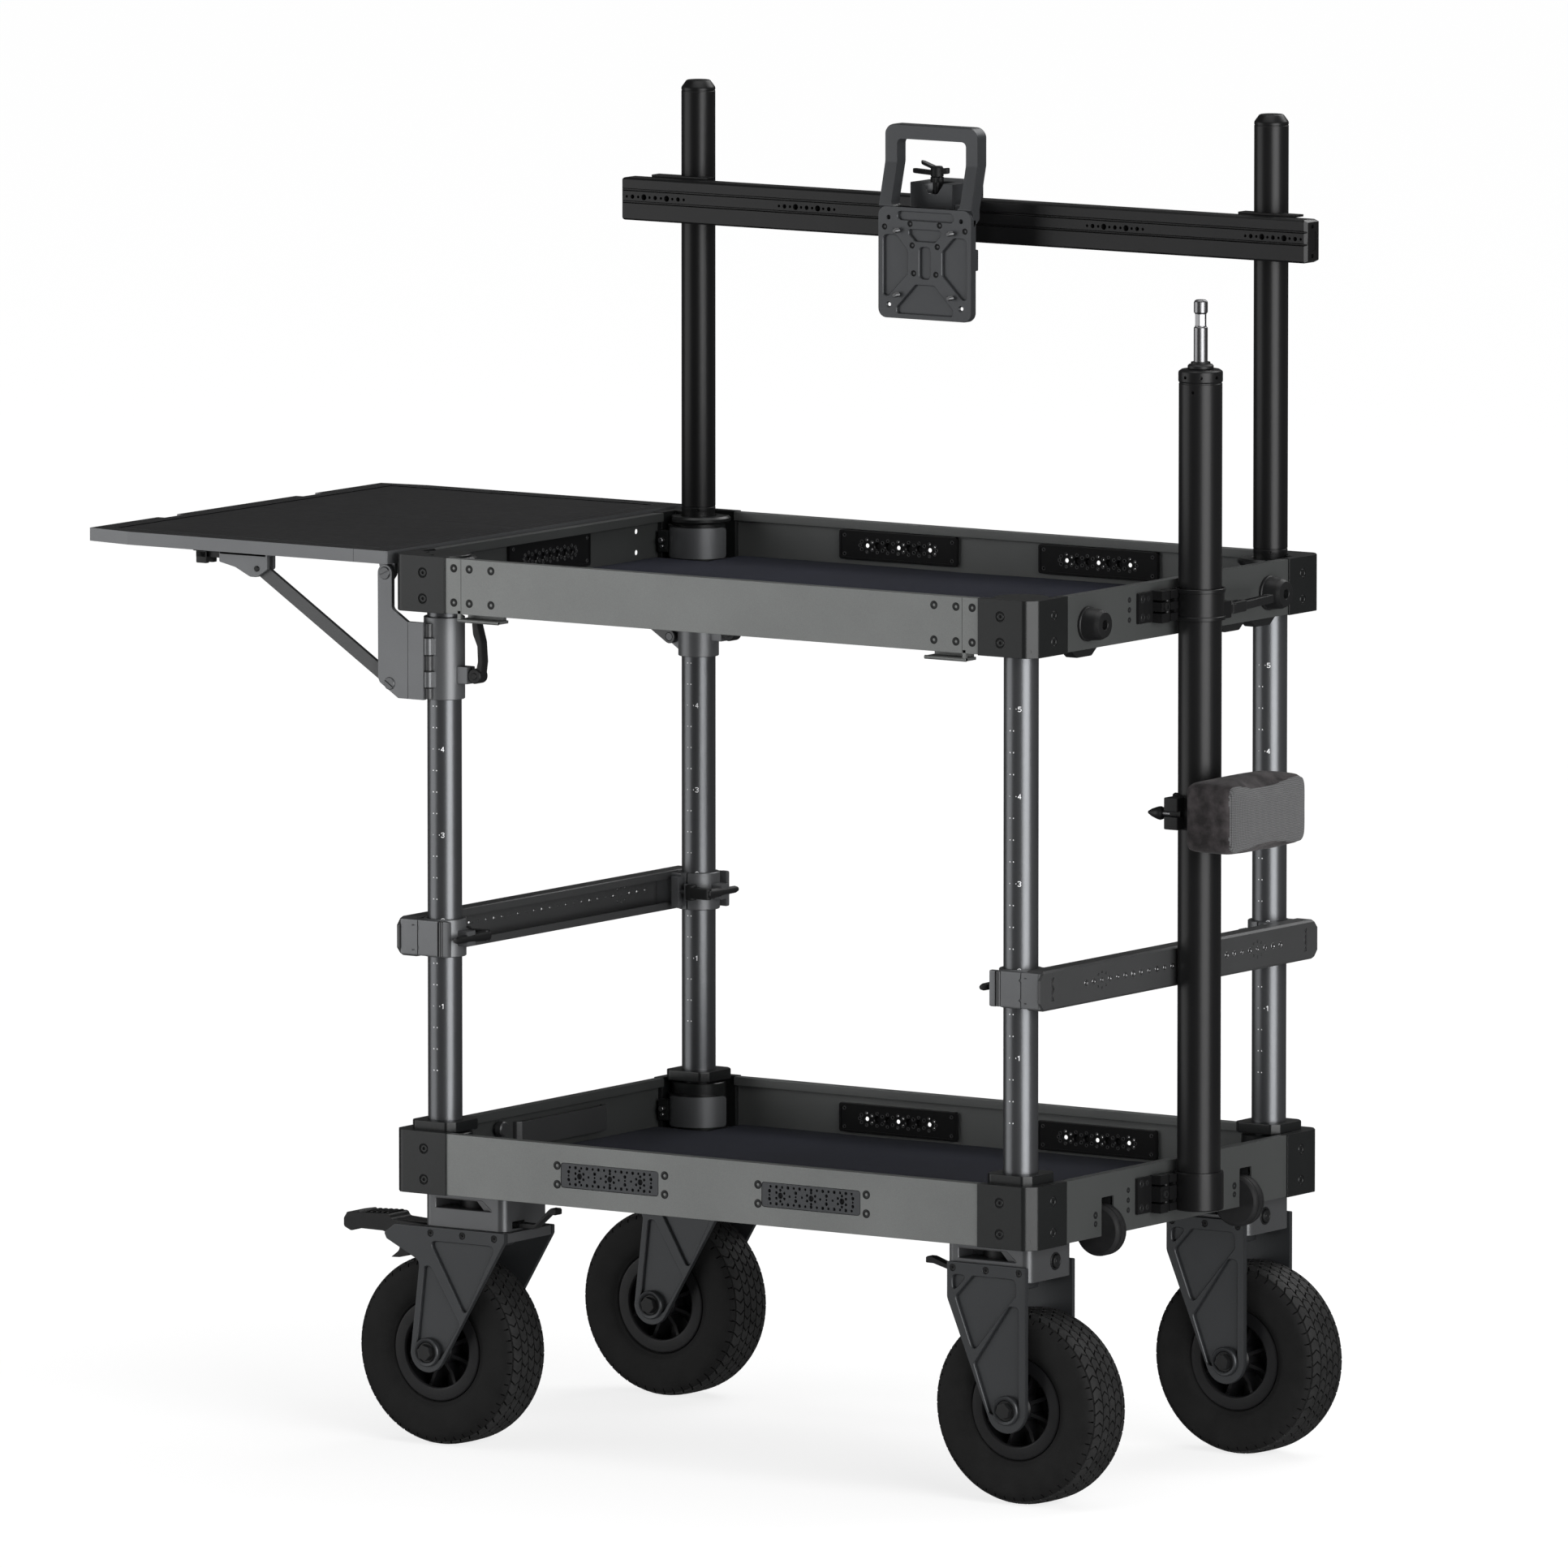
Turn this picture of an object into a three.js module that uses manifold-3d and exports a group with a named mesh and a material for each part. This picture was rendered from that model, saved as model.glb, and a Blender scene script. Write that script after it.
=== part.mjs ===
// Camera cart: two trays on four tube legs, swivel casters, a folding side table, a monitor bar and a mast.
// Millimetres, +Z up. +X runs along the cart towards the mast, -Y is the working side, z = 0 is the floor.
import * as THREE from "three";
import { mergeVertices } from "three/addons/utils/BufferGeometryUtils.js";
import Module from "manifold-3d";

// Clearances and fineness
const gap = 0.3; // between pieces that touch
const overrun = 5; // how far a cut runs past what it cuts
const weldDistance = 0.001;
const roundSides = 16;
const smallSides = 8;
const tyreSides = 32;
const cornerSteps = 2;
const lobeSteps = 6;
const boltSides = 6;
const quarterTurn = 90; // degrees
const halfTurn = 180;
const fullTurn = 360;

// Legs and posts
const legSpacingX = 800.6;
const legSpacingY = 521.2;
const tubeRadius = 20;
const legFootDepth = 3.5; // floor of the leg socket above the lower tray's underside
const frontLegRecess = 2.6; // top of a front leg below the top of its corner
const rearLegRecess = 16.6;
const postTop = 1556;
const postChamfer = 6;
const postRingRadius = 24;
const postRingHeight = 10;

// Corner castings, measured from the leg axis
const cornerOutX = 44.8;
const cornerInX = 30.7;
const cornerOutY = 44;
const cornerInY = 28.5;
const cornerChamferX = 11.4;
const cornerChamferY = 13.5;
const cornerWall = 12;
const bossRadius = 34;
const collarHalf = 31;
const collarChamfer = 9;
const collarHeight = 10.4;

// Trays
const lowerTrayZ = 301.5;
const lowerTrayHeight = 73.1;
const lowerFloorRise = 9.2;
const upperTrayZ = 980;
const upperTrayHeight = 65.6;
const upperFloorRise = 6.7;
const panelInset = 2;
const panelDrop = 0.8;
const panelWall = 4;
const lipDepth = 8;
const lipHeight = 10;
const floorWall = 3;
const matThickness = 3;
const matMargin = 1.5;
const innerPlateX = 140;
const innerPlateWidth = 166.5;
const innerPlateHeight = 35;
const innerPlateRise = 18.5;
const innerPlateWall = 5;
const holePlateWidth = 137;
const holePlateHeight = 29.3;
const holePlateRise = 22.5;
const holePlateRecess = 1;

// Drop-down front panel of the upper tray
const dropPanelInset = 52.8; // its ends inboard of the leg axes
const hingeLipInset = 52; // inboard of the panel's ends
const hingeLipWidth = 57;
const hingeLipWall = 5;
const hingeLipReach = 22;
const hingeLipDrop = 4.2; // below the panel's lower edge

// Bumpers and lugs on the right end of the upper tray
const bumperY = 190;
const bumperRise = 30;
const bumperBaseRadius = 20;
const bumperTipRadius = 14;
const bumperLength = 25;
const lugLength = 46;
const lugDepth = 8;
const lugWidth = 16;
const lugFrontY = -192;
const lugMiddleY = 117;
const lugRearY = 182;

// Rollers in the right end of the lower tray
const rollerY = 145;
const rollerRadius = 30;
const rollerWidth = 22;
const rollerAxisInset = 9; // behind the panel's face
const rollerAxisRise = 6.5;
const rollerPinRadius = 4;
const rollerEdge = 5;
const slotWidth = 25;
const slotTopRise = 45.5;
const slotWall = 3;
const slotBackGap = 4;

// Casters, measured from the swivel axis
const headInX = 35.8; // swivel axis inboard of the leg
const headInY = 31.3;
const headHalfX = 57;
const headHalfY = 45;
const headHeight = 41.7;
const headRound = 10;
const windowOut = 46;
const windowIn = 40;
const windowDrop = 7.2;
const windowHeight = 15;
const windowDepth = 30;
const buttonOffsetY = 8.8;
const buttonDrop = 21.6; // axis of the button under the top of the head
const buttonRadius = 8;
const buttonProud = 4;
const buttonLength = 11;
const buttonTravelRoom = 4;
const wheelRadius = 112;
const treadHalf = 20;
const shoulderRadius = 107;
const shoulderHalf = 32;
const sidewallHalf = 37.5;
const sidewallRadius = 86;
const rimRadius = 60;
const rimHalf = 32;
const rimWall = 7;
const webHalf = 6;
const hubRadius = 17;
const spokeCount = 6;
const spokeWindowHalfAngle = 22; // degrees
const spokeWindowIn = 24;
const spokeWindowOut = 47;
const axleRadius = 6;
const boltRadius = 11;
const boltHeight = 8;
const bossRingRadius = 17;
const bossRingHeight = 4;
const forkWall = 6;
const trailBraked = 48;
const trailPlain = 29.5;

// Braked fork, left end
const crownHeight = 12;
const brakedLobeRadius = 24;
const brakedInnerX = 61.5;
const brakedShoulderDrop = 8.6;
const brakedOuterKneeX = 59;
const brakedOuterKneeDrop = 41;
const earTopX = 93.5;
const earTipX = 109.5;
const earTipDrop = 11.2;
const earChinX = 106;
const earChinDrop = 18.2;
const brakedLobeStart = 210; // degrees

// Plain fork, right end
const plainPlateTop = 278;
const plainPlateInX = 52;
const plainKneeDrop = 41.5;
const plainLobeRadius = 26.6;
const plainLobeStart = 205; // degrees

// Brake pedal
const pedalHalfWidth = 20;
const pedalInX = 63;
const pedalPivotX = 85;
const pedalPivotDrop = 9.5;
const pedalPinRadius = 4;
const pedalRootDrop = 4;
const pedalRiseX = 121;
const pedalCrestX = 125;
const pedalTipX = 188.5;
const pedalTopRise = 6.6; // above the crown
const pedalTipRound = 4;
const pedalLowDrop = 20;
const pedalNeckDrop = 15;
const pedalHeelX = 176;
const pedalHeelRound = 4;
const hookTipX = 129.5;
const hookTipDrop = 47;
const hookToeX = 108;
const hookInnerX = 114.6;
const hookBackX = 100;
const hookBendDrop = 36;

// Latch levers on the inner ends of the heads
const latchOffsetY = 17;
const latchRootRadius = 7;
const latchThickness = 6;
const latchRise = 3.5; // above the underside of the head
const latchLongReach = 114.5;
const latchShortReach = 99.5;
const latchLongLift = 20;
const latchShortLift = 7;
const latchHeelBack = 30;
const latchTipBack = 9;

// Side table: X from the leg axis, drops from its top
const tableGap = 4.9; // between the corners' faces and the table
const tableLength = 432;
const tableProud = 0.4; // past the corners' faces at each side
const tableWall = 15.4;
const tableRise = 2.4; // above the upper tray
const tableCornerX = 62;
const tableCornerY = 10;
const notchY = 140;
const notchWidth = 38;
const notchDepth = 10;
const inlayInset = 27;
const inlayDepth = 1;
const foldOut = 62.3;
const foldDrop = 27.4;
const strutLowOut = 55.7;
const strutLowDrop = 155.6;
const strutReach = 195; // upper end of a strut from the table's inner edge
const strutHighDrop = 34;
const strutWall = 6;
const strutHalfWidth = 8;
const strutEyeRadius = 10;
const pinRadius = 5;
const cheekWall = 5;
const cheekOut = 31; // past the strut's upper end
const cheekIn = 15;
const cheekDrop = 44;
const catchOut = 54;
const catchDrop = 29;

// Table brackets: X and Y from the leg axis
const bracketOutY = 25.4;
const bracketWall = 6;
const bracketEye = 10;
const clampDrop = 8; // top of the clamp below the upper tray
const clampHeight = 96;
const clampRadius = 24;
const bracketStepOut = 30.7;
const bracketStepDrop = 6; // below the top of the clamp
const bracketHeelOut = 42.7;
const bracketToeOut = 69.7;
const bracketToeRise = 22;
const bracketBackOut = 71.7;
const earLength = 14;
const earHalfY = 8;
const earHalfZ = 10;
const clampLeverRise = 29;
const leverHubRadius = 9;
const leverTopDrop = 4;
const leverHalfY = 7;
const leverGripX = 12;
const leverNeckX = 4;

// Crossbars
const barRise = 223.4; // above the lower tray's top
const barHeight = 46;
const barOut = 46.7; // past the leg axes
const barDepth = 23;
const barWall = 3;
const barPastLegY = 30.4;
const barClampHeight = 44;
const barClampRadius = 25;
const tBarHalf = 20;
const tBarRadius = 6;
const tShaftRadius = 4;
const tReachRight = 42.3; // inboard of the leg axes
const tReachLeft = 68.3;

// Monitor bar
const railPastLegX = 78.4;
const railDrop = 115.2; // below the posts' tops
const railHeight = 50.2;
const railDepth = 26.9;
const grooveDepth = 3;
const grooveWidth = 3;
const grooveLowRise = 20;
const grooveHighRise = 34.5;
const railClampHalf = 25;
const railClampBack = 24.5; // behind the post axis
const railClampRise = 5;
const railClampHeight = 40;
const railWingHalf = 45;
const railWingDepth = 12;

// Monitor mount
const plateHalf = 65;
const plateHang = 85.6; // lower edge below the bar
const plateStandOff = 73.4; // face in front of the bar
const plateWall = 10;
const plateRound = 11;
const handleRise = 95;
const handleKinkShare = 0.54;
const handleLean = 14;
const handleDepth = 18;
const handleBar = 17;
const tiltBack = 24; // behind the plate's face
const tiltRise = 30; // above the plate's middle
const tiltRadius = 9;
const tiltBossHalf = 20;
const tiltEar = 11;
const carriageHalf = 46;
const carriageStandOff = 35.4;
const carriageJaw = 10;
const carriageJawTop = 20;
const jawReach = 5;
const studRadius = 3;
const studLength = 8;
const studOffset = 37.5;
const monitorLeverX = 16; // left of the middle
const monitorLeverBack = 12; // behind the carriage's face
const monitorHubRadius = 8;
const monitorHubHeight = 12;
const monitorWing = 26;
const monitorWingHalf = 5;
const monitorWingRise = 4;

// Mast
const mastOut = 29.9; // axis in front of the end panels
const mastRadius = 25;
const mastFootRise = 20.5;
const mastLength = 950;
const mastCapRadius = 26.5;
const mastCapHeight = 15;
const pinFlangeRadius = 17;
const pinFlangeHeight = 8.3;
const spigotRadius = 8;
const spigotNeckRadius = 6.5;
const spigotShoulderRise = 47.7;
const spigotNeckHeight = 16.6;
const spigotHeadHeight = 14.9;
const spigotChamfer = 1.5;
const socketRadius = 28.7;
const socketHeight = 40;
const socketFloor = 4;
const mastClampRadius = 28;
const mastClampRise = 19;
const mastClampHeight = 37;
const flangeWall = 4;
const flangeFrontY = 88;
const hingeBlockDepth = 17;
const hingeBlockFrontY = 60;
const hingeBlockBackY = 26;
const mastEarOut = 25;
const mastEarBackY = 28;
const mastEarWidth = 16;
const mastEarHeight = 20;
const mastLeverOut = 17;
const mastLeverRadius = 8;
const mastLeverTipOut = 3;
const mastLeverTipY = 145;
const mastLeverHalf = 6;
const mastLeverRise = 5;
const mastLeverHeight = 12;

// Pad on the mast
const padOut = 26; // back of the pad from the mast's axis
const padDepth = 68;
const padFrontY = 75;
const padBackY = 90;
const padRise = 415; // above the mast's foot
const padHeight = 85;
const padRound = 10;
const padSideDraw = 3;
const padCrown = 4;
const padClampRise = 22;
const padClampHeight = 39;
const padClampRadius = 31;
const padClampPlateHalf = 40;
const padClampPlateWall = 9;
const padClampSlit = 12;
const padBlockIn = 30;
const padBlockFrontY = 45;
const padKnobY = 33;
const padKnobRise = 18;
const padKnobIn = 48;
const padKnobRadius = 7;
const padKnobNeck = 6;

// Places worked out from the sizes above
const legX = legSpacingX / 2;
const legY = legSpacingY / 2;
const panelX = legX + cornerOutX - panelInset;
const panelY = legY + cornerOutY - panelInset;
const lowerTop = lowerTrayZ + lowerTrayHeight;
const upperTop = upperTrayZ + upperTrayHeight;
const headTop = lowerTrayZ - gap;
const headBottom = headTop - headHeight;
const crownTop = headBottom - gap;
const dropHalf = legX - dropPanelInset;
const tableInX = legX + cornerOutX + tableGap;
const tableOutX = tableInX + tableLength;
const tableHalfY = legY + cornerOutY + tableProud;
const tableTop = upperTop + tableRise;
const foldX = legX + foldOut;
const foldZ = tableTop - foldDrop;
const strutLowX = legX + strutLowOut;
const strutLowZ = tableTop - strutLowDrop;
const strutHighX = tableInX + strutReach;
const strutHighZ = tableTop - strutHighDrop;
const bracketY = legY + bracketOutY;
const clampTop = upperTrayZ - clampDrop;
const bracketBottom = clampTop - clampHeight;
const clampLeverZ = bracketBottom + clampLeverRise;
const barZ = lowerTop + barRise;
const barOutX = legX + barOut;
const barHalfY = legY + barPastLegY;
const railTop = postTop - railDrop;
const railBottom = railTop - railHeight;
const railBackY = legY - tubeRadius - gap;
const railFrontY = railBackY - railDepth;
const plateFrontY = railFrontY - plateStandOff;
const plateBottom = railBottom - plateHang;
const plateTop = plateBottom + plateHalf * 2;
const tiltY = plateFrontY + tiltBack;
const tiltZ = plateBottom + plateHalf + tiltRise;
const carriageFrontY = railFrontY - carriageStandOff;
const mastX = panelX + mastOut;
const mastFoot = lowerTrayZ + mastFootRise;
const mastTop = mastFoot + mastLength;
const mastClampZ = upperTrayZ + mastClampRise;
const mastLeverZ = mastClampZ + mastLeverRise;
const padInX = mastX + padOut;
const padOutX = padInX + padDepth;
const padZ = mastFoot + padRise;
const padClampZ = padZ + padClampRise;
const padKnobZ = padClampZ + padKnobRise;
const padBlockX = mastX - padBlockIn;

const wasm = await Module();
wasm.setup();

// A closed three.js geometry as a solid that can be joined and cut.
function toSolid(geometry) {
  geometry.deleteAttribute("normal");
  geometry.deleteAttribute("uv");
  const merged = mergeVertices(geometry, weldDistance);
  const corners = merged.index.array;
  const triangles = [];
  for (let i = 0; i < corners.length; i += 3) {
    const [a, b, c] = [corners[i], corners[i + 1], corners[i + 2]];
    if (a !== b && b !== c && c !== a) triangles.push(a, b, c);
  }
  return new wasm.Manifold(
    new wasm.Mesh({
      numProp: 3,
      vertProperties: merged.attributes.position.array,
      triVerts: new Uint32Array(triangles),
    }),
  );
}

function join(...solids) {
  return solids.reduce((sum, next) => sum.add(next));
}

function cut(body, ...tools) {
  return tools.reduce((rest, tool) => rest.subtract(tool), body);
}

// A box between two values on each axis, given in either order.
function box([xa, xb], [ya, yb], [za, zb]) {
  const geometry = new THREE.BoxGeometry(Math.abs(xb - xa), Math.abs(yb - ya), Math.abs(zb - za));
  geometry.translate((xa + xb) / 2, (ya + yb) / 2, (za + zb) / 2);
  return toSolid(geometry);
}

const unitX = new THREE.Vector3(1, 0, 0);
const unitY = new THREE.Vector3(0, 1, 0);
const unitZ = new THREE.Vector3(0, 0, 1);
const extrudeFrames = {
  x: new THREE.Matrix4().makeBasis(unitY, unitZ, unitX),
  y: new THREE.Matrix4().makeBasis(unitX, unitZ, unitY.clone().negate()),
  z: new THREE.Matrix4(),
};
const turnFrames = {
  x: new THREE.Matrix4().makeBasis(unitY, unitX, unitZ.clone().negate()),
  y: new THREE.Matrix4(),
  z: new THREE.Matrix4().makeBasis(unitX, unitZ, unitY.clone().negate()),
};

// An outline pushed along an axis: (y, z) along x, (x, z) along y or (x, y) along z.
function prism(axis, outline, ends) {
  const from = Math.min(...ends);
  const to = Math.max(...ends);
  const shape = new THREE.Shape(outline.map(([u, v]) => new THREE.Vector2(u, v)));
  const geometry = new THREE.ExtrudeGeometry(shape, { depth: to - from, bevelEnabled: false });
  geometry.translate(0, 0, axis === "y" ? -to : from);
  geometry.applyMatrix4(extrudeFrames[axis]);
  return toSolid(geometry);
}

function circle([u, v], radius, sides = roundSides) {
  const points = [];
  for (let i = 0; i < sides; i += 1) {
    const angle = (i / sides) * Math.PI * 2;
    points.push([u + radius * Math.cos(angle), v + radius * Math.sin(angle)]);
  }
  return points;
}

function rod(axis, centre, radius, ends, sides = roundSides) {
  return prism(axis, circle(centre, radius, sides), ends);
}

// Points of an arc, in degrees.
function arc([u, v], radius, start, end, steps = cornerSteps) {
  const points = [];
  for (let i = 0; i <= steps; i += 1) {
    const angle = THREE.MathUtils.degToRad(start + ((end - start) * i) / steps);
    points.push([u + radius * Math.cos(angle), v + radius * Math.sin(angle)]);
  }
  return points;
}

function roundedRectangle([ua, ub], [va, vb], radius) {
  return [
    ...arc([ub - radius, vb - radius], radius, 0, quarterTurn),
    ...arc([ua + radius, vb - radius], radius, quarterTurn, halfTurn),
    ...arc([ua + radius, va + radius], radius, halfTurn, halfTurn + quarterTurn),
    ...arc([ub - radius, va + radius], radius, halfTurn + quarterTurn, fullTurn),
  ];
}

// A profile of (radius, height) points turned about an axis through centre.
function turned(axis, profile, [x, y, z], sides = roundSides) {
  const geometry = new THREE.LatheGeometry(
    profile.map(([radius, height]) => new THREE.Vector2(radius, height)),
    sides,
  );
  geometry.applyMatrix4(turnFrames[axis]);
  geometry.translate(x, y, z);
  return toSolid(geometry);
}

// The radius of a faceted bore that a pin can turn in at any angle.
function boreRadius(pin, sides = smallSides) {
  return (pin + gap) / Math.cos(Math.PI / sides);
}

// A flat bar with round ends between two points of an outline plane.
function roundBar(axis, [ua, va], [ub, vb], halfWidth, ends) {
  const angle = THREE.MathUtils.radToDeg(Math.atan2(vb - va, ub - ua));
  const outline = [
    ...arc([ub, vb], halfWidth, angle - quarterTurn, angle + quarterTurn, smallSides / 2),
    ...arc([ua, va], halfWidth, angle + quarterTurn, angle + halfTurn + quarterTurn, smallSides / 2),
  ];
  return prism(axis, outline, ends);
}

const finishes = {
  tray: { color: 0x6f7273, roughness: 0.45, metalness: 0.7 },
  casting: { color: 0x2d302f, roughness: 0.6, metalness: 0.3 },
  leg: { color: 0x4c5054, roughness: 0.35, metalness: 0.8 },
  black: { color: 0x161617, roughness: 0.45, metalness: 0.4 },
  felt: { color: 0x282936, roughness: 1, metalness: 0 },
  head: { color: 0x6a6c70, roughness: 0.4, metalness: 0.7 },
  fork: { color: 0x3f434b, roughness: 0.5, metalness: 0.6 },
  rim: { color: 0x1c1c1e, roughness: 0.5, metalness: 0.1 },
  tyre: { color: 0x131314, roughness: 0.85, metalness: 0 },
  plastic: { color: 0x1a1b1c, roughness: 0.55, metalness: 0 },
  table: { color: 0x3c3f42, roughness: 0.5, metalness: 0.5 },
  mount: { color: 0x3c3e41, roughness: 0.5, metalness: 0.5 },
  chrome: { color: 0xd0d2d4, roughness: 0.15, metalness: 1 },
  suede: { color: 0x413c3e, roughness: 0.95, metalness: 0 },
};

function piece(parent, name, solid, finish) {
  const { vertProperties, triVerts } = solid.getMesh();
  const geometry = new THREE.BufferGeometry();
  geometry.setAttribute("position", new THREE.BufferAttribute(vertProperties, 3));
  geometry.setIndex(new THREE.BufferAttribute(triVerts, 1));
  geometry.computeVertexNormals();
  const mesh = new THREE.Mesh(geometry, new THREE.MeshStandardMaterial(finishes[finish]));
  mesh.name = name;
  parent.add(mesh);
  return mesh;
}

const ends = [
  ["left", -1],
  ["right", 1],
];
const sides = [
  ["front", -1],
  ["rear", 1],
];

// One corner casting: two arms, a filled outer quarter and the round boss that holds the leg.
function trayCorner(sx, sy, bottom, top) {
  const at = (dx, dy) => [sx * (legX + dx), sy * (legY + dy)];
  const outline = [
    at(-cornerInX, cornerOutY),
    at(cornerOutX - cornerChamferX, cornerOutY),
    at(cornerOutX, cornerOutY - cornerChamferY),
    at(cornerOutX, -cornerInY),
    at(cornerOutX - cornerWall, -cornerInY),
    at(cornerOutX - cornerWall, 0),
    at(0, 0),
    at(0, cornerOutY - cornerWall),
    at(-cornerInX, cornerOutY - cornerWall),
  ];
  return join(
    prism("z", outline, [bottom, top]),
    rod("z", at(0, 0), bossRadius, [bottom, top]),
  );
}

// The panels, their inward lips and the floor, cut from one block.
function trayShell(bottom, top, floorBottom) {
  const innerX = panelX - panelWall;
  const innerY = panelY - panelWall;
  const lipX = innerX - lipDepth;
  const lipY = innerY - lipDepth;
  const floorTop = floorBottom + floorWall;
  const lipBottom = top - lipHeight;
  return cut(
    box([-panelX, panelX], [-panelY, panelY], [bottom, top]),
    box([-innerX, innerX], [-innerY, innerY], [floorTop, lipBottom]),
    box([-lipX, lipX], [-lipY, lipY], [floorTop, top + overrun]),
    box([-innerX, innerX], [-innerY, innerY], [bottom - overrun, floorBottom]),
  );
}

function tray(bottom, height, floorRise) {
  const top = bottom + height;
  let body = trayShell(bottom + panelDrop, top - panelDrop, bottom + floorRise);
  for (const [, sx] of ends) {
    for (const [, sy] of sides) {
      const outerCorner = box(
        [sx * (legX + cornerOutX - cornerWall), sx * (panelX + overrun)],
        [sy * (legY + cornerOutY - cornerWall), sy * (panelY + overrun)],
        [bottom - overrun, top + overrun],
      );
      body = join(cut(body, outerCorner), trayCorner(sx, sy, bottom, top));
    }
    const plateX = sx * innerPlateX;
    const plateZ = bottom + innerPlateRise;
    body = join(
      body,
      box(
        [plateX - innerPlateWidth / 2, plateX + innerPlateWidth / 2],
        [panelY - panelWall - innerPlateWall, panelY - panelWall / 2],
        [plateZ, plateZ + innerPlateHeight],
      ),
    );
  }
  return body;
}

function cutLegHoles(body, from, to) {
  let rest = body;
  for (const [, sx] of ends) {
    for (const [, sy] of sides) {
      rest = cut(rest, rod("z", [sx * legX, sy * legY], tubeRadius + gap, [from, to]));
    }
  }
  return rest;
}

const rollerX = panelX - rollerAxisInset;
const rollerZ = lowerTrayZ + rollerAxisRise;
const housingBackX = rollerX - rollerRadius - slotBackGap;
const slotTop = lowerTrayZ + slotTopRise;

// The pocket that a roller runs in, open below and through the panel, with its pin.
function rollerPocket(body, sy) {
  const middle = sy * rollerY;
  const half = slotWidth / 2;
  const bottom = lowerTrayZ + panelDrop;
  const walls = box(
    [housingBackX - slotWall, panelX - panelWall / 2],
    [middle - half - slotWall, middle + half + slotWall],
    [bottom, slotTop + slotWall],
  );
  const hollow = box(
    [housingBackX, panelX + overrun],
    [middle - half, middle + half],
    [bottom - overrun, slotTop],
  );
  const pinEnds = [middle - half - slotWall, middle + half + slotWall];
  const pin = rod("y", [rollerX, rollerZ], rollerPinRadius, pinEnds, smallSides);
  return join(cut(join(body, walls), hollow), pin);
}

function lowerTray() {
  let body = tray(lowerTrayZ, lowerTrayHeight, lowerFloorRise);
  for (const [, sx] of ends) {
    for (const [, sy] of sides) {
      const [x, y] = [sx * legX, sy * legY];
      const h = collarHalf;
      const c = collarHalf - collarChamfer;
      const outline = [[h, -c], [h, c], [c, h], [-c, h], [-h, c], [-h, -c], [-c, -h], [c, -h]];
      const placed = outline.map(([u, v]) => [x + u, y + v]);
      body = join(body, prism("z", placed, [lowerTop - panelInset, lowerTop + collarHeight]));
    }
    const plateZ = lowerTrayZ + holePlateRise;
    body = cut(
      body,
      box(
        [sx * innerPlateX - holePlateWidth / 2, sx * innerPlateX + holePlateWidth / 2],
        [-panelY - overrun, -panelY + holePlateRecess],
        [plateZ, plateZ + holePlateHeight],
      ),
    );
  }
  for (const [, sy] of sides) body = rollerPocket(body, sy);
  return cutLegHoles(body, lowerTrayZ + legFootDepth, lowerTop + collarHeight + overrun);
}

const dropBottom = upperTrayZ + panelDrop;
const dropTop = upperTop - panelDrop;

function hingeLip(sx) {
  const inX = dropHalf - hingeLipInset;
  const outX = sx * (inX + hingeLipWidth);
  const lipTop = dropBottom - hingeLipDrop;
  const back = -panelY + hingeLipReach;
  return join(
    box([sx * inX, outX], [-panelY, back], [lipTop - hingeLipWall, lipTop]),
    box(
      [sx * (dropHalf + gap), outX],
      [-panelY, -panelY + panelWall],
      [lipTop - hingeLipWall, dropBottom + hingeLipWall],
    ),
    box(
      [sx * (inX + hingeLipWall), outX],
      [back - hingeLipWall, back],
      [lipTop - hingeLipWall, upperTrayZ + upperFloorRise + floorWall / 2],
    ),
  );
}

function upperTray() {
  let body = tray(upperTrayZ, upperTrayHeight, upperFloorRise);
  body = cut(
    body,
    box(
      [-dropHalf, dropHalf],
      [-panelY - overrun, -panelY + panelWall + gap],
      [dropBottom - overrun, dropTop + overrun],
    ),
    box(
      [-dropHalf, dropHalf],
      [-panelY, -panelY + panelWall + lipDepth + gap],
      [dropTop - lipHeight - gap, dropTop + overrun],
    ),
  );
  const bumperProfile = [
    [0, 0],
    [bumperBaseRadius, 0],
    [bumperBaseRadius, panelWall],
    [bumperTipRadius, bumperLength + panelWall / 2],
    [0, bumperLength + panelWall / 2],
  ];
  const bumperZ = upperTrayZ + bumperRise;
  for (const [, s] of ends) {
    body = join(
      body,
      hingeLip(s),
      turned("x", bumperProfile, [panelX - panelWall / 2, s * bumperY, bumperZ]),
    );
  }
  for (const y of [lugFrontY, lugMiddleY, lugRearY]) {
    const outline = [
      [y - lugLength / 2 - lugDepth, upperTrayZ + panelWall],
      [y + lugLength / 2 + lugDepth, upperTrayZ + panelWall],
      [y + lugLength / 2 - lugDepth, upperTrayZ - lugDepth],
      [y - lugLength / 2 + lugDepth, upperTrayZ - lugDepth],
    ];
    body = join(body, prism("x", outline, [panelX - panelInset - lugWidth, panelX - panelInset]));
  }
  return cutLegHoles(body, upperTrayZ - overrun, upperTop + overrun);
}

// A felt mat on a tray's floor, cut away at the corner bosses and at what stands on the floor.
function mat(floorTop, cuts) {
  const x = panelX - panelWall - matMargin;
  const y = panelY - panelWall - matMargin;
  const cx = legX - bossRadius - matMargin;
  const cy = legY - bossRadius - matMargin;
  const outline = [
    [cx, -y], [cx, -cy], [x, -cy], [x, cy], [cx, cy], [cx, y],
    [-cx, y], [-cx, cy], [-x, cy], [-x, -cy], [-cx, -cy], [-cx, -y],
  ];
  return cut(prism("z", outline, [floorTop + gap, floorTop + gap + matThickness]), ...cuts);
}

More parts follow.
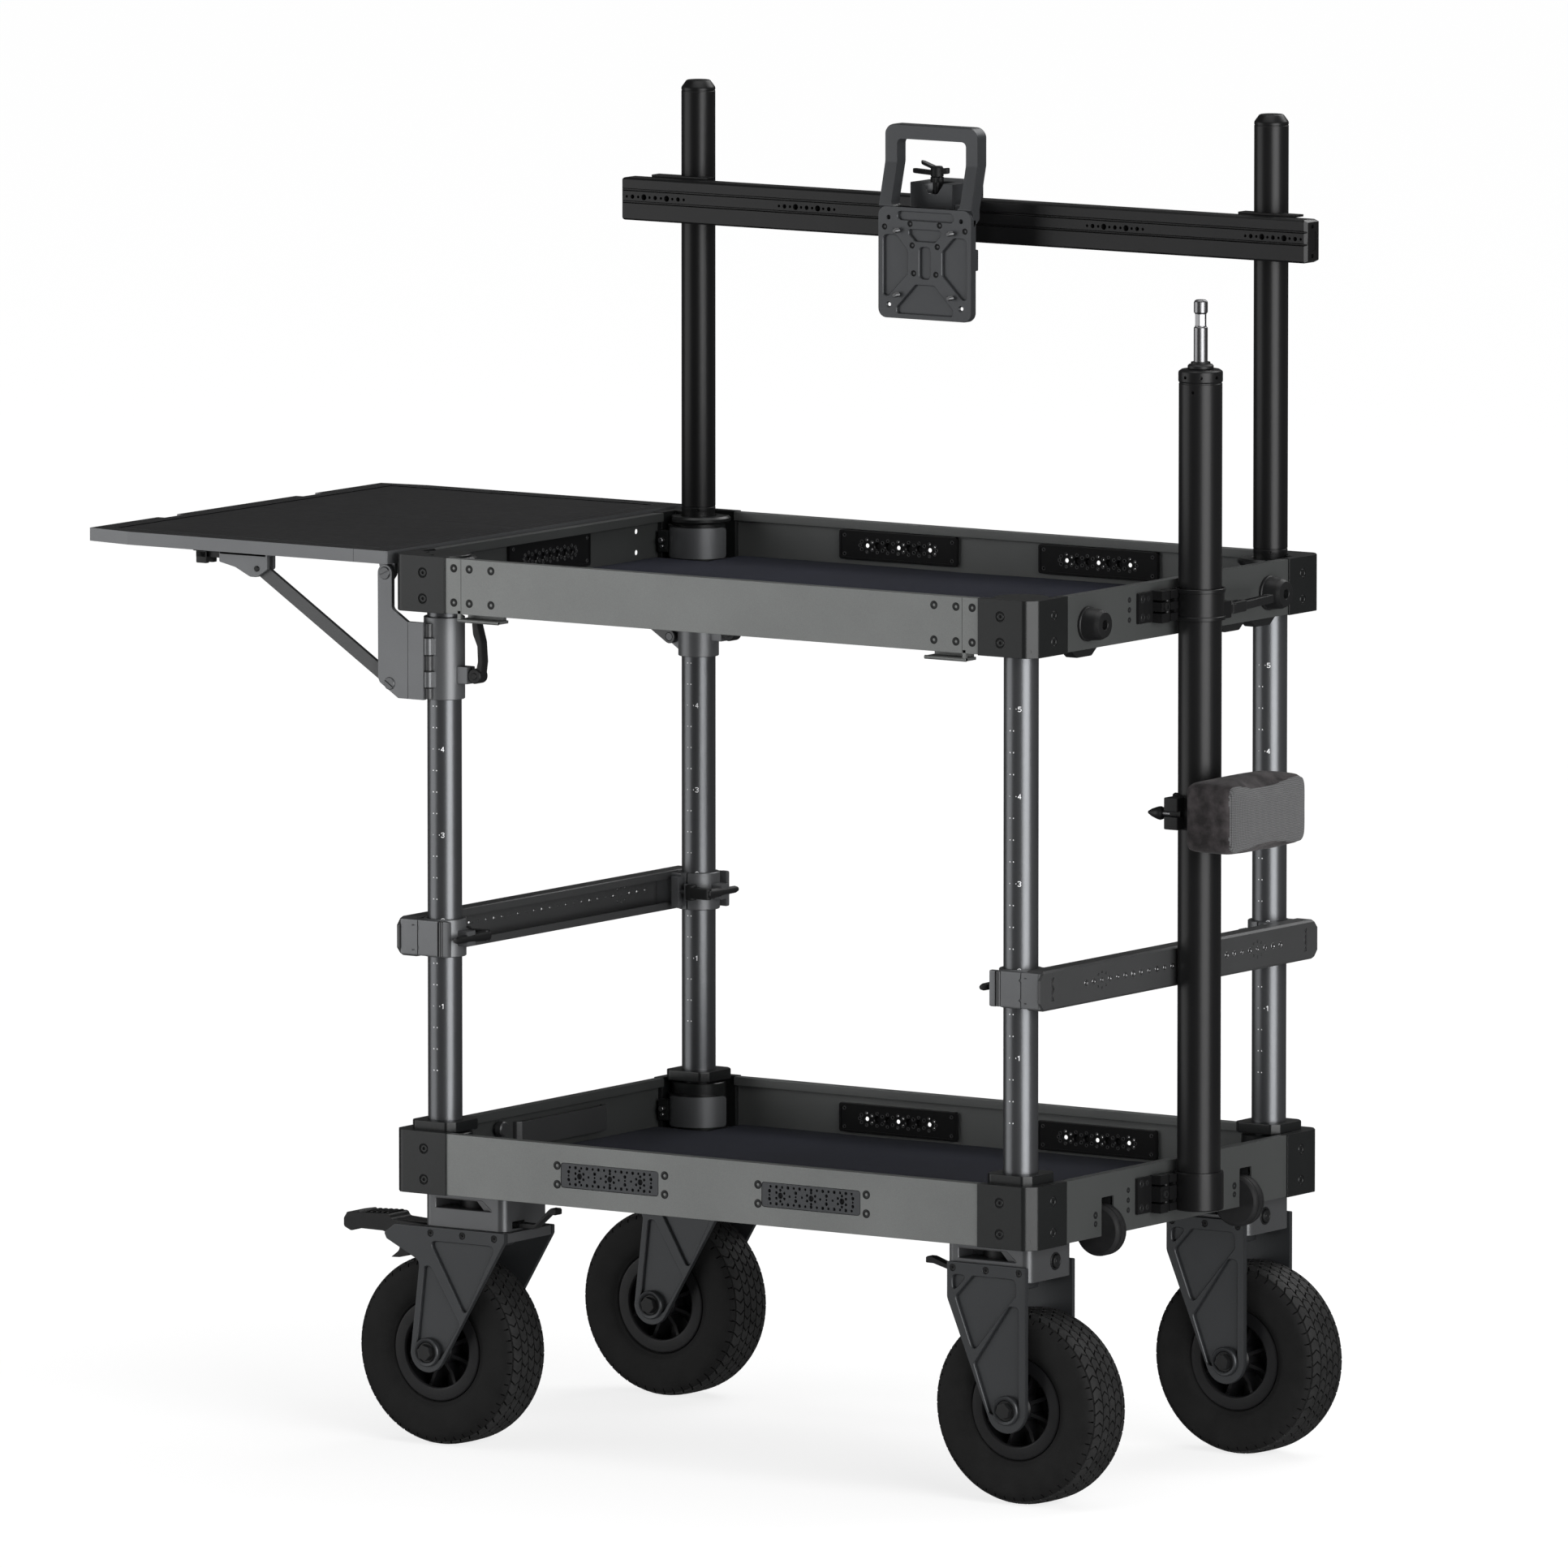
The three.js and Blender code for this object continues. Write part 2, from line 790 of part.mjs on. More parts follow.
function lowerMat() {
  const floorTop = lowerTrayZ + lowerFloorRise + floorWall;
  const notchHalf = slotWidth / 2 + slotWall + matMargin;
  const notches = sides.map(([, sy]) =>
    box(
      [housingBackX - slotWall - matMargin, panelX],
      [sy * rollerY - notchHalf, sy * rollerY + notchHalf],
      [floorTop - overrun, floorTop + matThickness + overrun],
    ),
  );
  return mat(floorTop, notches);
}

// The hinged front panel with its inward lip.
function dropPanel() {
  const half = dropHalf - gap;
  const front = -panelY;
  const back = front + panelWall;
  const outline = [
    [front, dropBottom],
    [back, dropBottom],
    [back, dropTop - lipHeight],
    [back + lipDepth, dropTop - lipHeight],
    [back + lipDepth, dropTop],
    [front, dropTop],
  ];
  return prism("x", outline, [-half, half]);
}

const cart = new THREE.Group();
cart.position.x = (tableOutX - padOutX) / 2; // the origin is under the middle of the whole length
piece(cart, "lower_tray", lowerTray(), "tray");
piece(cart, "lower_mat", lowerMat(), "felt");
piece(cart, "upper_tray", upperTray(), "tray");
piece(cart, "upper_mat", mat(upperTrayZ + upperFloorRise + floorWall, []), "felt");
piece(cart, "drop_panel", dropPanel(), "tray");

// Legs, and the posts that carry on above the rear ones
for (const [end, sx] of ends) {
  for (const [side, sy] of sides) {
    const top = upperTop - (sy < 0 ? frontLegRecess : rearLegRecess);
    const foot = lowerTrayZ + legFootDepth + gap;
    const leg = rod("z", [sx * legX, sy * legY], tubeRadius, [foot, top]);
    piece(cart, `leg_${side}_${end}`, leg, "leg");
  }
  const postFoot = upperTop - rearLegRecess + gap;
  const ringBottom = upperTop + gap;
  const profile = [
    [0, postFoot],
    [tubeRadius, postFoot],
    [tubeRadius, ringBottom],
    [postRingRadius, ringBottom],
    [postRingRadius, ringBottom + postRingHeight],
    [tubeRadius, ringBottom + postRingHeight],
    [tubeRadius, postTop - postChamfer],
    [tubeRadius - postChamfer, postTop],
    [0, postTop],
  ];
  piece(cart, `post_${end}`, turned("z", profile, [sx * legX, legY, 0]), "black");
}

// The block under a tray corner: rounded, with the latch window in its outer side and the button's bore.
function casterHead() {
  const buttonZ = headTop - buttonDrop;
  const outline = roundedRectangle([-headHalfX, headHalfX], [-headHalfY, headHalfY], headRound);
  return cut(
    prism("z", outline, [headBottom, headTop]),
    box(
      [-windowIn, windowOut],
      [headHalfY - windowDepth, headHalfY + overrun],
      [headTop - windowDrop - windowHeight, headTop - windowDrop],
    ),
    rod(
      "x",
      [-buttonOffsetY, buttonZ],
      buttonRadius + gap,
      [headHalfX + buttonProud - buttonLength - buttonTravelRoom, headHalfX + overrun],
    ),
  );
}

function releaseButton() {
  const out = headHalfX + buttonProud;
  return rod("x", [-buttonOffsetY, headTop - buttonDrop], buttonRadius, [out - buttonLength, out]);
}

// The lever beside the head turns about an upright pin at its round root.
function latchLever(reach, lift) {
  const pivotX = -headHalfX - gap - latchRootRadius;
  const low = headBottom + latchRise;
  const high = low + latchThickness;
  const outline = [
    [pivotX, low],
    [pivotX, high],
    [-reach + latchHeelBack, high],
    [-reach + latchTipBack, high + lift],
    [-reach, high + lift],
    [-reach, high + lift - latchThickness],
    [-reach + latchHeelBack - latchThickness / 2, low],
  ];
  return join(
    rod("z", [pivotX, latchOffsetY], latchRootRadius, [low, high], smallSides),
    prism("y", outline, [latchOffsetY - latchRootRadius, latchOffsetY + latchRootRadius]),
  );
}

// The axle with its bolt heads and the rings round them.
function axle(trail) {
  const outer = headHalfY + gap + forkWall;
  const centre = [trail, wheelRadius];
  let body = rod("y", centre, axleRadius, [-outer, outer]);
  for (const s of [-1, 1]) {
    body = join(
      body,
      rod("y", centre, bossRingRadius, [s * (outer - forkWall / 2), s * (outer + bossRingHeight)]),
      rod("y", centre, boltRadius, [s * outer, s * (outer + boltHeight)], boltSides),
    );
  }
  return body;
}

function forkPlates(outline) {
  const inner = headHalfY + gap;
  return [-1, 1].map((s) => prism("y", outline, [s * inner, s * (inner + forkWall)]));
}

function brakedFork() {
  const centre = [trailBraked, wheelRadius];
  const outline = [
    [earTopX, crownTop],
    [-brakedInnerX, crownTop],
    [-brakedInnerX, crownTop - brakedShoulderDrop],
    ...arc(centre, brakedLobeRadius, brakedLobeStart, fullTurn, lobeSteps),
    [brakedOuterKneeX, crownTop - brakedOuterKneeDrop],
    [earChinX, crownTop - earChinDrop],
    [earTipX, crownTop - earTipDrop],
  ];
  const crown = box(
    [-headHalfX, headHalfX],
    [-headHalfY - forkWall / 2, headHalfY + forkWall / 2],
    [crownTop - crownHeight, crownTop],
  );
  return join(axle(trailBraked), crown, ...forkPlates(outline));
}

function plainFork() {
  const centre = [trailPlain, wheelRadius];
  const outline = [
    [trailPlain + plainLobeRadius, plainPlateTop],
    [-plainPlateInX, plainPlateTop],
    [-plainPlateInX, plainPlateTop - plainKneeDrop],
    ...arc(centre, plainLobeRadius, plainLobeStart, fullTurn, lobeSteps),
  ];
  return join(axle(trailPlain), ...forkPlates(outline));
}

function wheelRim(trail) {
  const hubHalf = headHalfY;
  const bore = boreRadius(axleRadius, roundSides);
  const profile = [
    [bore, -hubHalf],
    [hubRadius, -hubHalf],
    [hubRadius, -webHalf],
    [rimRadius - rimWall, -webHalf],
    [rimRadius - rimWall, -rimHalf],
    [rimRadius, -rimHalf],
    [rimRadius, rimHalf],
    [rimRadius - rimWall, rimHalf],
    [rimRadius - rimWall, webHalf],
    [hubRadius, webHalf],
    [hubRadius, hubHalf],
    [bore, hubHalf],
    [bore, -hubHalf],
  ];
  let body = turned("y", profile, [trail, 0, wheelRadius]);
  for (let i = 0; i < spokeCount; i += 1) {
    const middle = (i / spokeCount) * fullTurn;
    const [from, to] = [middle - spokeWindowHalfAngle, middle + spokeWindowHalfAngle];
    const outline = [
      ...arc([trail, wheelRadius], spokeWindowIn, from, to, 1),
      ...arc([trail, wheelRadius], spokeWindowOut, to, from, 2),
    ];
    body = cut(body, prism("y", outline, [-webHalf - overrun, webHalf + overrun]));
  }
  return body;
}

function tyre(trail) {
  const seat = rimRadius + gap;
  const half = [
    [seat, rimHalf - gap],
    [sidewallRadius, sidewallHalf],
    [shoulderRadius - overrun, sidewallHalf - gap],
    [shoulderRadius, shoulderHalf],
    [wheelRadius, treadHalf],
  ];
  const profile = [...half.map(([r, y]) => [r, -y]), ...half.reverse()];
  profile.push(profile[0]);
  return turned("y", profile, [trail, 0, wheelRadius], tyreSides);
}

// The pedal lies between the fork's ears; its hook grips the tyre when it is pressed down.
function brakePedal() {
  const at = (x, drop) => [x, crownTop - drop];
  const outline = [
    at(pedalInX, pedalLowDrop),
    at(pedalInX, pedalRootDrop),
    at(pedalRiseX, gap),
    at(pedalCrestX, -pedalTopRise),
    at(pedalTipX - pedalTipRound, -pedalTopRise / 2),
    at(pedalTipX, pedalTipRound),
    at(pedalTipX, pedalNeckDrop),
    at(pedalHeelX, pedalLowDrop),
    at(pedalHeelX - pedalHeelRound, pedalNeckDrop),
    at(hookTipX, pedalNeckDrop),
    at(hookInnerX, hookBendDrop),
    at(hookTipX, hookTipDrop),
    at(hookToeX, hookTipDrop - gap),
    at(hookBackX, hookBendDrop),
    at(hookBackX, pedalLowDrop),
  ];
  return join(
    prism("y", outline, [-pedalHalfWidth, pedalHalfWidth]),
    rod("y", at(pedalPivotX, pedalPivotDrop), pedalPinRadius, [-headHalfY, headHalfY], smallSides),
  );
}

for (const [end, sx] of ends) {
  for (const [side, sy] of sides) {
    const caster = new THREE.Group();
    caster.position.set(sx * (legX - headInX), sy * (legY - headInY), 0);
    caster.scale.set(sx, sy, 1);
    const braked = sx < 0;
    const trail = braked ? trailBraked : trailPlain;
    const place = `${side}_${end}`;
    piece(caster, `caster_head_${place}`, casterHead(), "head");
    piece(caster, `caster_fork_${place}`, braked ? brakedFork() : plainFork(), "fork");
    piece(caster, `wheel_rim_${place}`, wheelRim(trail), "rim");
    piece(caster, `tyre_${place}`, tyre(trail), "tyre");
    piece(caster, `release_button_${place}`, releaseButton(), "plastic");
    const [reach, lift] = braked ? [latchLongReach, latchLongLift] : [latchShortReach, latchShortLift];
    piece(caster, `latch_lever_${place}`, latchLever(reach, lift), "plastic");
    if (braked) piece(caster, `brake_pedal_${side}`, brakePedal(), "plastic");
    cart.add(caster);
  }
}

function roller() {
  const half = rollerWidth / 2;
  const bore = boreRadius(rollerPinRadius, roundSides);
  const profile = [
    [bore, -half],
    [rollerRadius - rollerEdge, -half],
    [rollerRadius, -half + rollerEdge],
    [rollerRadius, half - rollerEdge],
    [rollerRadius - rollerEdge, half],
    [bore, half],
    [bore, -half],
  ];
  return turned("y", profile, [rollerX, 0, rollerZ]);
}

for (const [side, sy] of sides) {
  piece(cart, `roller_${side}`, roller(), "plastic").position.y = sy * rollerY;
}

// The table top: chamfered outer corners, two notches, a sunk inlay and cheeks for the struts' ends.
function sideTable() {
  const bottom = tableTop - tableWall;
  const outline = [
    [-tableInX, -tableHalfY],
    [-tableInX, tableHalfY],
    [-tableOutX + tableCornerX, tableHalfY],
    [-tableOutX, tableHalfY - tableCornerY],
    [-tableOutX, -tableHalfY + tableCornerY],
    [-tableOutX + tableCornerX, -tableHalfY],
  ];
  let body = cut(
    prism("z", outline, [bottom, tableTop]),
    box(
      [-tableInX - inlayInset, -tableOutX + inlayInset],
      [-tableHalfY + inlayInset, tableHalfY - inlayInset],
      [tableTop - inlayDepth, tableTop + overrun],
    ),
  );
  const cheekOutline = [
    [-strutHighX + cheekIn, bottom + gap],
    [-strutHighX + cheekIn, strutHighZ],
    [-strutHighX, tableTop - cheekDrop],
    [-strutHighX - strutEyeRadius, tableTop - cheekDrop],
    [-strutHighX - cheekOut, strutHighZ],
    [-strutHighX - catchOut, tableTop - catchDrop],
    [-strutHighX - catchOut, bottom + gap],
  ];
  for (const [, sy] of sides) {
    body = cut(
      body,
      box(
        [-tableOutX - overrun, -tableOutX + notchDepth],
        [sy * notchY - notchWidth / 2, sy * notchY + notchWidth / 2],
        [bottom - overrun, tableTop + overrun],
      ),
    );
    for (const y of [bracketY, bracketY - gap - strutWall - gap - cheekWall]) {
      body = join(body, prism("y", cheekOutline, [sy * y, sy * (y + cheekWall)]));
    }
    body = join(body, tableHinge(sy, bottom));
  }
  return body;
}

// The knuckle that carries the table on a bracket's eye.
function tableHinge(sy, bottom) {
  const inner = bracketY - gap - bracketWall;
  const outline = [
    ...arc([-foldX, foldZ], bracketEye, halfTurn, fullTurn, smallSides / 2),
    [-foldX + bracketEye, bottom + gap],
    [-foldX - bracketEye, bottom + gap],
  ];
  return join(
    prism("y", outline, [sy * inner, sy * (inner + bracketWall)]),
    rod("y", [-foldX, foldZ], pinRadius, [sy * inner, sy * (bracketY + bracketWall)], smallSides),
  );
}

// A bracket clamps round its leg and carries the table's eye above and the strut's pin below.
function tableBracket() {
  const stepX = legX + bracketStepOut;
  const stepZ = clampTop - bracketStepDrop;
  const toeZ = bracketBottom + bracketToeRise;
  const outline = [
    ...arc([-foldX, foldZ], bracketEye, 0, halfTurn, smallSides / 2),
    [-legX - bracketBackOut, toeZ],
    [-legX - bracketToeOut, toeZ],
    [-legX - bracketHeelOut, bracketBottom],
    [-legX, bracketBottom],
    [-legX, stepZ],
    [-stepX, stepZ],
    [-foldX + bracketEye, upperTrayZ],
  ];
  const ring = rod("z", [-legX, legY], clampRadius, [bracketBottom, clampTop]);
  const armY = [legY, bracketY + bracketWall / 2];
  const arm = box([-stepX, -legX], armY, [bracketBottom + gap, stepZ - gap]);
  const ear = box(
    [-legX + tubeRadius, -legX + clampRadius + earLength],
    [legY - earHalfY, legY + earHalfY],
    [clampLeverZ - earHalfZ, clampLeverZ + earHalfZ],
  );
  const strutPin = rod(
    "y",
    [-strutLowX, strutLowZ],
    pinRadius,
    [bracketY - gap - strutWall, bracketY + bracketWall],
    smallSides,
  );
  const throughPlate = [bracketY - overrun, bracketY + bracketWall + overrun];
  return cut(
    join(prism("y", outline, [bracketY, bracketY + bracketWall]), ring, arm, ear, strutPin),
    rod("z", [-legX, legY], tubeRadius + gap, [bracketBottom - overrun, clampTop + overrun]),
    rod("y", [-foldX, foldZ], boreRadius(pinRadius), throughPlate, smallSides),
  );
}

function tableStrut() {
  const ends = [bracketY - gap - strutWall, bracketY - gap];
  const low = [-strutLowX, strutLowZ];
  return cut(
    join(
      roundBar("y", low, [-strutHighX, strutHighZ], strutHalfWidth, ends),
      rod("y", low, strutEyeRadius, ends),
    ),
    rod("y", low, boreRadius(pinRadius), [ends[0] - overrun, ends[1] + overrun], smallSides),
  );
}

function tableClampLever() {
  const hubX = -legX + clampRadius + earLength + gap + leverHubRadius;
  const leverTop = clampTop - leverTopDrop;
  const outline = [
    [hubX - leverNeckX, clampLeverZ],
    [hubX - leverGripX, leverTop - leverGripX],
    [hubX - leverGripX, leverTop],
    [hubX + leverHubRadius, leverTop],
    [hubX + leverGripX, leverTop - leverGripX],
    [hubX + leverNeckX, clampLeverZ],
  ];
  const across = [legY - leverHalfY, legY + leverHalfY];
  return join(rod("y", [hubX, clampLeverZ], leverHubRadius, across), prism("y", outline, across));
}

piece(cart, "side_table", sideTable(), "table");
for (const [side, sy] of sides) {
  const tableSide = new THREE.Group();
  tableSide.scale.set(1, sy, 1);
  piece(tableSide, `table_bracket_${side}`, tableBracket(), "fork");
  piece(tableSide, `table_strut_${side}`, tableStrut(), "fork");
  piece(tableSide, `table_clamp_lever_${side}`, tableClampLever(), "plastic");
  cart.add(tableSide);
}

// An open channel across one end of the cart, with a clamp round each leg and a T-handle on each clamp.
function crossbar(reach) {
  const low = barZ - barHeight / 2;
  const high = barZ + barHeight / 2;
  const inX = barOutX - barDepth;
  const handleX = legX - reach + tBarRadius;
  const channel = [
    [inX, low],
    [barOutX, low],
    [barOutX, high],
    [inX, high],
    [inX, high - barWall],
    [barOutX - barWall, high - barWall],
    [barOutX - barWall, low + barWall],
    [inX, low + barWall],
  ];
  const clampEnds = [barZ - barClampHeight / 2, barZ + barClampHeight / 2];
  let body = prism("y", channel, [-barHalfY, barHalfY]);
  for (const [, sy] of sides) {
    const y = sy * legY;
    const neckX = legX - tubeRadius;
    body = join(
      body,
      rod("z", [legX, y], barClampRadius, clampEnds),
      box([legX, barOutX - barWall / 2], [y - barClampRadius, y + barClampRadius], clampEnds),
      rod("x", [y, barZ], tShaftRadius, [handleX, neckX - barWall], smallSides),
      rod("y", [handleX, barZ], tBarRadius, [y - tBarHalf, y + tBarHalf], smallSides),
    );
  }
  for (const [, sy] of sides) {
    body = cut(body, rod("z", [legX, sy * legY], tubeRadius + gap, [low - overrun, high + overrun]));
  }
  return body;
}

piece(cart, "crossbar_right", crossbar(tReachRight), "fork");
const leftEnd = new THREE.Group();
leftEnd.scale.set(-1, 1, 1);
piece(leftEnd, "crossbar_left", crossbar(tReachLeft), "fork");
cart.add(leftEnd);

// The bar in front of the posts, grooved along its face, with a clamp round each post behind it.
function monitorBar() {
  const groove = (rise) => [
    [railFrontY, railBottom + rise],
    [railFrontY + grooveDepth, railBottom + rise],
    [railFrontY + grooveDepth, railBottom + rise + grooveWidth],
    [railFrontY, railBottom + rise + grooveWidth],
  ];
  const outline = [
    [railFrontY, railBottom],
    ...groove(grooveLowRise),
    ...groove(grooveHighRise),
    [railFrontY, railTop],
    [railBackY, railTop],
    [railBackY, railBottom],
  ];
  const clampZ = [railBottom + railClampRise, railBottom + railClampRise + railClampHeight];
  let body = prism("x", outline, [-legX - railPastLegX, legX + railPastLegX]);
  for (const [, sx] of ends) {
    const x = sx * legX;
    const wing = [
      [x - railWingHalf, railBackY - gap],
      [x - railWingHalf, railBackY + railWingDepth / 2],
      [x - railClampHalf, railBackY + railWingDepth],
      [x + railClampHalf, railBackY + railWingDepth],
      [x + railWingHalf, railBackY + railWingDepth / 2],
      [x + railWingHalf, railBackY - gap],
    ];
    body = join(
      body,
      box([x - railClampHalf, x + railClampHalf], [railBackY - gap, legY + railClampBack], clampZ),
      prism("z", wing, clampZ),
    );
    body = cut(body, rod("z", [x, legY], tubeRadius + gap, [railBottom - overrun, railTop + overrun]));
  }
  return body;
}

// The square plate with its studs, the tilt boss behind it and the loop handle above.
function monitorPlate() {
  const back = plateFrontY + plateWall;
  const handleTop = plateTop + handleRise;
  const kinkZ = plateTop + handleRise * handleKinkShare;
  const plate = prism(
    "y",
    roundedRectangle([-plateHalf, plateHalf], [plateBottom, plateTop], plateRound),
    [plateFrontY, back],
  );
  const side = [
    [plateFrontY, plateTop - plateRound * 2],
    [plateFrontY + handleDepth, plateTop - plateRound],
    [plateFrontY + handleDepth, plateTop],
    [plateFrontY + handleLean + handleDepth, kinkZ],
    [plateFrontY + handleLean + handleDepth, handleTop],
    [plateFrontY + handleLean, handleTop],
    [plateFrontY + handleLean, kinkZ],
    [plateFrontY, plateTop],
  ];
  const handle = cut(
    prism("x", side, [-plateHalf, plateHalf]),
    box(
      [-plateHalf + handleBar, plateHalf - handleBar],
      [plateFrontY - overrun, plateFrontY + handleLean + handleDepth + overrun],
      [plateTop, handleTop - handleBar],
    ),
    box(
      [-plateHalf + handleBar, plateHalf - handleBar],
      [back, plateFrontY + handleDepth + overrun],
      [plateTop - plateRound * 2 - overrun, plateTop + overrun],
    ),
  );
  let body = join(
    plate,
    handle,
    rod("x", [tiltY, tiltZ], tiltRadius, [-tiltBossHalf, tiltBossHalf]),
    box(
      [-tiltBossHalf, tiltBossHalf],
      [plateFrontY + plateWall / 2, tiltY],
      [tiltZ - tiltRadius, tiltZ + tiltRadius],
    ),
  );
  const middleZ = (plateBottom + plateTop) / 2;
  for (const sx of [-1, 1]) {
    for (const sz of [-1, 1]) {
      const stud = rod(
        "y",
        [sx * studOffset, middleZ + sz * studOffset],
        studRadius,
        [plateFrontY - studLength, plateFrontY + plateWall / 2],
        smallSides,
      );
      body = join(body, stud);
    }
  }
  return body;
}

// The carriage hooks over and under the bar and holds the plate between two ears.
function monitorCarriage() {
  const front = railFrontY - gap;
  const backOfJaw = railBackY + jawReach;
  const top = railTop + carriageJawTop;
  const body = join(
    box([-carriageHalf, carriageHalf], [carriageFrontY, front], [railBottom - carriageJaw, top]),
    box([-carriageHalf, carriageHalf], [front - jawReach, backOfJaw], [railTop + gap, top]),
    box(
      [-carriageHalf, carriageHalf],
      [front - jawReach, backOfJaw],
      [railBottom - carriageJaw, railBottom - gap],
    ),
  );
  const ears = [-1, 1].map((s) => {
    const across = [s * (tiltBossHalf + gap), s * (tiltBossHalf + gap + tiltEar)];
    return join(
      rod("x", [tiltY, tiltZ], tiltRadius, across),
      box(across, [tiltY, carriageFrontY + jawReach], [tiltZ - tiltRadius, tiltZ + tiltRadius]),
    );
  });
  return join(body, ...ears);
}

function monitorClampLever() {
  const bottom = railTop + carriageJawTop + gap;
  const leverY = carriageFrontY + monitorLeverBack;
  return join(
    rod("z", [-monitorLeverX, leverY], monitorHubRadius, [bottom, bottom + monitorHubHeight]),
    roundBar(
      "z",
      [-monitorLeverX - monitorWing, leverY],
      [-monitorLeverX + monitorWing, leverY],
      monitorWingHalf,
      [bottom + monitorWingRise, bottom + monitorHubHeight - gap],
    ),
  );
}

piece(cart, "monitor_bar", monitorBar(), "black");
piece(cart, "monitor_plate", monitorPlate(), "mount");
piece(cart, "monitor_carriage", monitorCarriage(), "mount");
piece(cart, "monitor_clamp_lever", monitorClampLever(), "plastic");

// The flange and hinge block that hold a ring of the mast on an end panel.
function mastFlange(zEnds) {
  const front = panelX + gap;
  return join(
    box([front, front + flangeWall], [-flangeFrontY, 0], zEnds),
    box([front, front + hingeBlockDepth], [-hingeBlockFrontY, -hingeBlockBackY], zEnds),
    box([front, mastX], [-hingeBlockBackY - overrun, 0], zEnds),
  );
}

function mastSocket() {
  const zEnds = [mastFoot, mastFoot + socketHeight];
  return cut(
    join(rod("z", [mastX, 0], socketRadius, [mastFoot - socketFloor, zEnds[1]]), mastFlange(zEnds)),
    rod("z", [mastX, 0], mastRadius + gap, [mastFoot, zEnds[1] + overrun]),
  );
}

function mastClamp() {
  const zEnds = [mastClampZ, mastClampZ + mastClampHeight];
  const earMiddle = mastLeverZ + mastLeverHeight / 2;
  const earX = mastX + mastEarOut;
  const ear = box(
    [earX - mastEarWidth, earX],
    [0, mastEarBackY],
    [earMiddle - mastEarHeight / 2, earMiddle + mastEarHeight / 2],
  );
  return cut(
    join(rod("z", [mastX, 0], mastClampRadius, zEnds), mastFlange(zEnds), ear),
    rod("z", [mastX, 0], mastRadius + gap, [mastClampZ - overrun, mastClampZ + mastClampHeight + overrun]),
  );
}

function mastClampLever() {
  const hub = [mastX + mastLeverOut, mastEarBackY + gap + mastLeverRadius];
  const tip = [mastX + mastLeverTipOut, mastLeverTipY - mastLeverHalf];
  const zEnds = [mastLeverZ, mastLeverZ + mastLeverHeight];
  return join(rod("z", hub, mastLeverRadius, zEnds), roundBar("z", hub, tip, mastLeverHalf, zEnds));
}

function mastTube() {
  const profile = [
    [0, mastFoot + gap],
    [mastRadius, mastFoot + gap],
    [mastRadius, mastTop],
    [mastCapRadius, mastTop],
    [mastCapRadius, mastTop + mastCapHeight],
    [0, mastTop + mastCapHeight],
  ];
  return turned("z", profile, [mastX, 0, 0]);
}

function babyPin() {
  const bottom = mastTop + mastCapHeight + gap;
  const shoulder = bottom + spigotShoulderRise;
  const neckTop = shoulder + spigotNeckHeight;
  const tip = neckTop + spigotHeadHeight;
  const profile = [
    [0, bottom],
    [pinFlangeRadius, bottom],
    [pinFlangeRadius, bottom + pinFlangeHeight],
    [spigotRadius, bottom + pinFlangeHeight],
    [spigotRadius, shoulder],
    [spigotNeckRadius, shoulder + spigotChamfer],
    [spigotNeckRadius, neckTop - spigotChamfer],
    [spigotRadius, neckTop],
    [spigotRadius, tip - spigotChamfer],
    [spigotRadius - spigotChamfer, tip],
    [0, tip],
  ];
  return turned("z", profile, [mastX, 0, 0]);
}

piece(cart, "mast_socket", mastSocket(), "black");
piece(cart, "mast_clamp", mastClamp(), "black");
piece(cart, "mast_clamp_lever", mastClampLever(), "plastic");
piece(cart, "mast_tube", mastTube(), "black");
piece(cart, "baby_pin", babyPin(), "chrome");

// The pad: crowned on its outer face, with sides that draw in a little between the corners.
function bumpPad() {
  const middleY = (padBackY - padFrontY) / 2;
  const halfY = (padBackY + padFrontY) / 2;
  const layers = [
    [padInX, 0],
    [(padInX + padOutX) / 2, padSideDraw],
    [padOutX - padCrown * 2, 0],
    [padOutX, padCrown * 2],
  ];
  const middleZ = padZ + padHeight / 2;
  const rings = layers.map(([x, draw]) => {
    const [y, z] = [halfY - draw, padHeight / 2 - draw];
    const outline = roundedRectangle([-y, y], [-z, z], padRound);
    return outline.map(([u, v]) => new THREE.Vector3(x, middleY + u, middleZ + v));
  });
  const count = rings[0].length;
  const points = [
    new THREE.Vector3(padInX, middleY, middleZ),
    ...rings.flat(),
    new THREE.Vector3(padOutX, middleY, middleZ),
  ];
  const index = [];
  const last = points.length - 1;
  for (let i = 0; i < count; i += 1) {
    const j = (i + 1) % count;
    index.push(0, 1 + j, 1 + i);
    for (let r = 0; r < rings.length - 1; r += 1) {
      const [a, b] = [1 + r * count + i, 1 + r * count + j];
      index.push(a, b, b + count, a, b + count, a + count);
    }
    index.push(last, last - count + i, last - count + j);
  }
  const geometry = new THREE.BufferGeometry().setFromPoints(points);
  geometry.setIndex(index);
  return toSolid(geometry);
}

// A ring on the mast, the plate behind the pad and the block that the knob screws into.
function padClamp() {
  const zEnds = [padClampZ, padClampZ + padClampHeight];
  const cutEnds = [padClampZ - overrun, padClampZ + padClampHeight + overrun];
  return cut(
    join(
      rod("z", [mastX, 0], padClampRadius, zEnds),
      box([padInX - padClampPlateWall, padInX - gap], [-padClampPlateHalf, padClampPlateHalf], zEnds),
      box([padBlockX, mastX], [-padBlockFrontY, 0], zEnds),
    ),
    rod("z", [mastX, 0], mastRadius + gap, cutEnds),
    box([padInX - gap, padInX + padClampRadius], [-padClampRadius, padClampRadius], cutEnds),
    box([mastX + padClampSlit, padInX + overrun], [-padClampSlit, padClampSlit], cutEnds),
  );
}

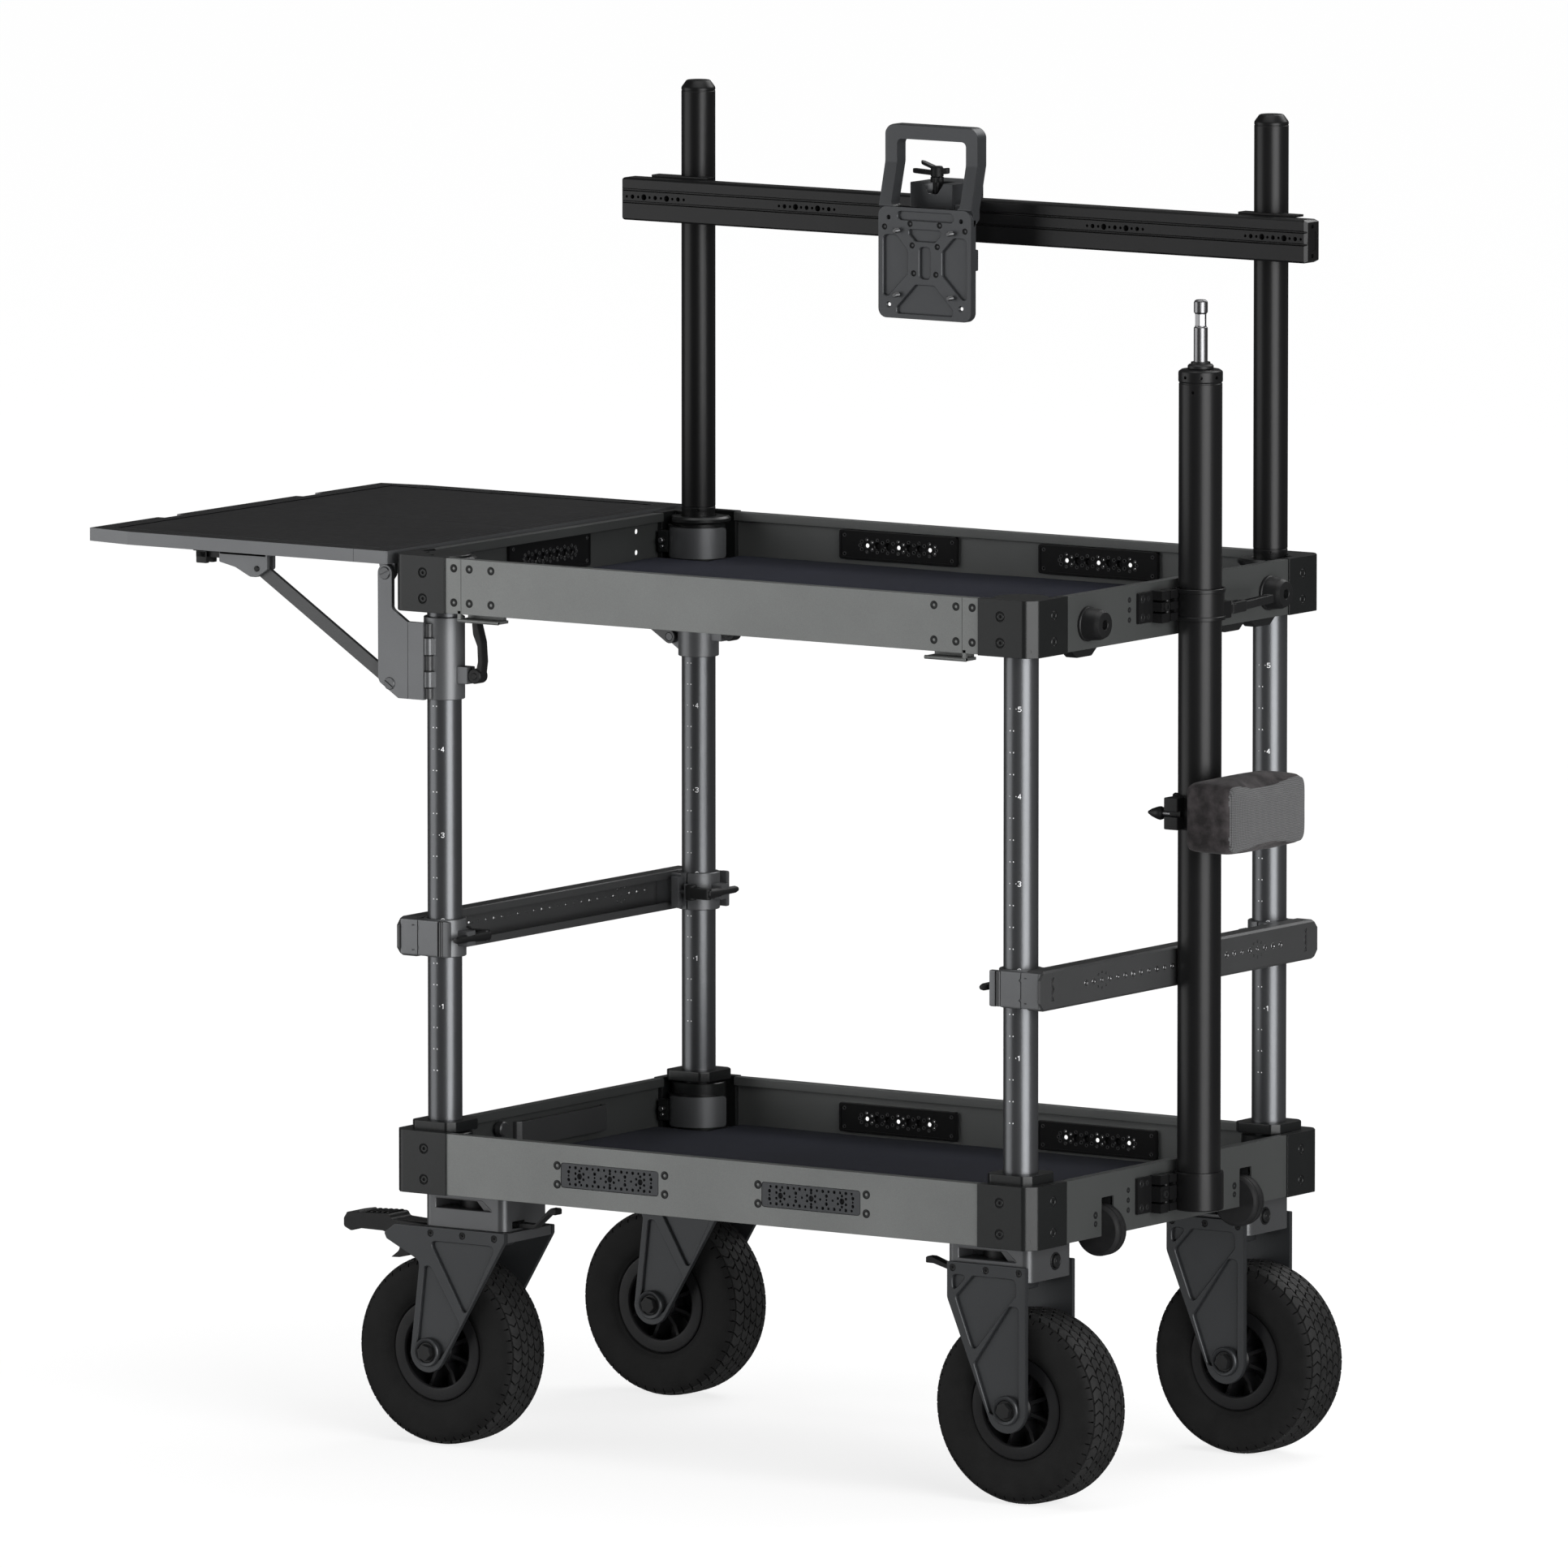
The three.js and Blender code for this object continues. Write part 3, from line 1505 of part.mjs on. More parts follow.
function padKnob() {
  const shaftEnd = padBlockX - gap;
  const tipX = mastX - padKnobIn;
  return join(
    rod("x", [-padKnobY, padKnobZ], tShaftRadius, [tipX, shaftEnd], smallSides),
    rod("x", [-padKnobY, padKnobZ], padKnobRadius, [tipX, shaftEnd - padKnobNeck], smallSides),
  );
}

piece(cart, "bump_pad", bumpPad(), "suede");
piece(cart, "pad_clamp", padClamp(), "black");
piece(cart, "pad_knob", padKnob(), "plastic");

export default cart;
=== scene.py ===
import bpy
import bmesh
import math
from mathutils import Matrix, Vector, noise


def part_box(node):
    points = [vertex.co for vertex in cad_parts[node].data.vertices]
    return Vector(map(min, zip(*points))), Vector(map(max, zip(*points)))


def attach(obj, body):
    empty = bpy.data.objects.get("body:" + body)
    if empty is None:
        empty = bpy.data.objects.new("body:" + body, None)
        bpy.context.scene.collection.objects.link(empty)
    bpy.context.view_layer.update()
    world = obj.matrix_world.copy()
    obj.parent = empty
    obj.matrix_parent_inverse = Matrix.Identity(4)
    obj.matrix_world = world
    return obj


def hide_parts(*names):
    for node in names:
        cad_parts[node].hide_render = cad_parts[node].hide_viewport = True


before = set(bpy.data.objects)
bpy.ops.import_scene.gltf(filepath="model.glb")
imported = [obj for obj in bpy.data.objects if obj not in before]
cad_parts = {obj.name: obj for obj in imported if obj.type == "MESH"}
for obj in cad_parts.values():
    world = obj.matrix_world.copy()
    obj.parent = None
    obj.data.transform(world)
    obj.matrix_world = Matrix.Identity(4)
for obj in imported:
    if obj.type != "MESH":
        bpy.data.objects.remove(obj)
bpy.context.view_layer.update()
scene = bpy.context.scene

# Lengths are in millimetres, with the origin between the four legs. piece() turns them into metres.
MM = 0.001
low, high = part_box("lower_mat")
SHIFT_X = (low.x + high.x) / 2
TO_FRAME = Matrix.Translation((SHIFT_X, 0, 0)) @ Matrix.Scale(MM, 4)
ROUND = 48
ENDS = (("left", -1), ("right", 1))
SIDES = (("front", -1), ("rear", 1))


# Solids: each function returns a closed mesh in millimetres

def on_axis(axis, u, v, w):
    """A point from its two coordinates across an axis and the one along it."""
    if axis == "x":
        return (w, u, v)
    if axis == "y":
        return (u, w, v)
    return (u, v, w)


def span(sign, a, b):
    """The stretch from a to b, or its mirror image, in rising order."""
    return tuple(sorted((sign * a, sign * b)))


def grid(us, vs):
    return [(u, v) for u in us for v in vs]


def flipped(outline):
    return [(-u, v) for u, v in outline]


def polar(centre, radius, degrees):
    """The point at a distance and an angle from a centre."""
    angle = math.radians(degrees)
    return (centre[0] + radius * math.cos(angle), centre[1] + radius * math.sin(angle))


def bridge(bm, a, b):
    """Faces between two rings with the same number of points."""
    count = len(a)
    for i in range(count):
        k = (i + 1) % count
        bm.faces.new((a[i], a[k], b[k], b[i]))


def bridge_all(bm, rings):
    """Faces between neighbouring rings, and over the first and the last."""
    for a, b in zip(rings, rings[1:]):
        bridge(bm, a, b)
    bm.faces.new(rings[0])
    bm.faces.new(rings[-1])


def slice_faces(bm, place, normal):
    bmesh.ops.bisect_plane(
        bm, geom=bm.verts[:] + bm.edges[:] + bm.faces[:], plane_co=place, plane_no=normal, dist=0.01,
    )


def to_mesh(bm):
    bmesh.ops.recalc_face_normals(bm, faces=bm.faces)
    mesh = bpy.data.meshes.new("solid")
    bm.to_mesh(mesh)
    bm.free()
    return mesh


def soften(bm, width, limit=30, segments=2):
    """Rounds the edges that are sharper than limit degrees."""
    if width <= 0:
        return
    edges = [e for e in bm.edges if e.is_manifold and e.calc_face_angle(0) > math.radians(limit)]
    bmesh.ops.bevel(
        bm, geom=edges, offset=width, offset_type="OFFSET", segments=segments,
        profile=0.6, affect="EDGES", clamp_overlap=True,
    )


def box(x, y, z, edge=0.5):
    bm = bmesh.new()
    bmesh.ops.create_cube(bm, size=1)
    size = (abs(x[1] - x[0]), abs(y[1] - y[0]), abs(z[1] - z[0]))
    middle = ((x[0] + x[1]) / 2, (y[0] + y[1]) / 2, (z[0] + z[1]) / 2)
    bmesh.ops.scale(bm, vec=size, verts=bm.verts)
    bmesh.ops.translate(bm, vec=middle, verts=bm.verts)
    soften(bm, edge)
    return to_mesh(bm)


def prism(axis, outline, ends, edge=0.5):
    bm = bmesh.new()
    a, b = [[bm.verts.new(on_axis(axis, u, v, w)) for u, v in outline] for w in ends]
    bm.faces.new(a)
    bm.faces.new(b)
    bridge(bm, a, b)
    bmesh.ops.recalc_face_normals(bm, faces=bm.faces)
    soften(bm, edge)
    return to_mesh(bm)


def pocket(axis, outline, face, depth, sign, flare=0.8):
    """A tool for a sunk pocket whose rim slopes in from the face; sign is the way the face looks."""
    points = [Vector(point) for point in outline]
    count = len(points)
    turning = sum(points[i - 1].x * points[i].y - points[i].x * points[i - 1].y for i in range(count))
    grown = []
    for i, point in enumerate(points):
        before = (point - points[i - 1]).normalized()
        after = (points[(i + 1) % count] - point).normalized()
        along = (before + after).normalized()
        outwards = Vector((along.y, -along.x)) * (1 if turning > 0 else -1)
        grown.append((point, outwards / max(0.5, along.dot(after))))
    bm = bmesh.new()
    rings = []
    for width, height in ((flare + 1, 1), (0, -flare), (0, -depth)):
        ring = [point + out * width for point, out in grown]
        rings.append([bm.verts.new(on_axis(axis, q.x, q.y, face + sign * height)) for q in ring])
    bridge_all(bm, rings)
    return to_mesh(bm)


def turned(axis, centre, profile, sides=ROUND, closed=False):
    """A profile of (radius, place along the axis) turned round the axis."""
    bm = bmesh.new()
    rings = []
    for radius, w in profile:
        count = 1 if radius == 0 else sides
        places = [polar(centre, radius, 360 * i / sides) for i in range(count)]
        rings.append([bm.verts.new(on_axis(axis, u, v, w)) for u, v in places])
    pairs = list(zip(rings, rings[1:]))
    if closed:
        pairs.append((rings[-1], rings[0]))
    for a, b in pairs:
        for i in range(sides):
            k = (i + 1) % sides
            corners = (a[i % len(a)], a[k % len(a)], b[k % len(b)], b[i % len(b)])
            corners = list(dict.fromkeys(corners))
            if len(corners) > 2:
                bm.faces.new(corners)
    if not closed:
        for ring in (rings[0], rings[-1]):
            if len(ring) > 2:
                bm.faces.new(ring)
    return to_mesh(bm)


def rod(axis, centre, radius, ends, sides=ROUND, edge=0.6):
    a, b = sorted(ends)
    profile = [(radius, a), (radius, b)]
    if edge > 0:
        profile = [(radius - edge, a), (radius, a + edge), (radius, b - edge), (radius - edge, b)]
    return turned(axis, centre, profile, sides)


def tube(axis, centre, outer, inner, ends, sides=ROUND, edge=0.5):
    a, b = sorted(ends)
    profile = [
        (outer - edge, a), (outer, a + edge), (outer, b - edge), (outer - edge, b),
        (inner + edge, b), (inner, b - edge), (inner, a + edge), (inner + edge, a),
    ]
    return turned(axis, centre, profile, sides, closed=True)


def arc(centre, radius, start, end, steps=12):
    return [polar(centre, radius, start + (end - start) * i / steps) for i in range(steps + 1)]


def rounded(u, v, radius, steps=6):
    """A rectangle's outline with rounded corners."""
    (ua, ub), (va, vb) = sorted(u), sorted(v)
    return (
        arc((ub - radius, vb - radius), radius, 0, 90, steps)
        + arc((ua + radius, vb - radius), radius, 90, 180, steps)
        + arc((ua + radius, va + radius), radius, 180, 270, steps)
        + arc((ub - radius, va + radius), radius, 270, 360, steps)
    )


def bar_outline(a, b, half, steps=10):
    """The outline of a bar with round ends, from a to b."""
    angle = math.degrees(math.atan2(b[1] - a[1], b[0] - a[0]))
    return arc(b, half, angle - 90, angle + 90, steps) + arc(a, half, angle + 90, angle + 270, steps)


def fillet(points, radius, steps=5):
    """An outline with its corners rounded; radius is one number, or one for each corner."""
    result = []
    count = len(points)
    for i, here in enumerate(points):
        r = radius[i] if isinstance(radius, (list, tuple)) else radius
        p = Vector(here)
        a = Vector(points[i - 1]) - p
        b = Vector(points[(i + 1) % count]) - p
        bend = a.angle(b, math.pi)
        if r <= 0 or bend > math.radians(178):
            result.append(tuple(p))
            continue
        reach = min(r / math.tan(bend / 2), a.length * 0.49, b.length * 0.49)
        start = p + a.normalized() * reach
        end = p + b.normalized() * reach
        for k in range(steps + 1):
            t = k / steps
            q = start * (1 - t) ** 2 + p * 2 * t * (1 - t) + end * t * t
            result.append(tuple(q))
    return result


def joined(*meshes):
    """Several solids as one mesh, without a cut between them."""
    bm = bmesh.new()
    for mesh in meshes:
        bm.from_mesh(mesh)
    result = bpy.data.meshes.new("solid")
    bm.to_mesh(result)
    bm.free()
    return result


def evaluated(obj):
    depsgraph = bpy.context.evaluated_depsgraph_get()
    return bpy.data.meshes.new_from_object(obj.evaluated_get(depsgraph))


def combine(base, tools, operation):
    host = bpy.data.objects.new("host", base)
    scene.collection.objects.link(host)
    group = bpy.data.collections.new("tools")
    scene.collection.children.link(group)
    objects = []
    for mesh in tools:
        obj = bpy.data.objects.new("tool", mesh)
        group.objects.link(obj)
        objects.append(obj)
    change = host.modifiers.new("change", "BOOLEAN")
    change.operation = operation
    change.solver = "MANIFOLD"
    change.operand_type = "COLLECTION"
    change.collection = group
    result = evaluated(host)
    for obj in objects + [host]:
        bpy.data.objects.remove(obj)
    bpy.data.collections.remove(group)
    return result


def cut(base, *tools):
    return combine(base, tools, "DIFFERENCE")


def union(base, *more):
    return combine(base, more, "UNION")


def changed(mesh, matrix):
    """A copy of a mesh moved, turned or mirrored by a matrix."""
    result = mesh.copy()
    result.transform(matrix)
    if matrix.determinant() < 0:
        result.flip_normals()
    return result


def moved(mesh, x=0, y=0, z=0):
    return changed(mesh, Matrix.Translation((x, y, z)))


def mirrored(mesh, sx=1, sy=1):
    return changed(mesh, Matrix.Diagonal((sx, sy, 1, 1)))


def turn(mesh, axis, degrees, centre=(0, 0, 0)):
    there = Matrix.Translation(centre)
    return changed(mesh, there @ Matrix.Rotation(math.radians(degrees), 4, axis.upper()) @ there.inverted())


def at_corner(x, y, sx, sy):
    """The place of a part that is built outwards from an upright axis, for one of the four corners."""
    return Matrix.Translation((sx * x, sy * y, 0)) @ Matrix.Diagonal((sx, sy, 1, 1))


def screw(axis, centre, face, sign, radius=4.2, proud=0.6, socket=1.9):
    """A screw with a six-sided socket and a dark ring; its head is at face and looks along sign."""
    sides = 24
    flat = socket * math.cos(math.radians(30))
    hexagon = [flat / math.cos(math.radians(360 * i / sides % 60 - 30)) for i in range(sides)]
    levels = [
        ([radius] * sides, -1),
        ([radius] * sides, proud * 0.4),
        ([radius - 0.7] * sides, proud),
        ([radius - 1.3] * sides, proud * 0.5),
        (hexagon, proud * 0.5),
        (hexagon, -0.9),
    ]
    bm = bmesh.new()
    rings = []
    for radii, height in levels:
        places = [polar(centre, r, 360 * i / sides) for i, r in enumerate(radii)]
        rings.append([bm.verts.new(on_axis(axis, u, v, face + sign * height)) for u, v in places])
    for step, (a, b) in enumerate(zip(rings, rings[1:])):
        for i in range(sides):
            k = (i + 1) % sides
            bm.faces.new((a[i], a[k], b[k], b[i])).material_index = int(step > 3)
    bm.faces.new(rings[0])
    bm.faces.new(rings[-1]).material_index = 1
    head = to_mesh(bm)
    ring = tube(axis, centre, radius + 0.9, radius - 0.1, (face - sign * 0.5, face + sign * 0.16), sides, 0)
    for polygon in ring.polygons:
        polygon.material_index = 1
    return joined(head, ring)


def screws_at(axis, places, face, sign, *sizes):
    return [screw(axis, place, face, sign, *sizes) for place in places]


def slotted(axis, centre, face, sign, radius=7, angle=35, proud=2):
    """A slotted screw head."""
    a, b = face - sign * 2, face + sign * proud
    head = rod(axis, centre, radius, (a, b), 32, 0.8)
    half = Vector((math.cos(math.radians(angle)), math.sin(math.radians(angle)))) * (radius + 2)
    start = (centre[0] - half.x, centre[1] - half.y)
    end = (centre[0] + half.x, centre[1] + half.y)
    slit = prism(axis, bar_outline(start, end, 0.9, 4), (b - sign * 1.2, b + sign * 2), 0)
    return cut(head, slit)


# Pieces

def piece(name, mesh, material, body, slot=None, replaces=(), angle=35, second=None):
    """Makes a named piece of a mesh in millimetres, with its finish, and lets it ride on a body."""
    mesh.transform(TO_FRAME)
    marked = [face.material_index for face in mesh.polygons]
    mesh.materials.clear()
    mesh.materials.append(material)
    if 1 in marked:
        mesh.materials.append(second or M_RUBBER)
        mesh.polygons.foreach_set("material_index", [min(number, 1) for number in marked])
    mesh.shade_smooth()
    mesh.set_sharp_from_angle(angle=math.radians(angle))
    obj = bpy.data.objects.new(name, mesh)
    scene.collection.objects.link(obj)
    normals = obj.modifiers.new("normals", "WEIGHTED_NORMAL")
    normals.keep_sharp = True
    obj.data = evaluated(obj)
    obj.data.name = name
    obj.modifiers.clear()
    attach(obj, body)
    if replaces:
        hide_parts(*replaces)
    return obj


def put(place, name, mesh, *details, **more):
    """A piece made of a copy of a mesh, moved or mirrored by a matrix."""
    return piece(name, changed(mesh, place), *details, **more)


# Materials

class Nodes:
    """A small helper that adds and links shader nodes."""

    def __init__(self, name):
        self.material = bpy.data.materials.new(name)
        self.material.use_nodes = True
        self.tree = self.material.node_tree
        self.shader = self.tree.nodes["Principled BSDF"]
        coords = self.tree.nodes.new("ShaderNodeTexCoord")
        self.place = coords.outputs["Object"]

    def add(self, kind, **values):
        node = self.tree.nodes.new(kind)
        for key, value in values.items():
            if key in node.inputs:
                node.inputs[key].default_value = value
            else:
                setattr(node, key, value)
        return node

    def link(self, a, b):
        self.tree.links.new(a, b)

    def stretched(self, scale):
        node = self.add("ShaderNodeMapping")
        node.inputs["Scale"].default_value = scale
        self.link(self.place, node.inputs["Vector"])
        return node.outputs["Vector"]

    def noise(self, scale, detail=3, place=None, roughness=0.5):
        node = self.add("ShaderNodeTexNoise", Scale=scale, Detail=detail, Roughness=roughness)
        self.link(place or self.place, node.inputs["Vector"])
        return node.outputs["Fac"]

    def tint(self, value, colour, low_share, high_share, a=0.3, b=0.7):
        """A base colour from a darker to a lighter share of one colour, between two places of a value."""
        node = self.add("ShaderNodeValToRGB")
        low_end, high_end = node.color_ramp.elements
        low_end.position, high_end.position = a, b
        low_end.color = (*[c * low_share for c in colour], 1)
        high_end.color = (*[c * high_share for c in colour], 1)
        self.link(value, node.inputs["Fac"])
        self.link(node.outputs["Color"], self.shader.inputs["Base Color"])

    def gloss(self, value, low_value, high_value):
        """A roughness that follows a value."""
        node = self.add("ShaderNodeMapRange")
        node.inputs["To Min"].default_value = low_value
        node.inputs["To Max"].default_value = high_value
        self.link(value, node.inputs["Value"])
        self.link(node.outputs["Result"], self.shader.inputs["Roughness"])

    def even(self, **values):
        """Values that are the same all over, on the shader's own sockets."""
        for key, value in values.items():
            self.shader.inputs[key.replace("_", " ")].default_value = value

    def math(self, operation, a, b):
        node = self.add("ShaderNodeMath", operation=operation)
        for socket, value in zip(node.inputs, (a, b)):
            if isinstance(value, (int, float)):
                socket.default_value = value
            else:
                self.link(value, socket)
        return node.outputs["Value"]

    def mixed(self, a, share, b):
        return self.math("ADD", self.math("MULTIPLY", a, share), self.math("MULTIPLY", b, 1 - share))

    def bump(self, height, distance):
        node = self.add("ShaderNodeBump", Strength=1.0, Distance=distance)
        self.link(height, node.inputs["Height"])
        self.link(node.outputs["Normal"], self.shader.inputs["Normal"])


def metal(name, colour, roughness, metallic, grain=0.00003, contrast=0.12, scale=1400, specular=0.5):
    """Anodised or powder-coated metal: fine grain, faint clouds in its colour and gloss."""
    n = Nodes(name)
    fine = n.noise(scale, 3)
    n.tint(n.mixed(fine, 0.6, n.noise(9, 5)), colour, 1 - contrast, 1 + contrast)
    n.gloss(n.noise(60, 4), roughness - 0.015, roughness + 0.02)
    n.even(Metallic=metallic, Specular_IOR_Level=specular)
    n.bump(fine, grain)
    return n.material


def plastic(name, colour, roughness, scale=900, grain=0.00008, specular=0.4):
    n = Nodes(name)
    n.tint(n.noise(14, 4), colour, 0.85, 1.2)
    n.gloss(n.noise(90, 3), roughness - 0.07, roughness + 0.07)
    n.even(Specular_IOR_Level=specular)
    n.bump(n.noise(scale, 2), grain)
    return n.material


def rubber(name, colour, roughness):
    n = Nodes(name)
    dust = n.noise(35, 6, roughness=0.65)
    n.tint(dust, colour, 0.8, 1.5, 0.35, 0.75)
    n.gloss(dust, roughness - 0.08, roughness + 0.1)
    n.even(Specular_IOR_Level=0.2)
    n.bump(n.noise(1100, 3), 0.00012)
    return n.material


def felt_cloth(name, colour):
    n = Nodes(name)
    height = n.mixed(n.noise(900, 5, roughness=0.75), 0.7, n.noise(160, 4))
    # the colour follows the bump height and is darker in the low places: painted shade in the hollows of the
    # felt, mixed with a broad random mottle
    hollow_shade_and_mottle = n.mixed(height, 0.75, n.noise(6, 4))
    n.tint(hollow_shade_and_mottle, colour, 0.55, 1.6, 0.35, 0.65)
    n.even(Roughness=0.95, Specular_IOR_Level=0.1, Sheen_Weight=0.03, Sheen_Roughness=0.6)
    n.bump(height, 0.0009)
    return n.material


def suede_cloth(name, colour):
    n = Nodes(name)
    nap = n.noise(1300, 4, roughness=0.7)
    mottle = n.noise(55, 5, roughness=0.6)
    n.tint(n.mixed(mottle, 0.6, n.noise(18, 4)), colour, 0.42, 1.5, 0.4, 0.6)
    n.even(Roughness=0.9, Specular_IOR_Level=0.15, Sheen_Weight=0.06, Sheen_Roughness=0.45)
    n.bump(n.mixed(nap, 0.6, mottle), 0.0005)
    return n.material


def mesh_cloth(name, colour):
    """Spacer mesh: a fine diagonal net of threads, its gaps painted dark as painted shade in the holes of the
    net.
    """
    n = Nodes(name)
    place = n.add("ShaderNodeSeparateXYZ")
    n.link(n.place, place.inputs["Vector"])
    pitch = 1600
    waves = []
    for operation in ("ADD", "SUBTRACT"):
        across = n.math(operation, place.outputs["Y"], place.outputs["Z"])
        waves.append(n.math("SINE", n.math("MULTIPLY", across, pitch), 0))
    net = n.math("MULTIPLY_ADD", n.math("MULTIPLY", *waves), 0.5)
    # darker in the gaps between the threads, where the bump is low: painted shade
    n.tint(net, colour, 0.35, 1.3, 0.2, 0.75)
    n.even(Roughness=0.85, Sheen_Weight=0.05)
    n.bump(net, 0.0008)
    return n.material


def polished(name, colour, roughness):
    n = Nodes(name)
    n.tint(n.noise(25, 3), colour, 0.9, 1.05)
    n.gloss(n.noise(500, 3, n.stretched((1, 1, 0.05))), roughness, roughness + 0.12)
    n.even(Metallic=1.0)
    return n.material


M_PANEL = metal("tray_panel", (0.145, 0.15, 0.147), 0.4, 0.6, contrast=0.16)
# the tray panels' finish again, darker: painted shade for the end walls and the floors of both trays
M_PANEL_SHADED = metal("tray_panel_shaded", (0.06, 0.063, 0.062), 0.5, 0.45)
M_CASTING = metal("casting", (0.011, 0.0117, 0.0118), 0.32, 0.3, 0.00004, 0.2, 1000, 0.34)
M_LEG = metal("leg_tube", (0.098, 0.101, 0.106), 0.33, 0.8)
M_BLACK = metal("black_anodised", (0.008, 0.008, 0.0083), 0.34, 0.3, contrast=0.2, specular=0.27)
M_HEAD = metal("head_metal", (0.085, 0.087, 0.09), 0.38, 0.6)
M_FORK = metal("fork_metal", (0.032, 0.0338, 0.036), 0.42, 0.5)
M_MOUNT = metal("mount_metal", (0.042, 0.044, 0.047), 0.42, 0.5)
M_TABLE = metal("table_frame", (0.115, 0.118, 0.122), 0.4, 0.6)
M_BAR = metal("crossbar_metal", (0.06, 0.061, 0.062), 0.42, 0.5)
M_STUD = metal("stud_metal", (0.07, 0.071, 0.073), 0.35, 0.7)
M_INLAY = plastic("table_inlay", (0.009, 0.009, 0.0095), 0.62, 1600, 0.00012, specular=0.2)
M_PLASTIC = plastic("moulded_black", (0.008, 0.0082, 0.0085), 0.45, specular=0.25)
M_RIM = plastic("rim_plastic", (0.006, 0.006, 0.0065), 0.42, specular=0.2)
M_TYRE = rubber("tyre_rubber", (0.0055, 0.0055, 0.0055), 0.7)
# a lighter, glossier copy of the tyre rubber for the tread blocks: painted light on the tread, while the
# grooves and the sidewalls keep the darker copy as painted shade
M_TREAD_LIT = rubber("tread_rubber_lit", (0.013, 0.013, 0.013), 0.55)
M_RUBBER = rubber("roller_rubber", (0.01, 0.01, 0.0105), 0.6)
M_FELT = felt_cloth("navy_felt", (0.01, 0.0112, 0.02))
M_SUEDE = suede_cloth("suede", (0.03, 0.0265, 0.0275))
M_NET = mesh_cloth("spacer_mesh", (0.078, 0.078, 0.08))
M_CHROME = polished("chrome", (0.2, 0.2, 0.205), 0.3)
M_STEEL = polished("steel", (0.42, 0.42, 0.43), 0.25)
M_MARK = plastic("white_mark", (0.75, 0.76, 0.77), 0.5)


# Camera, floor and light

WHITE = (1, 1, 1, 1)


def camera():
    data = bpy.data.cameras.new("camera")
    obj = bpy.data.objects.new("camera", data)
    scene.collection.objects.link(obj)
    azimuth, elevation = math.radians(34.136), math.radians(6.964)
    distance = 24.70045
    target = Vector((SHIFT_X - 0.06998, -0.04745, 0.77685))
    back = Vector((
        math.cos(elevation) * math.sin(azimuth),
        -math.cos(elevation) * math.cos(azimuth),
        math.sin(elevation),
    ))
    right = Vector((math.cos(azimuth), math.sin(azimuth), 0))
    up = back.cross(right)
    turned_by = Matrix((right, up, back)).transposed().to_4x4()
    obj.matrix_world = Matrix.Translation(target + back * distance) @ turned_by
    data.sensor_width = 36
    data.lens = 489.8
    data.clip_end = 200
    scene.camera = obj


def softbox(name, azimuth, distance, height, size, radiance, aim_height=0.8):
    """A soft area light that looks at the cart; its azimuth is in degrees from +X towards +Y."""
    data = bpy.data.lights.new(name, "AREA")
    data.shape = "RECTANGLE"
    data.size, data.size_y = size
    data.energy = math.pi * size[0] * size[1] * radiance
    obj = bpy.data.objects.new(name, data)
    scene.collection.objects.link(obj)
    angle = math.radians(azimuth)
    place = Vector((SHIFT_X + distance * math.cos(angle), distance * math.sin(angle), height))
    obj.location = place
    obj.rotation_euler = (Vector((SHIFT_X, 0, aim_height)) - place).to_track_quat("-Z", "Y").to_euler()
    obj.visible_camera = False


def stage_piece(name, mesh, material):
    obj = bpy.data.objects.new(name, mesh)
    scene.collection.objects.link(obj)
    mesh.materials.append(material)
    return obj


def studio():
    world = bpy.data.worlds.new("studio")
    scene.world = world
    world.use_nodes = True
    background = world.node_tree.nodes["Background"]
    background.inputs["Color"].default_value = WHITE
    background.inputs["Strength"].default_value = 0.07
    scene.view_settings.view_transform = "Standard"
    # a white floor lit from below, a little brighter far away, and a white wall round it
    bm = bmesh.new()
    bmesh.ops.create_grid(bm, x_segments=2, y_segments=2, size=60)
    n = Nodes("floor_paper")
    length = n.add("ShaderNodeVectorMath", operation="LENGTH")
    n.link(n.place, length.inputs[0])
    glow = n.add("ShaderNodeMapRange", interpolation_type="SMOOTHSTEP")
    n.link(length.outputs["Value"], glow.inputs["Value"])
    for socket, value in (("From Min", 1.5), ("From Max", 9), ("To Min", 0.8), ("To Max", 0.97)):
        glow.inputs[socket].default_value = value
    n.link(glow.outputs["Result"], n.shader.inputs["Emission Strength"])
    n.even(Emission_Color=WHITE, Base_Color=(0.3, 0.3, 0.3, 1), Roughness=0.9, Specular_IOR_Level=0)
    floor = stage_piece("floor", to_mesh(bm), n.material)
    floor.visible_glossy = floor.visible_shadow = False
    bm = bmesh.new()
    bmesh.ops.create_cone(bm, segments=96, radius1=58, radius2=58, depth=60, cap_ends=False)
    bmesh.ops.translate(bm, verts=bm.verts, vec=(0, 0, 20))
    n = Nodes("wall_paper")
    n.even(Emission_Color=WHITE, Emission_Strength=1, Base_Color=(0, 0, 0, 1), Specular_IOR_Level=0)
    wall = stage_piece("wall", to_mesh(bm), n.material)
    wall.visible_diffuse = wall.visible_glossy = wall.visible_shadow = False
    softbox("right_softbox", -24, 5.4, 1.3, (4, 4.2), 7)
    softbox("left_softbox", -140, 6, 1.2, (5, 4.6), 2.2)
    softbox("top_softbox", 0, 0.1, 5.8, (4, 4), 2.4)
    softbox("back_softbox", 80, 4.6, 5, (5, 3), 3.5)


# Legs, measured from the floor

LEG_X, LEG_Y, TUBE = 400.3, 260.6, 20
OUT_X, IN_X, OUT_Y, IN_Y = 44.8, 30.7, 44, 28.5
PANEL_X, PANEL_Y = 443.1, 302.6
WALL_X, WALL_Y = LEG_X - IN_X + 1, LEG_Y - IN_Y + 1
LOWER, LOWER_TOP = 301.5, 374.6
UPPER, UPPER_TOP = 980, 1045.6
BOTH = (-1, 1)

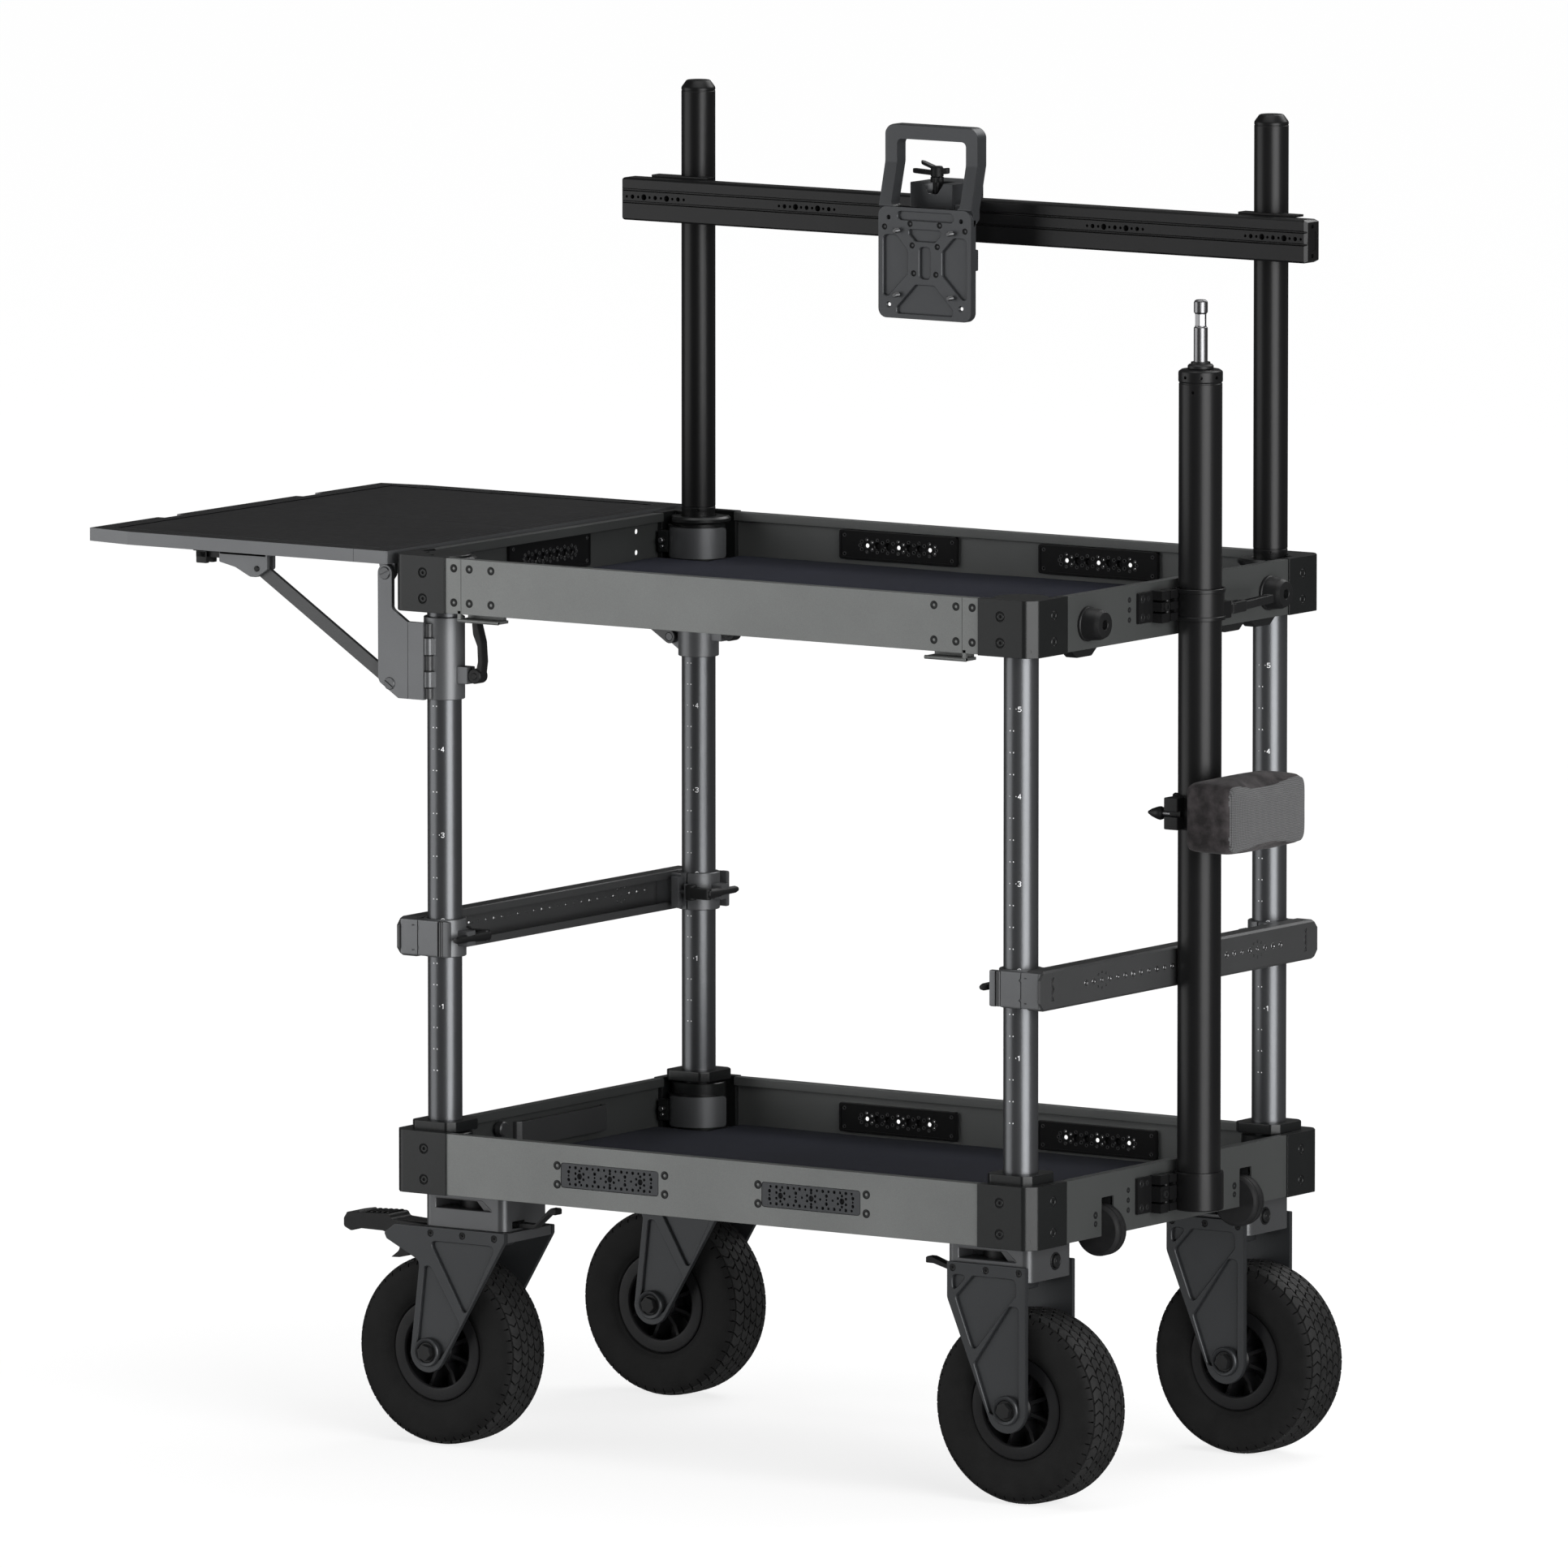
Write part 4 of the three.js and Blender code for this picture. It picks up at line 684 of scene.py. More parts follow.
# Strokes of the digits on a grid two units wide and four high
DIGITS = {
    1: [(1, 0), (1, 4), (0.2, 3.2)],
    2: [(0, 3.4), (0.5, 4), (1.5, 4), (2, 3.4), (2, 2.6), (0, 0), (2, 0)],
    3: [(0, 3.7), (0.5, 4), (1.6, 4), (2, 3.2), (1.5, 2.2), (0.8, 2.1), (1.5, 2), (2, 1.1), (1.6, 0),
        (0.4, 0), (0, 0.4)],
    4: [(1.5, 0), (1.5, 4), (0, 1.2), (2, 1.2)],
    5: [(1.9, 4), (0.2, 4), (0.1, 2.3), (1.2, 2.5), (2, 1.8), (2, 0.8), (1.4, 0), (0.4, 0), (0, 0.4)],
}


def wrap_strip(bm, radius, centre_angle, points, half_width, lift=0.12):
    """A thin raised stroke on a tube: points are (millimetres round the tube, height)."""
    for (ua, va), (ub, vb) in zip(points, points[1:]):
        along = Vector((ub - ua, vb - va))
        if along.length < 1e-6:
            continue
        along.normalize()
        across = Vector((-along.y, along.x)) * half_width
        tip = along * half_width * 0.6
        quad = [
            (ua - tip.x + across.x, va - tip.y + across.y), (ua - tip.x - across.x, va - tip.y - across.y),
            (ub + tip.x - across.x, vb + tip.y - across.y), (ub + tip.x + across.x, vb + tip.y + across.y),
        ]
        rings = []
        for r in (radius - 0.3, radius + lift):
            ring = []
            for u, v in quad:
                angle = centre_angle + u / radius
                ring.append(bm.verts.new((r * math.cos(angle), r * math.sin(angle), v)))
            rings.append(ring)
        inner, outer = rings
        bm.faces.new(outer)
        bm.faces.new(inner[::-1])
        bridge(bm, inner, outer)


def leg_marks(facing):
    """Graduations every 25 mm with a digit at each hundred, on the side of the tube that faces an angle."""
    bm = bmesh.new()
    lowest, step, first_digit = 443.5, 25, 3
    for i in range(20):
        z = lowest + step * i
        digit, between = divmod(i - first_digit, 4)
        end = -7 if between else -4
        wrap_strip(bm, TUBE, facing, [(-12, z), (end, z)], 0.62)
        if not between:
            strokes = [(-1.6 + u * 1.7, z - 2.6 + v * 1.3) for u, v in DIGITS[digit + 1]]
            wrap_strip(bm, TUBE, facing, strokes, 0.36)
    return to_mesh(bm)


def legs():
    marks = leg_marks(math.radians(-62))
    for side, sy in SIDES:
        for end, sx in ENDS:
            x, y = sx * LEG_X, sy * LEG_Y
            top = 1043 if sy < 0 else 1029
            shaft = turned("z", (x, y), [(19, 305.3), (20, 306.3), (20, top - 1.5), (18.5, top)], 64)
            name = f"leg_{side}_{end}"
            piece(name + "_tube", shaft, M_LEG, "cart", "leg_grey", [name])
            piece(name + "_scale", moved(marks, x, y), M_MARK, "cart")


def posts():
    profile = [
        (0, 1029.5), (19.6, 1029.5), (19.6, 1047), (20, 1047.6), (20, 1052), (19.5, 1052.5), (19.5, 1053.1),
        (20, 1053.6), (20, 1543.2), (19.6, 1543.6), (19.6, 1544.4), (20, 1544.8), (20, 1547), (19.4, 1548.5),
        (14.5, 1555.2), (13, 1556), (0, 1556),
    ]
    dimple = rod("x", (0, 1049.8), 1.7, (17, 24), 14, 0)
    for end, sx in ENDS:
        x, y = sx * LEG_X, LEG_Y
        dimples = [moved(turn(dimple, "z", 90 * i - 58), x, y) for i in range(4)]
        shaft = cut(turned("z", (x, y), profile, 64), *dimples)
        piece(f"post_{end}_tube", shaft, M_BLACK, "cart", "black_metal", [f"post_{end}"])


# Trays

def corner_casting(bottom, top, upper):
    """A corner in its own axes, with x and y outwards from the leg."""
    outline = [
        (-IN_X, OUT_Y), (OUT_X - 11.4, OUT_Y), (OUT_X, OUT_Y - 13.5), (OUT_X, -IN_Y),
        (OUT_X - 12, -IN_Y), (OUT_X - 12, 0), (0, 0), (0, OUT_Y - 12), (-IN_X, OUT_Y - 12),
    ]
    outline = fillet(outline, [0.8, 9, 9, 0.8, 0.8, 0, 0, 0, 0.8])
    body = union(prism("z", outline, (bottom, top), 1.2), rod("z", (0, 0), 32, (bottom + 1, top - 4), 64, 1))
    if upper:
        tools = [rod("z", (0, 0), 21, (bottom - 5, top + 20), 64, 0)]
        heights = (bottom + 16, top - 19.4)
    else:
        tools = [rod("z", (0, 0), 20.3, (bottom + 3.5, top + 20), 64, 0)]
        heights = (bottom + 17, top - 20)
    heads = []
    for z in heights:
        for axis, out in (("y", OUT_Y), ("x", OUT_X)):
            rest = [(0, out - 6), (6, out - 6), (6, out - 0.6), (6.8, out + 1), (0, out + 1)]
            tools.append(turned(axis, (0, z), rest, 32))
            heads.append(screw(axis, (0, z), out - 1, 1, 5.1, 0.9, 2.2))
    return cut(body, *tools), joined(*heads)


def wrapped_plate(radius, thick, u, z, corner, piece_length=2.5):
    """A thin plate with rounded corners bent round an upright cylinder; u runs along the arc."""
    start, end = u
    bm = bmesh.new()
    bm.faces.new([bm.verts.new((a, 0, b)) for a, b in rounded((start, end), z, corner, 5)])
    place = start + piece_length
    while place < end:
        slice_faces(bm, (place, 0, 0), (1, 0, 0))
        place += piece_length
    result = bmesh.ops.extrude_face_region(bm, geom=bm.faces[:])
    for v in result["geom"]:
        if isinstance(v, bmesh.types.BMVert):
            v.co.y = thick
    for v in bm.verts:
        angle, r = v.co.x / radius, radius + v.co.y
        v.co = (r * math.cos(angle), r * math.sin(angle), v.co.z)
    return to_mesh(bm)


def leg_collar(top, upper):
    if upper:
        collar = tube("z", (0, 0), 38, 20.4, (top - 11.5, top - 3.5), 64, 2.4)
        outside = [(14, -60), (60, -60), (60, 60), (-60, 60), (-60, 20), (14, 20)]
        return cut(collar, prism("z", outside, (top - 30, top + 9), 0))
    half, c = 31, 22
    outline = [(half, -c), (half, c), (c, half), (-c, half), (-half, c), (-half, -c), (-c, -half), (c, -half)]
    collar = prism("z", fillet(outline, 5, 4), (top - 2, top + 10.4), 1.6)
    collar = cut(collar, rod("z", (0, 0), 20.4, (top - 9, top + 20), 64, 0))
    ring = tube("z", (0, 0), 23.5, 20.3, (top + 8, top + 12.4), 48, 0.6)
    return joined(collar, moved(ring, 0, 0, -2.2))


def build_corners(tray, bottom, top, upper):
    """Four castings with their collars, and inside the tray a bright clamp band over a black one."""
    casting, heads = corner_casting(bottom, top, upper)
    middle = (bottom + top) / 2
    radius, level = 36, middle - 1
    along_band, along_back = [[radius * math.radians(a) for a in ends] for ends in ((178, 300), (170, 322))]
    band = wrapped_plate(radius, 2.4, along_band, (level - 18, level + 18), 5)
    back = wrapped_plate(radius - 5, 5.4, along_back, (level - 19.5, level + 19.5), 3)
    block = box((20, 34), (-36, -22), (middle - 13, middle + 12), 1.4)
    disc = rod("z", (0, 0), 31.5, (top - 3.9, top - 1), 64, 0.8)
    bolt = rod("y", (27, middle + 1), 3.4, (-41, -26), 20, 0.6)
    nut = rod("y", (27, middle - 6), 2.4, (-39, -26), 20, 0.6)
    solids = [casting, leg_collar(top, upper), back, block]
    castings, screws, bands, bolts = [], [], [], []
    for _, sx in ENDS:
        for _, sy in SIDES:
            place = at_corner(LEG_X, LEG_Y, sx, sy)
            discs = [disc] if upper and sy < 0 else []
            castings += [changed(mesh, place) for mesh in solids + discs]
            for parts, mesh in ((screws, heads), (bands, band), (bolts, joined(bolt, nut))):
                parts.append(changed(mesh, place))
    piece(f"{tray}_castings", joined(*castings), M_CASTING, "cart", "casting_black")
    piece(f"{tray}_corner_screws", joined(*screws), M_CASTING, "cart", "black_plastic")
    piece(f"{tray}_leg_bands", joined(*bands), M_TABLE, "cart", "leg_grey")
    piece(f"{tray}_band_screws", joined(*bolts), M_CHROME, "cart", "steel")


def panel_profile(out, bottom, top):
    """Across a side panel of a tray: the wall and the box rim that turns inwards at its top."""
    low, high = bottom + 0.8, top - 0.8
    return [
        (out, low), (out, high), (out - 12, high), (out - 12, high - 10), (out - 9.5, high - 10),
        (out - 9.5, high - 3), (out - 4, high - 3), (out - 4, low),
    ]


# Middles of the hole plates, and the distance between the large holes of the inner ones
PLATE_X, PLATE_PITCH = 140, 14.7


def plate_holes():
    """Places and radii of the holes of a front plate: clusters round three large ones and pairs between."""
    holes = []
    for u in (-42.5, 0, 42.5):
        holes.append((u, 0, 3.6))
        for k in range(6):
            holes.append((*polar((u, 0), 6.4, 60 * k + 30), 1.7))
    for u in (-57.6, -21.2, 21.2, 57.6):
        holes += [(u, 4.6, 2.1), (u, -4.6, 2.1), (u, 0, 1.3)]
    for i in range(-7, 8):
        for v in (-9.8, 9.8):
            holes.append((i * 8, v, 1.6 if i % 2 else 2))
    for s in BOTH:
        holes += [(s * 12.6, 0, 1.5), (s * 29.8, 0, 1.5)]
    return holes


def inner_plate(width, height):
    """A black hole plate, in its own axes: x along it, z up, its face at y = 0 looking to -y."""
    body = prism("y", rounded((-width / 2, width / 2), (0, height), 3.5), (0, 5), 0.9)
    tools = [prism("y", rounded((-width / 2 + 3, width / 2 - 3), (3, height - 3), 3), (-5, 0.7), 0)]
    rings = []
    middle = height / 2

    def hole(u, v, radius, depth):
        """A hole with a small countersink at its mouth."""
        profile = [
            (0, -2), (radius + 1.2, -2), (radius + 0.9, 0.7), (radius, 1.6), (radius, depth), (0, depth),
        ]
        tools.append(turned("y", (u, v), profile, 16))
        # small holes also get a lighter ring at the mouth: painted highlight on the countersink
        if radius < 2:
            rings.append(tube("y", (u, v), radius + 1, radius, (0.2, 0.8), 16, 0.1))

    for i in range(-4, 5):
        u = i * PLATE_PITCH
        if i % 3 == 0:
            hole(u, middle, 2.6, 9)
            tools.append(rod("y", (u, middle), 7.5, (2.4, 9), 20, 0))
        elif abs(i) < 4:
            hole(u, middle, 4, 4)
        else:
            hole(u - math.copysign(5, u), middle, 1.3, 3)
        for s in BOTH:
            if abs(i) < 4:
                hole(u, middle + s * 7.2, 1.2, 3)
            if i < 4:
                hole(u + PLATE_PITCH / 2, middle + s * 4.4, 1.4, 3)
    for s in BOTH:
        for v in (6.5, height - 6.5):
            hole(s * (width / 2 - 7.5), v, 1.4, 3)
    return cut(body, *tools), joined(*rings)


def rear_plates(bottom):
    """The hole plates inside a rear wall, and the lighter rims of their small holes, which are painted
    highlights.
    """
    meshes = inner_plate(166.5, 35)
    return [[moved(mesh, s * PLATE_X, PANEL_Y - 9, bottom + 18.5) for s in BOTH] for mesh in meshes]


def tray_floor(z, cuts=()):
    x, y = PANEL_X - 4, PANEL_Y - 4
    bosses = [rod("z", (sx * LEG_X, sy * LEG_Y), 31, (z - 5, z + 9), 48, 0) for sx in BOTH for sy in BOTH]
    return cut(box((-x, x), (-y, y), (z, z + 3), 0), *cuts, *bosses)


def tray_walls(bottom, top):
    """The rear wall with its large holes, and the left and right walls."""
    holes = [
        rod("y", (s * PLATE_X + i * PLATE_PITCH, bottom + 36), 8, (280, 320), 24, 0)
        for s in BOTH for i in (-3, 0, 3)
    ]
    rear = cut(prism("x", panel_profile(PANEL_Y, bottom, top), (-WALL_X, WALL_X)), *holes)
    end = panel_profile(PANEL_X, bottom, top)
    return rear, prism("y", flipped(end), (-WALL_Y, WALL_Y)), prism("y", end, (-WALL_Y, WALL_Y))


def upper_tray():
    build_corners("upper", UPPER, UPPER_TOP, True)
    rear, left, right = tray_walls(UPPER, UPPER_TOP)
    profile = flipped(panel_profile(PANEL_Y, UPPER, UPPER_TOP))
    stubs = [prism("x", profile, span(s, 347.5, WALL_X)) for s in BOTH]
    left_holes = [
        rod("x", (188, z), radius, (-460, depth), sides, 0)
        for radius, depth, sides in ((3.2, -420, 20), (10, -PANEL_X + 2.9, 28)) for z in (1001.7, 1026.6)
    ]
    lips = []
    for s in BOTH:
        a, b = span(s, 295.5, 352.5)
        lips += [
            box((a, b), (-302.6, -281), (971.6, 975.2), 0.6),
            rod("x", (-301, 973.4), 2.3, (a, b), 20, 0.3),
            box((a + 3, b - 3), (-286, -280.6), (972, 988), 0.6),
            box(span(s, 347.8, 352.5), (-302.6, -298.6), (972, 985), 0.4),
        ]
    piece("upper_tray_panels", joined(rear, *stubs, *lips), M_PANEL, "cart", "tray_grey", ["upper_tray"])
    # the end walls and the floor take the darker copy of the panel finish: painted shade
    piece("upper_tray_ends", joined(cut(left, *left_holes), right), M_PANEL_SHADED, "cart", "tray_grey")
    piece("upper_tray_floor", tray_floor(UPPER + 6.7), M_PANEL_SHADED, "cart", "tray_grey")
    plates, highlight_rims = rear_plates(UPPER)
    for parts, mesh in zip((plates, highlight_rims), inner_plate(166, 40)):
        parts.append(moved(turn(mesh, "z", 90), -(PANEL_X - 9), 4, 996))
    piece("upper_hole_plates", joined(*plates), M_BLACK, "cart", "black_metal")
    # lighter rings at the small holes of the plates: painted highlights
    piece("upper_hole_highlight_rims", joined(*highlight_rims), M_BAR, "cart", "steel")
    screws = screws_at("y", grid((-357.5, 361), (993.9, 1033.7)), -PANEL_Y, -1, 4, 0.4, 1.8)
    screws += screws_at("x", grid((-102,), (1006, 1017.5, 1029)), PANEL_X, 1, 2.4, 0.4, 1)
    piece("upper_stub_screws", joined(*screws), M_PLASTIC, "cart", "black_plastic")
    cone = [
        (0, 440), (20, 440), (20, 446), (19, 447), (17.4, 462), (16.2, 464.6), (14.6, 467.6), (13.4, 468.1),
        (6.2, 468.1), (5.6, 467.4), (5.6, 461), (0, 461),
    ]
    bumpers = [turned("x", (s * 190, UPPER + 30), cone, 48) for s in BOTH]
    for y in (-192, 117, 182):
        outline = [(y - 31, 984), (y + 31, 984), (y + 15, 972.2), (y - 15, 972.2)]
        bumpers.append(prism("x", fillet(outline, [0, 0, 3, 3]), (425.5, 441), 0.8))
    piece("upper_bumpers", joined(*bumpers), M_PLASTIC, "cart", "black_plastic")


# Axis and places of the two rollers in the right end of the lower tray
ROLLER_AXIS, ROLLER_Y, SLOT = (434.1, 308), 145, 12.5


def front_plates():
    """The two hole plates sunk in the lower front panel, and the dark backs behind them, which are painted
    shade seen through the holes.
    """
    faces, shade_backs = [], []
    for s in BOTH:
        x = s * PLATE_X
        # a dark sheet behind each plate: painted shade in its holes
        shade_backs.append(box((x - 67, x + 67), (-PANEL_Y + 3.1, -PANEL_Y + 3.5), (325, 352), 0))
        outline = rounded((x - 67.8, x + 67.8), (324.6, 352.7), 3.4)
        body = prism("y", outline, (-PANEL_Y + 0.5, -PANEL_Y + 3), 0.3)
        holes = [rod("y", (x + u, 338.65 + v), r, (-310, -PANEL_Y + 5), 14, 0) for u, v, r in plate_holes()]
        faces.append(cut(body, *holes))
    return joined(*faces), joined(*shade_backs)


def lower_tray():
    build_corners("lower", LOWER, LOWER_TOP, False)
    front = prism("x", flipped(panel_profile(PANEL_Y, LOWER, LOWER_TOP)), (-WALL_X, WALL_X))
    sunk = [
        prism("y", rounded((s * PLATE_X - 68.5, s * PLATE_X + 68.5), (324, 353.3), 4),
              (-310, -PANEL_Y + 3.6), 0)
        for s in BOTH
    ]
    rear, left, right = tray_walls(LOWER, LOWER_TOP)
    slots, wells, housings, pins = [], [], [], []
    for s in BOTH:
        y = s * ROLLER_Y
        opening = fillet([(y - SLOT, 290), (y + SLOT, 290), (y + SLOT, 347), (y - SLOT, 347)], [0, 0, 2, 2])
        slots.append(prism("x", opening, (397.1, 460), 0))
        wells.append(box((400, 460), (y - SLOT, y + SLOT), (290, 347), 0))
        shell = box((397.1, 441), (y - 15.5, y + 15.5), (302.4, 350), 0.8)
        housings.append(cut(shell, prism("x", opening, (400.1, 460), 0)))
        pins.append(rod("y", ROLLER_AXIS, 4, (y - 14, y + 14), 20, 0.4))
    ends = joined(left, cut(right, *slots))
    piece("lower_tray_panels", joined(cut(front, *sunk), rear), M_PANEL, "cart", "tray_grey", ["lower_tray"])
    # the end walls and the floor take the darker copy of the panel finish: painted shade
    piece("lower_tray_ends", ends, M_PANEL_SHADED, "cart", "tray_grey")
    piece("lower_tray_floor", tray_floor(LOWER + 9.2, wells), M_PANEL_SHADED, "cart", "tray_grey")
    piece("lower_roller_housings", joined(*housings, *pins), M_PLASTIC, "cart", "black_plastic")
    plates, highlight_rims = rear_plates(LOWER)
    # the strap inside the left end, with its bent ends and knob
    outline = [
        (-429, -63), (-434, -68), (-439.3, -68), (-439.3, -63), (-433, -60), (-433, 108), (-439.3, 111),
        (-439.3, 116), (-434, 116), (-429, 111),
    ]
    strap = prism("z", outline, (326, 356), 0.9)
    profile = [(0, -441), (6, -441), (6, -436), (9, -434), (9, -427), (7.5, -425.5), (0, -425.5)]
    knob = turned("x", (-103, 352), profile, 28)
    piece("lower_hole_plates", joined(*plates), M_BLACK, "cart", "black_metal")
    # lighter rings at the small holes of the plates: painted highlights
    piece("lower_hole_highlight_rims", joined(*highlight_rims), M_BAR, "cart", "steel")
    piece("lower_strap", joined(strap, knob), M_BAR, "cart", "black_metal")
    faces, shade_backs = front_plates()
    piece("lower_front_plates", faces, M_MOUNT, "cart", "casting_black")
    # dark sheets behind the plates: painted shade in their holes
    piece("lower_front_shade_backs", shade_backs, M_RUBBER, "cart", "black_plastic")
    screws = screws_at("y", grid((-213.3, -62.9, 66.9, 216.6), (327.4, 349.3)), -PANEL_Y, -1, 4.2, 0.4, 1.9)
    for y in (-170, 121.6):
        screws.append(screw("x", (y, 328), PANEL_X, 1, 3.4, 0.4, 1.5))
        screws.append(screw("x", (y, 318), PANEL_X, 1, 2.6, 0.4, 1.2))
    screws += screws_at("x", grid((-102,), (326, 337.5, 349)), PANEL_X, 1, 2.4, 0.4, 1)
    piece("lower_panel_screws", joined(*screws), M_CASTING, "cart", "black_plastic")


def drop_panel():
    body = prism("x", flipped(panel_profile(PANEL_Y, UPPER, UPPER_TOP)), (-347.2, 347.2))
    piece("drop_panel_shell", body, M_PANEL, "drop_panel", "tray_grey", ["drop_panel"])
    screws = screws_at("y", grid((-335.8, -305.3, 308.8, 338.9), (993.9, 1033.7)), -PANEL_Y, -1, 4, 0.4, 1.8)
    piece("drop_panel_screws", joined(*screws), M_CASTING, "drop_panel", "black_plastic")


def rollers():
    for side, sy in SIDES:
        y, half = sy * ROLLER_Y, 11
        low, high = y - half, y + half
        profile = [(4.2, low), (24, low), (25.5, low + 0.5)]
        for centre, sign, angles in ((low + 5, -1, (20, 45, 70, 90)), (high - 5, 1, (90, 70, 45, 20))):
            for a in angles:
                out, along = 5 * math.sin(math.radians(a)), 5 * math.cos(math.radians(a))
                profile.append((25 + out, centre + sign * along))
        profile += [(25.5, high - 0.5), (24, high), (4.2, high)]
        body = turned("y", ROLLER_AXIS, profile, 64, closed=True)
        grooves = [tube("y", ROLLER_AXIS, 33, 29.4, (y + v - 0.5, y + v + 0.5), 64, 0.1) for v in (-4, 4)]
        name = f"roller_{side}"
        piece(f"{name}_tyre", cut(body, *grooves), M_RUBBER, name, "rubber", [name])


# Felt mats

MAT_X, MAT_Y, FELT = PANEL_X - 6.5, PANEL_Y - 6.5, 3


def felt_mat(name, node, base, notches=()):
    """A felt mat on the tray's floor: a fine grid that follows the outline, with a faint unevenness."""
    x, y = MAT_X, MAT_Y
    cx, cy = LEG_X - 36.5, LEG_Y - 36.5
    outline = [
        (cx, -y), (cx, -cy), (x, -cy), *notches, (x, cy), (cx, cy), (cx, y),
        (-cx, y), (-cx, cy), (-x, cy), (-x, -cy), (-cx, -cy), (-cx, -y),
    ]
    bm = bmesh.new()
    bm.faces.new([bm.verts.new((u, v, base)) for u, v in fillet(outline, 2.5, 3)])
    step = 12
    for normal, reach in ((Vector((1, 0, 0)), 440), (Vector((0, 1, 0)), 300)):
        for k in range(step - reach, reach, step):
            slice_faces(bm, normal * k, normal)
    flat_area = sum(f.calc_area() for f in bm.faces) * MM * MM
    result = bmesh.ops.extrude_face_region(bm, geom=bm.faces[:])
    for v in result["geom"]:
        if isinstance(v, bmesh.types.BMVert):
            wave = noise.noise(v.co * 0.012) * 0.5 + noise.noise(v.co * 0.05) * 0.25
            v.co.z += FELT + max(-0.45, min(0.25, wave))
    for v in bm.verts:
        if abs(v.co.z - base) < 0.001:
            v.co.z += 0.15
    obj = piece(name, to_mesh(bm), M_FELT, "cart", "felt", [node], 50)


def felt_mats():
    notch = [(MAT_X, -163), (393, -163), (393, -127), (MAT_X, -127)]
    notches = notch + [(u, -v) for u, v in reversed(notch)]
    felt_mat("lower_mat_felt", "lower_mat", 313.85, notches)
    felt_mat("upper_mat_felt", "upper_mat", 989.85)


# Casters, in their own axes: x outwards from the swivel axis, y outwards, z from the floor

SWIVEL_X, SWIVEL_Y = 364.5, 229.3
WHEEL_Z, WHEEL_R = 112, 112
FORK_IN, FORK_OUT = 45.3, 51.3
BUTTON, BRAKE_AXIS, PEDAL_TOP = (-8.8, 279.6), (85, 249.7), 259.2
TREADS = 50

# For each end: the wheel's trail, places and height of the plate screws, reach and lift of the latch lever
CASTERS = {
    "left": (48, (43.5, -1.5, -46.5), 252.3, 114.5, 20),
    "right": (29.5, (46.3, 1.1, -44.2), 271.3, 99.5, 7),
}


def tread_radius(y):
    """The outer radius of the tread at a distance from the wheel's middle."""
    a = abs(y)
    if a <= 18:
        return WHEEL_R - 0.0012 * a * a
    return WHEEL_R - 0.39 - (a - 18) ** 2 * 0.019


def tread_blocks():
    """Arrow-shaped blocks in five rows round the wheel, with bare grooves between them."""
    bm = bmesh.new()
    depth, point = 3.6, 0.042
    pitch = 2 * math.pi / TREADS
    rows = ((-30.5, -19.4), (-17.6, -7), (-5.2, 5.2), (7, 17.6), (19.4, 30.5))
    for index, (ya, yb) in enumerate(rows):
        offset = pitch * 0.5 * (index % 2)
        middle = (ya + yb) / 2
        for i in range(TREADS):
            start, end = i * pitch + offset + 0.021, (i + 1) * pitch + offset
            outline = [
                (start, ya), (start + point, middle), (start, yb),
                (end, yb), (end + point, middle), (end, ya),
            ]
            rings = []
            for sink in (0, depth):
                ring = []
                for a, y in outline:
                    r = tread_radius(y) - sink
                    ring.append(bm.verts.new((r * math.cos(a), y, r * math.sin(a))))
                rings.append(ring)
            outer, inner = rings
            for ring, corners in (
                (outer, (0, 1, 4, 5)), (outer, (1, 2, 3, 4)), (inner, (5, 4, 1, 0)), (inner, (4, 3, 2, 1)),
            ):
                bm.faces.new([ring[corner] for corner in corners])
            for k in range(6):
                j = (k + 1) % 6
                bm.faces.new((outer[k], inner[k], inner[j], outer[j]))
    return to_mesh(bm)


def tyre():
    side = [
        (60.2, 26), (60.2, 30), (61.6, 32.4), (64.5, 33.6), (66, 34.9), (70, 36.2), (76, 37.1), (84, 37.5),
        (92, 37.4), (98, 36.8), (102, 35.6), (105, 33.8), (107, 31.8),
    ]
    base = [(tread_radius(y) - 3, y) for y in (29, 25, 20, 14, 7, 0, -7, -14, -20, -25, -29)]
    carcass = turned("y", (0, 0), side + base + [(r, -y) for r, y in reversed(side)], 120, closed=True)
    slits = []
    for s in BOTH:
        slit = box((102, 110), span(s, 29.4, 38), (-0.8, 0.8), 0)
        slits += [turn(slit, "y", 7.2 * i + 3.6 * (s > 0)) for i in range(TREADS)]
    blocks = tread_blocks()
    # the tread blocks take the lighter copy of the rubber, so the grooves between them read darker: painted
    # shade
    for face in blocks.polygons:
        face.material_index = 1
    return joined(cut(carcass, *slits), blocks)


def wheel_rim():
    edge = [(44, 30.6), (45, 31.6), (46.4, 32), (57.6, 32), (59.2, 31.4), (60, 30)]
    profile = edge + [(r, -y) for r, y in reversed(edge)] + [(44, -28.5), (52, -23), (52, 23), (44, 28.5)]
    hub = [
        (6.4, 44.8), (10, 44.8), (14, 44.8), (15, 43.8), (15, 30), (17.4, 27), (17.4, -27), (15, -30),
        (15, -43.8), (14, -44.8), (6.4, -44.8),
    ]
    outline = [(15, -25), (30, -18), (46, -19), (52.6, -24), (52.6, 24), (46, 19), (30, 18), (15, 25)]
    rib = prism("z", outline, (-2.3, 2.3), 0.8)
    ribs, windows = [], []
    for i in range(8):
        ribs.append(turn(rib, "y", 45 * i + 22.5))
        a, b = 45 * i + 6, 45 * i + 39
        window = fillet(arc((0, 0), 48, a, b, 5) + arc((0, 0), 24, b - 3, a + 3, 3), 2, 2)
        windows.append(prism("y", window, (-9, 9), 0))
    disc = cut(tube("y", (0, 0), 53, 16, (-2.5, 2.5), 64, 0.4), *windows)
    return joined(
        turned("y", (0, 0), profile, 96, closed=True), turned("y", (0, 0), hub, 48, closed=True), disc, *ribs)


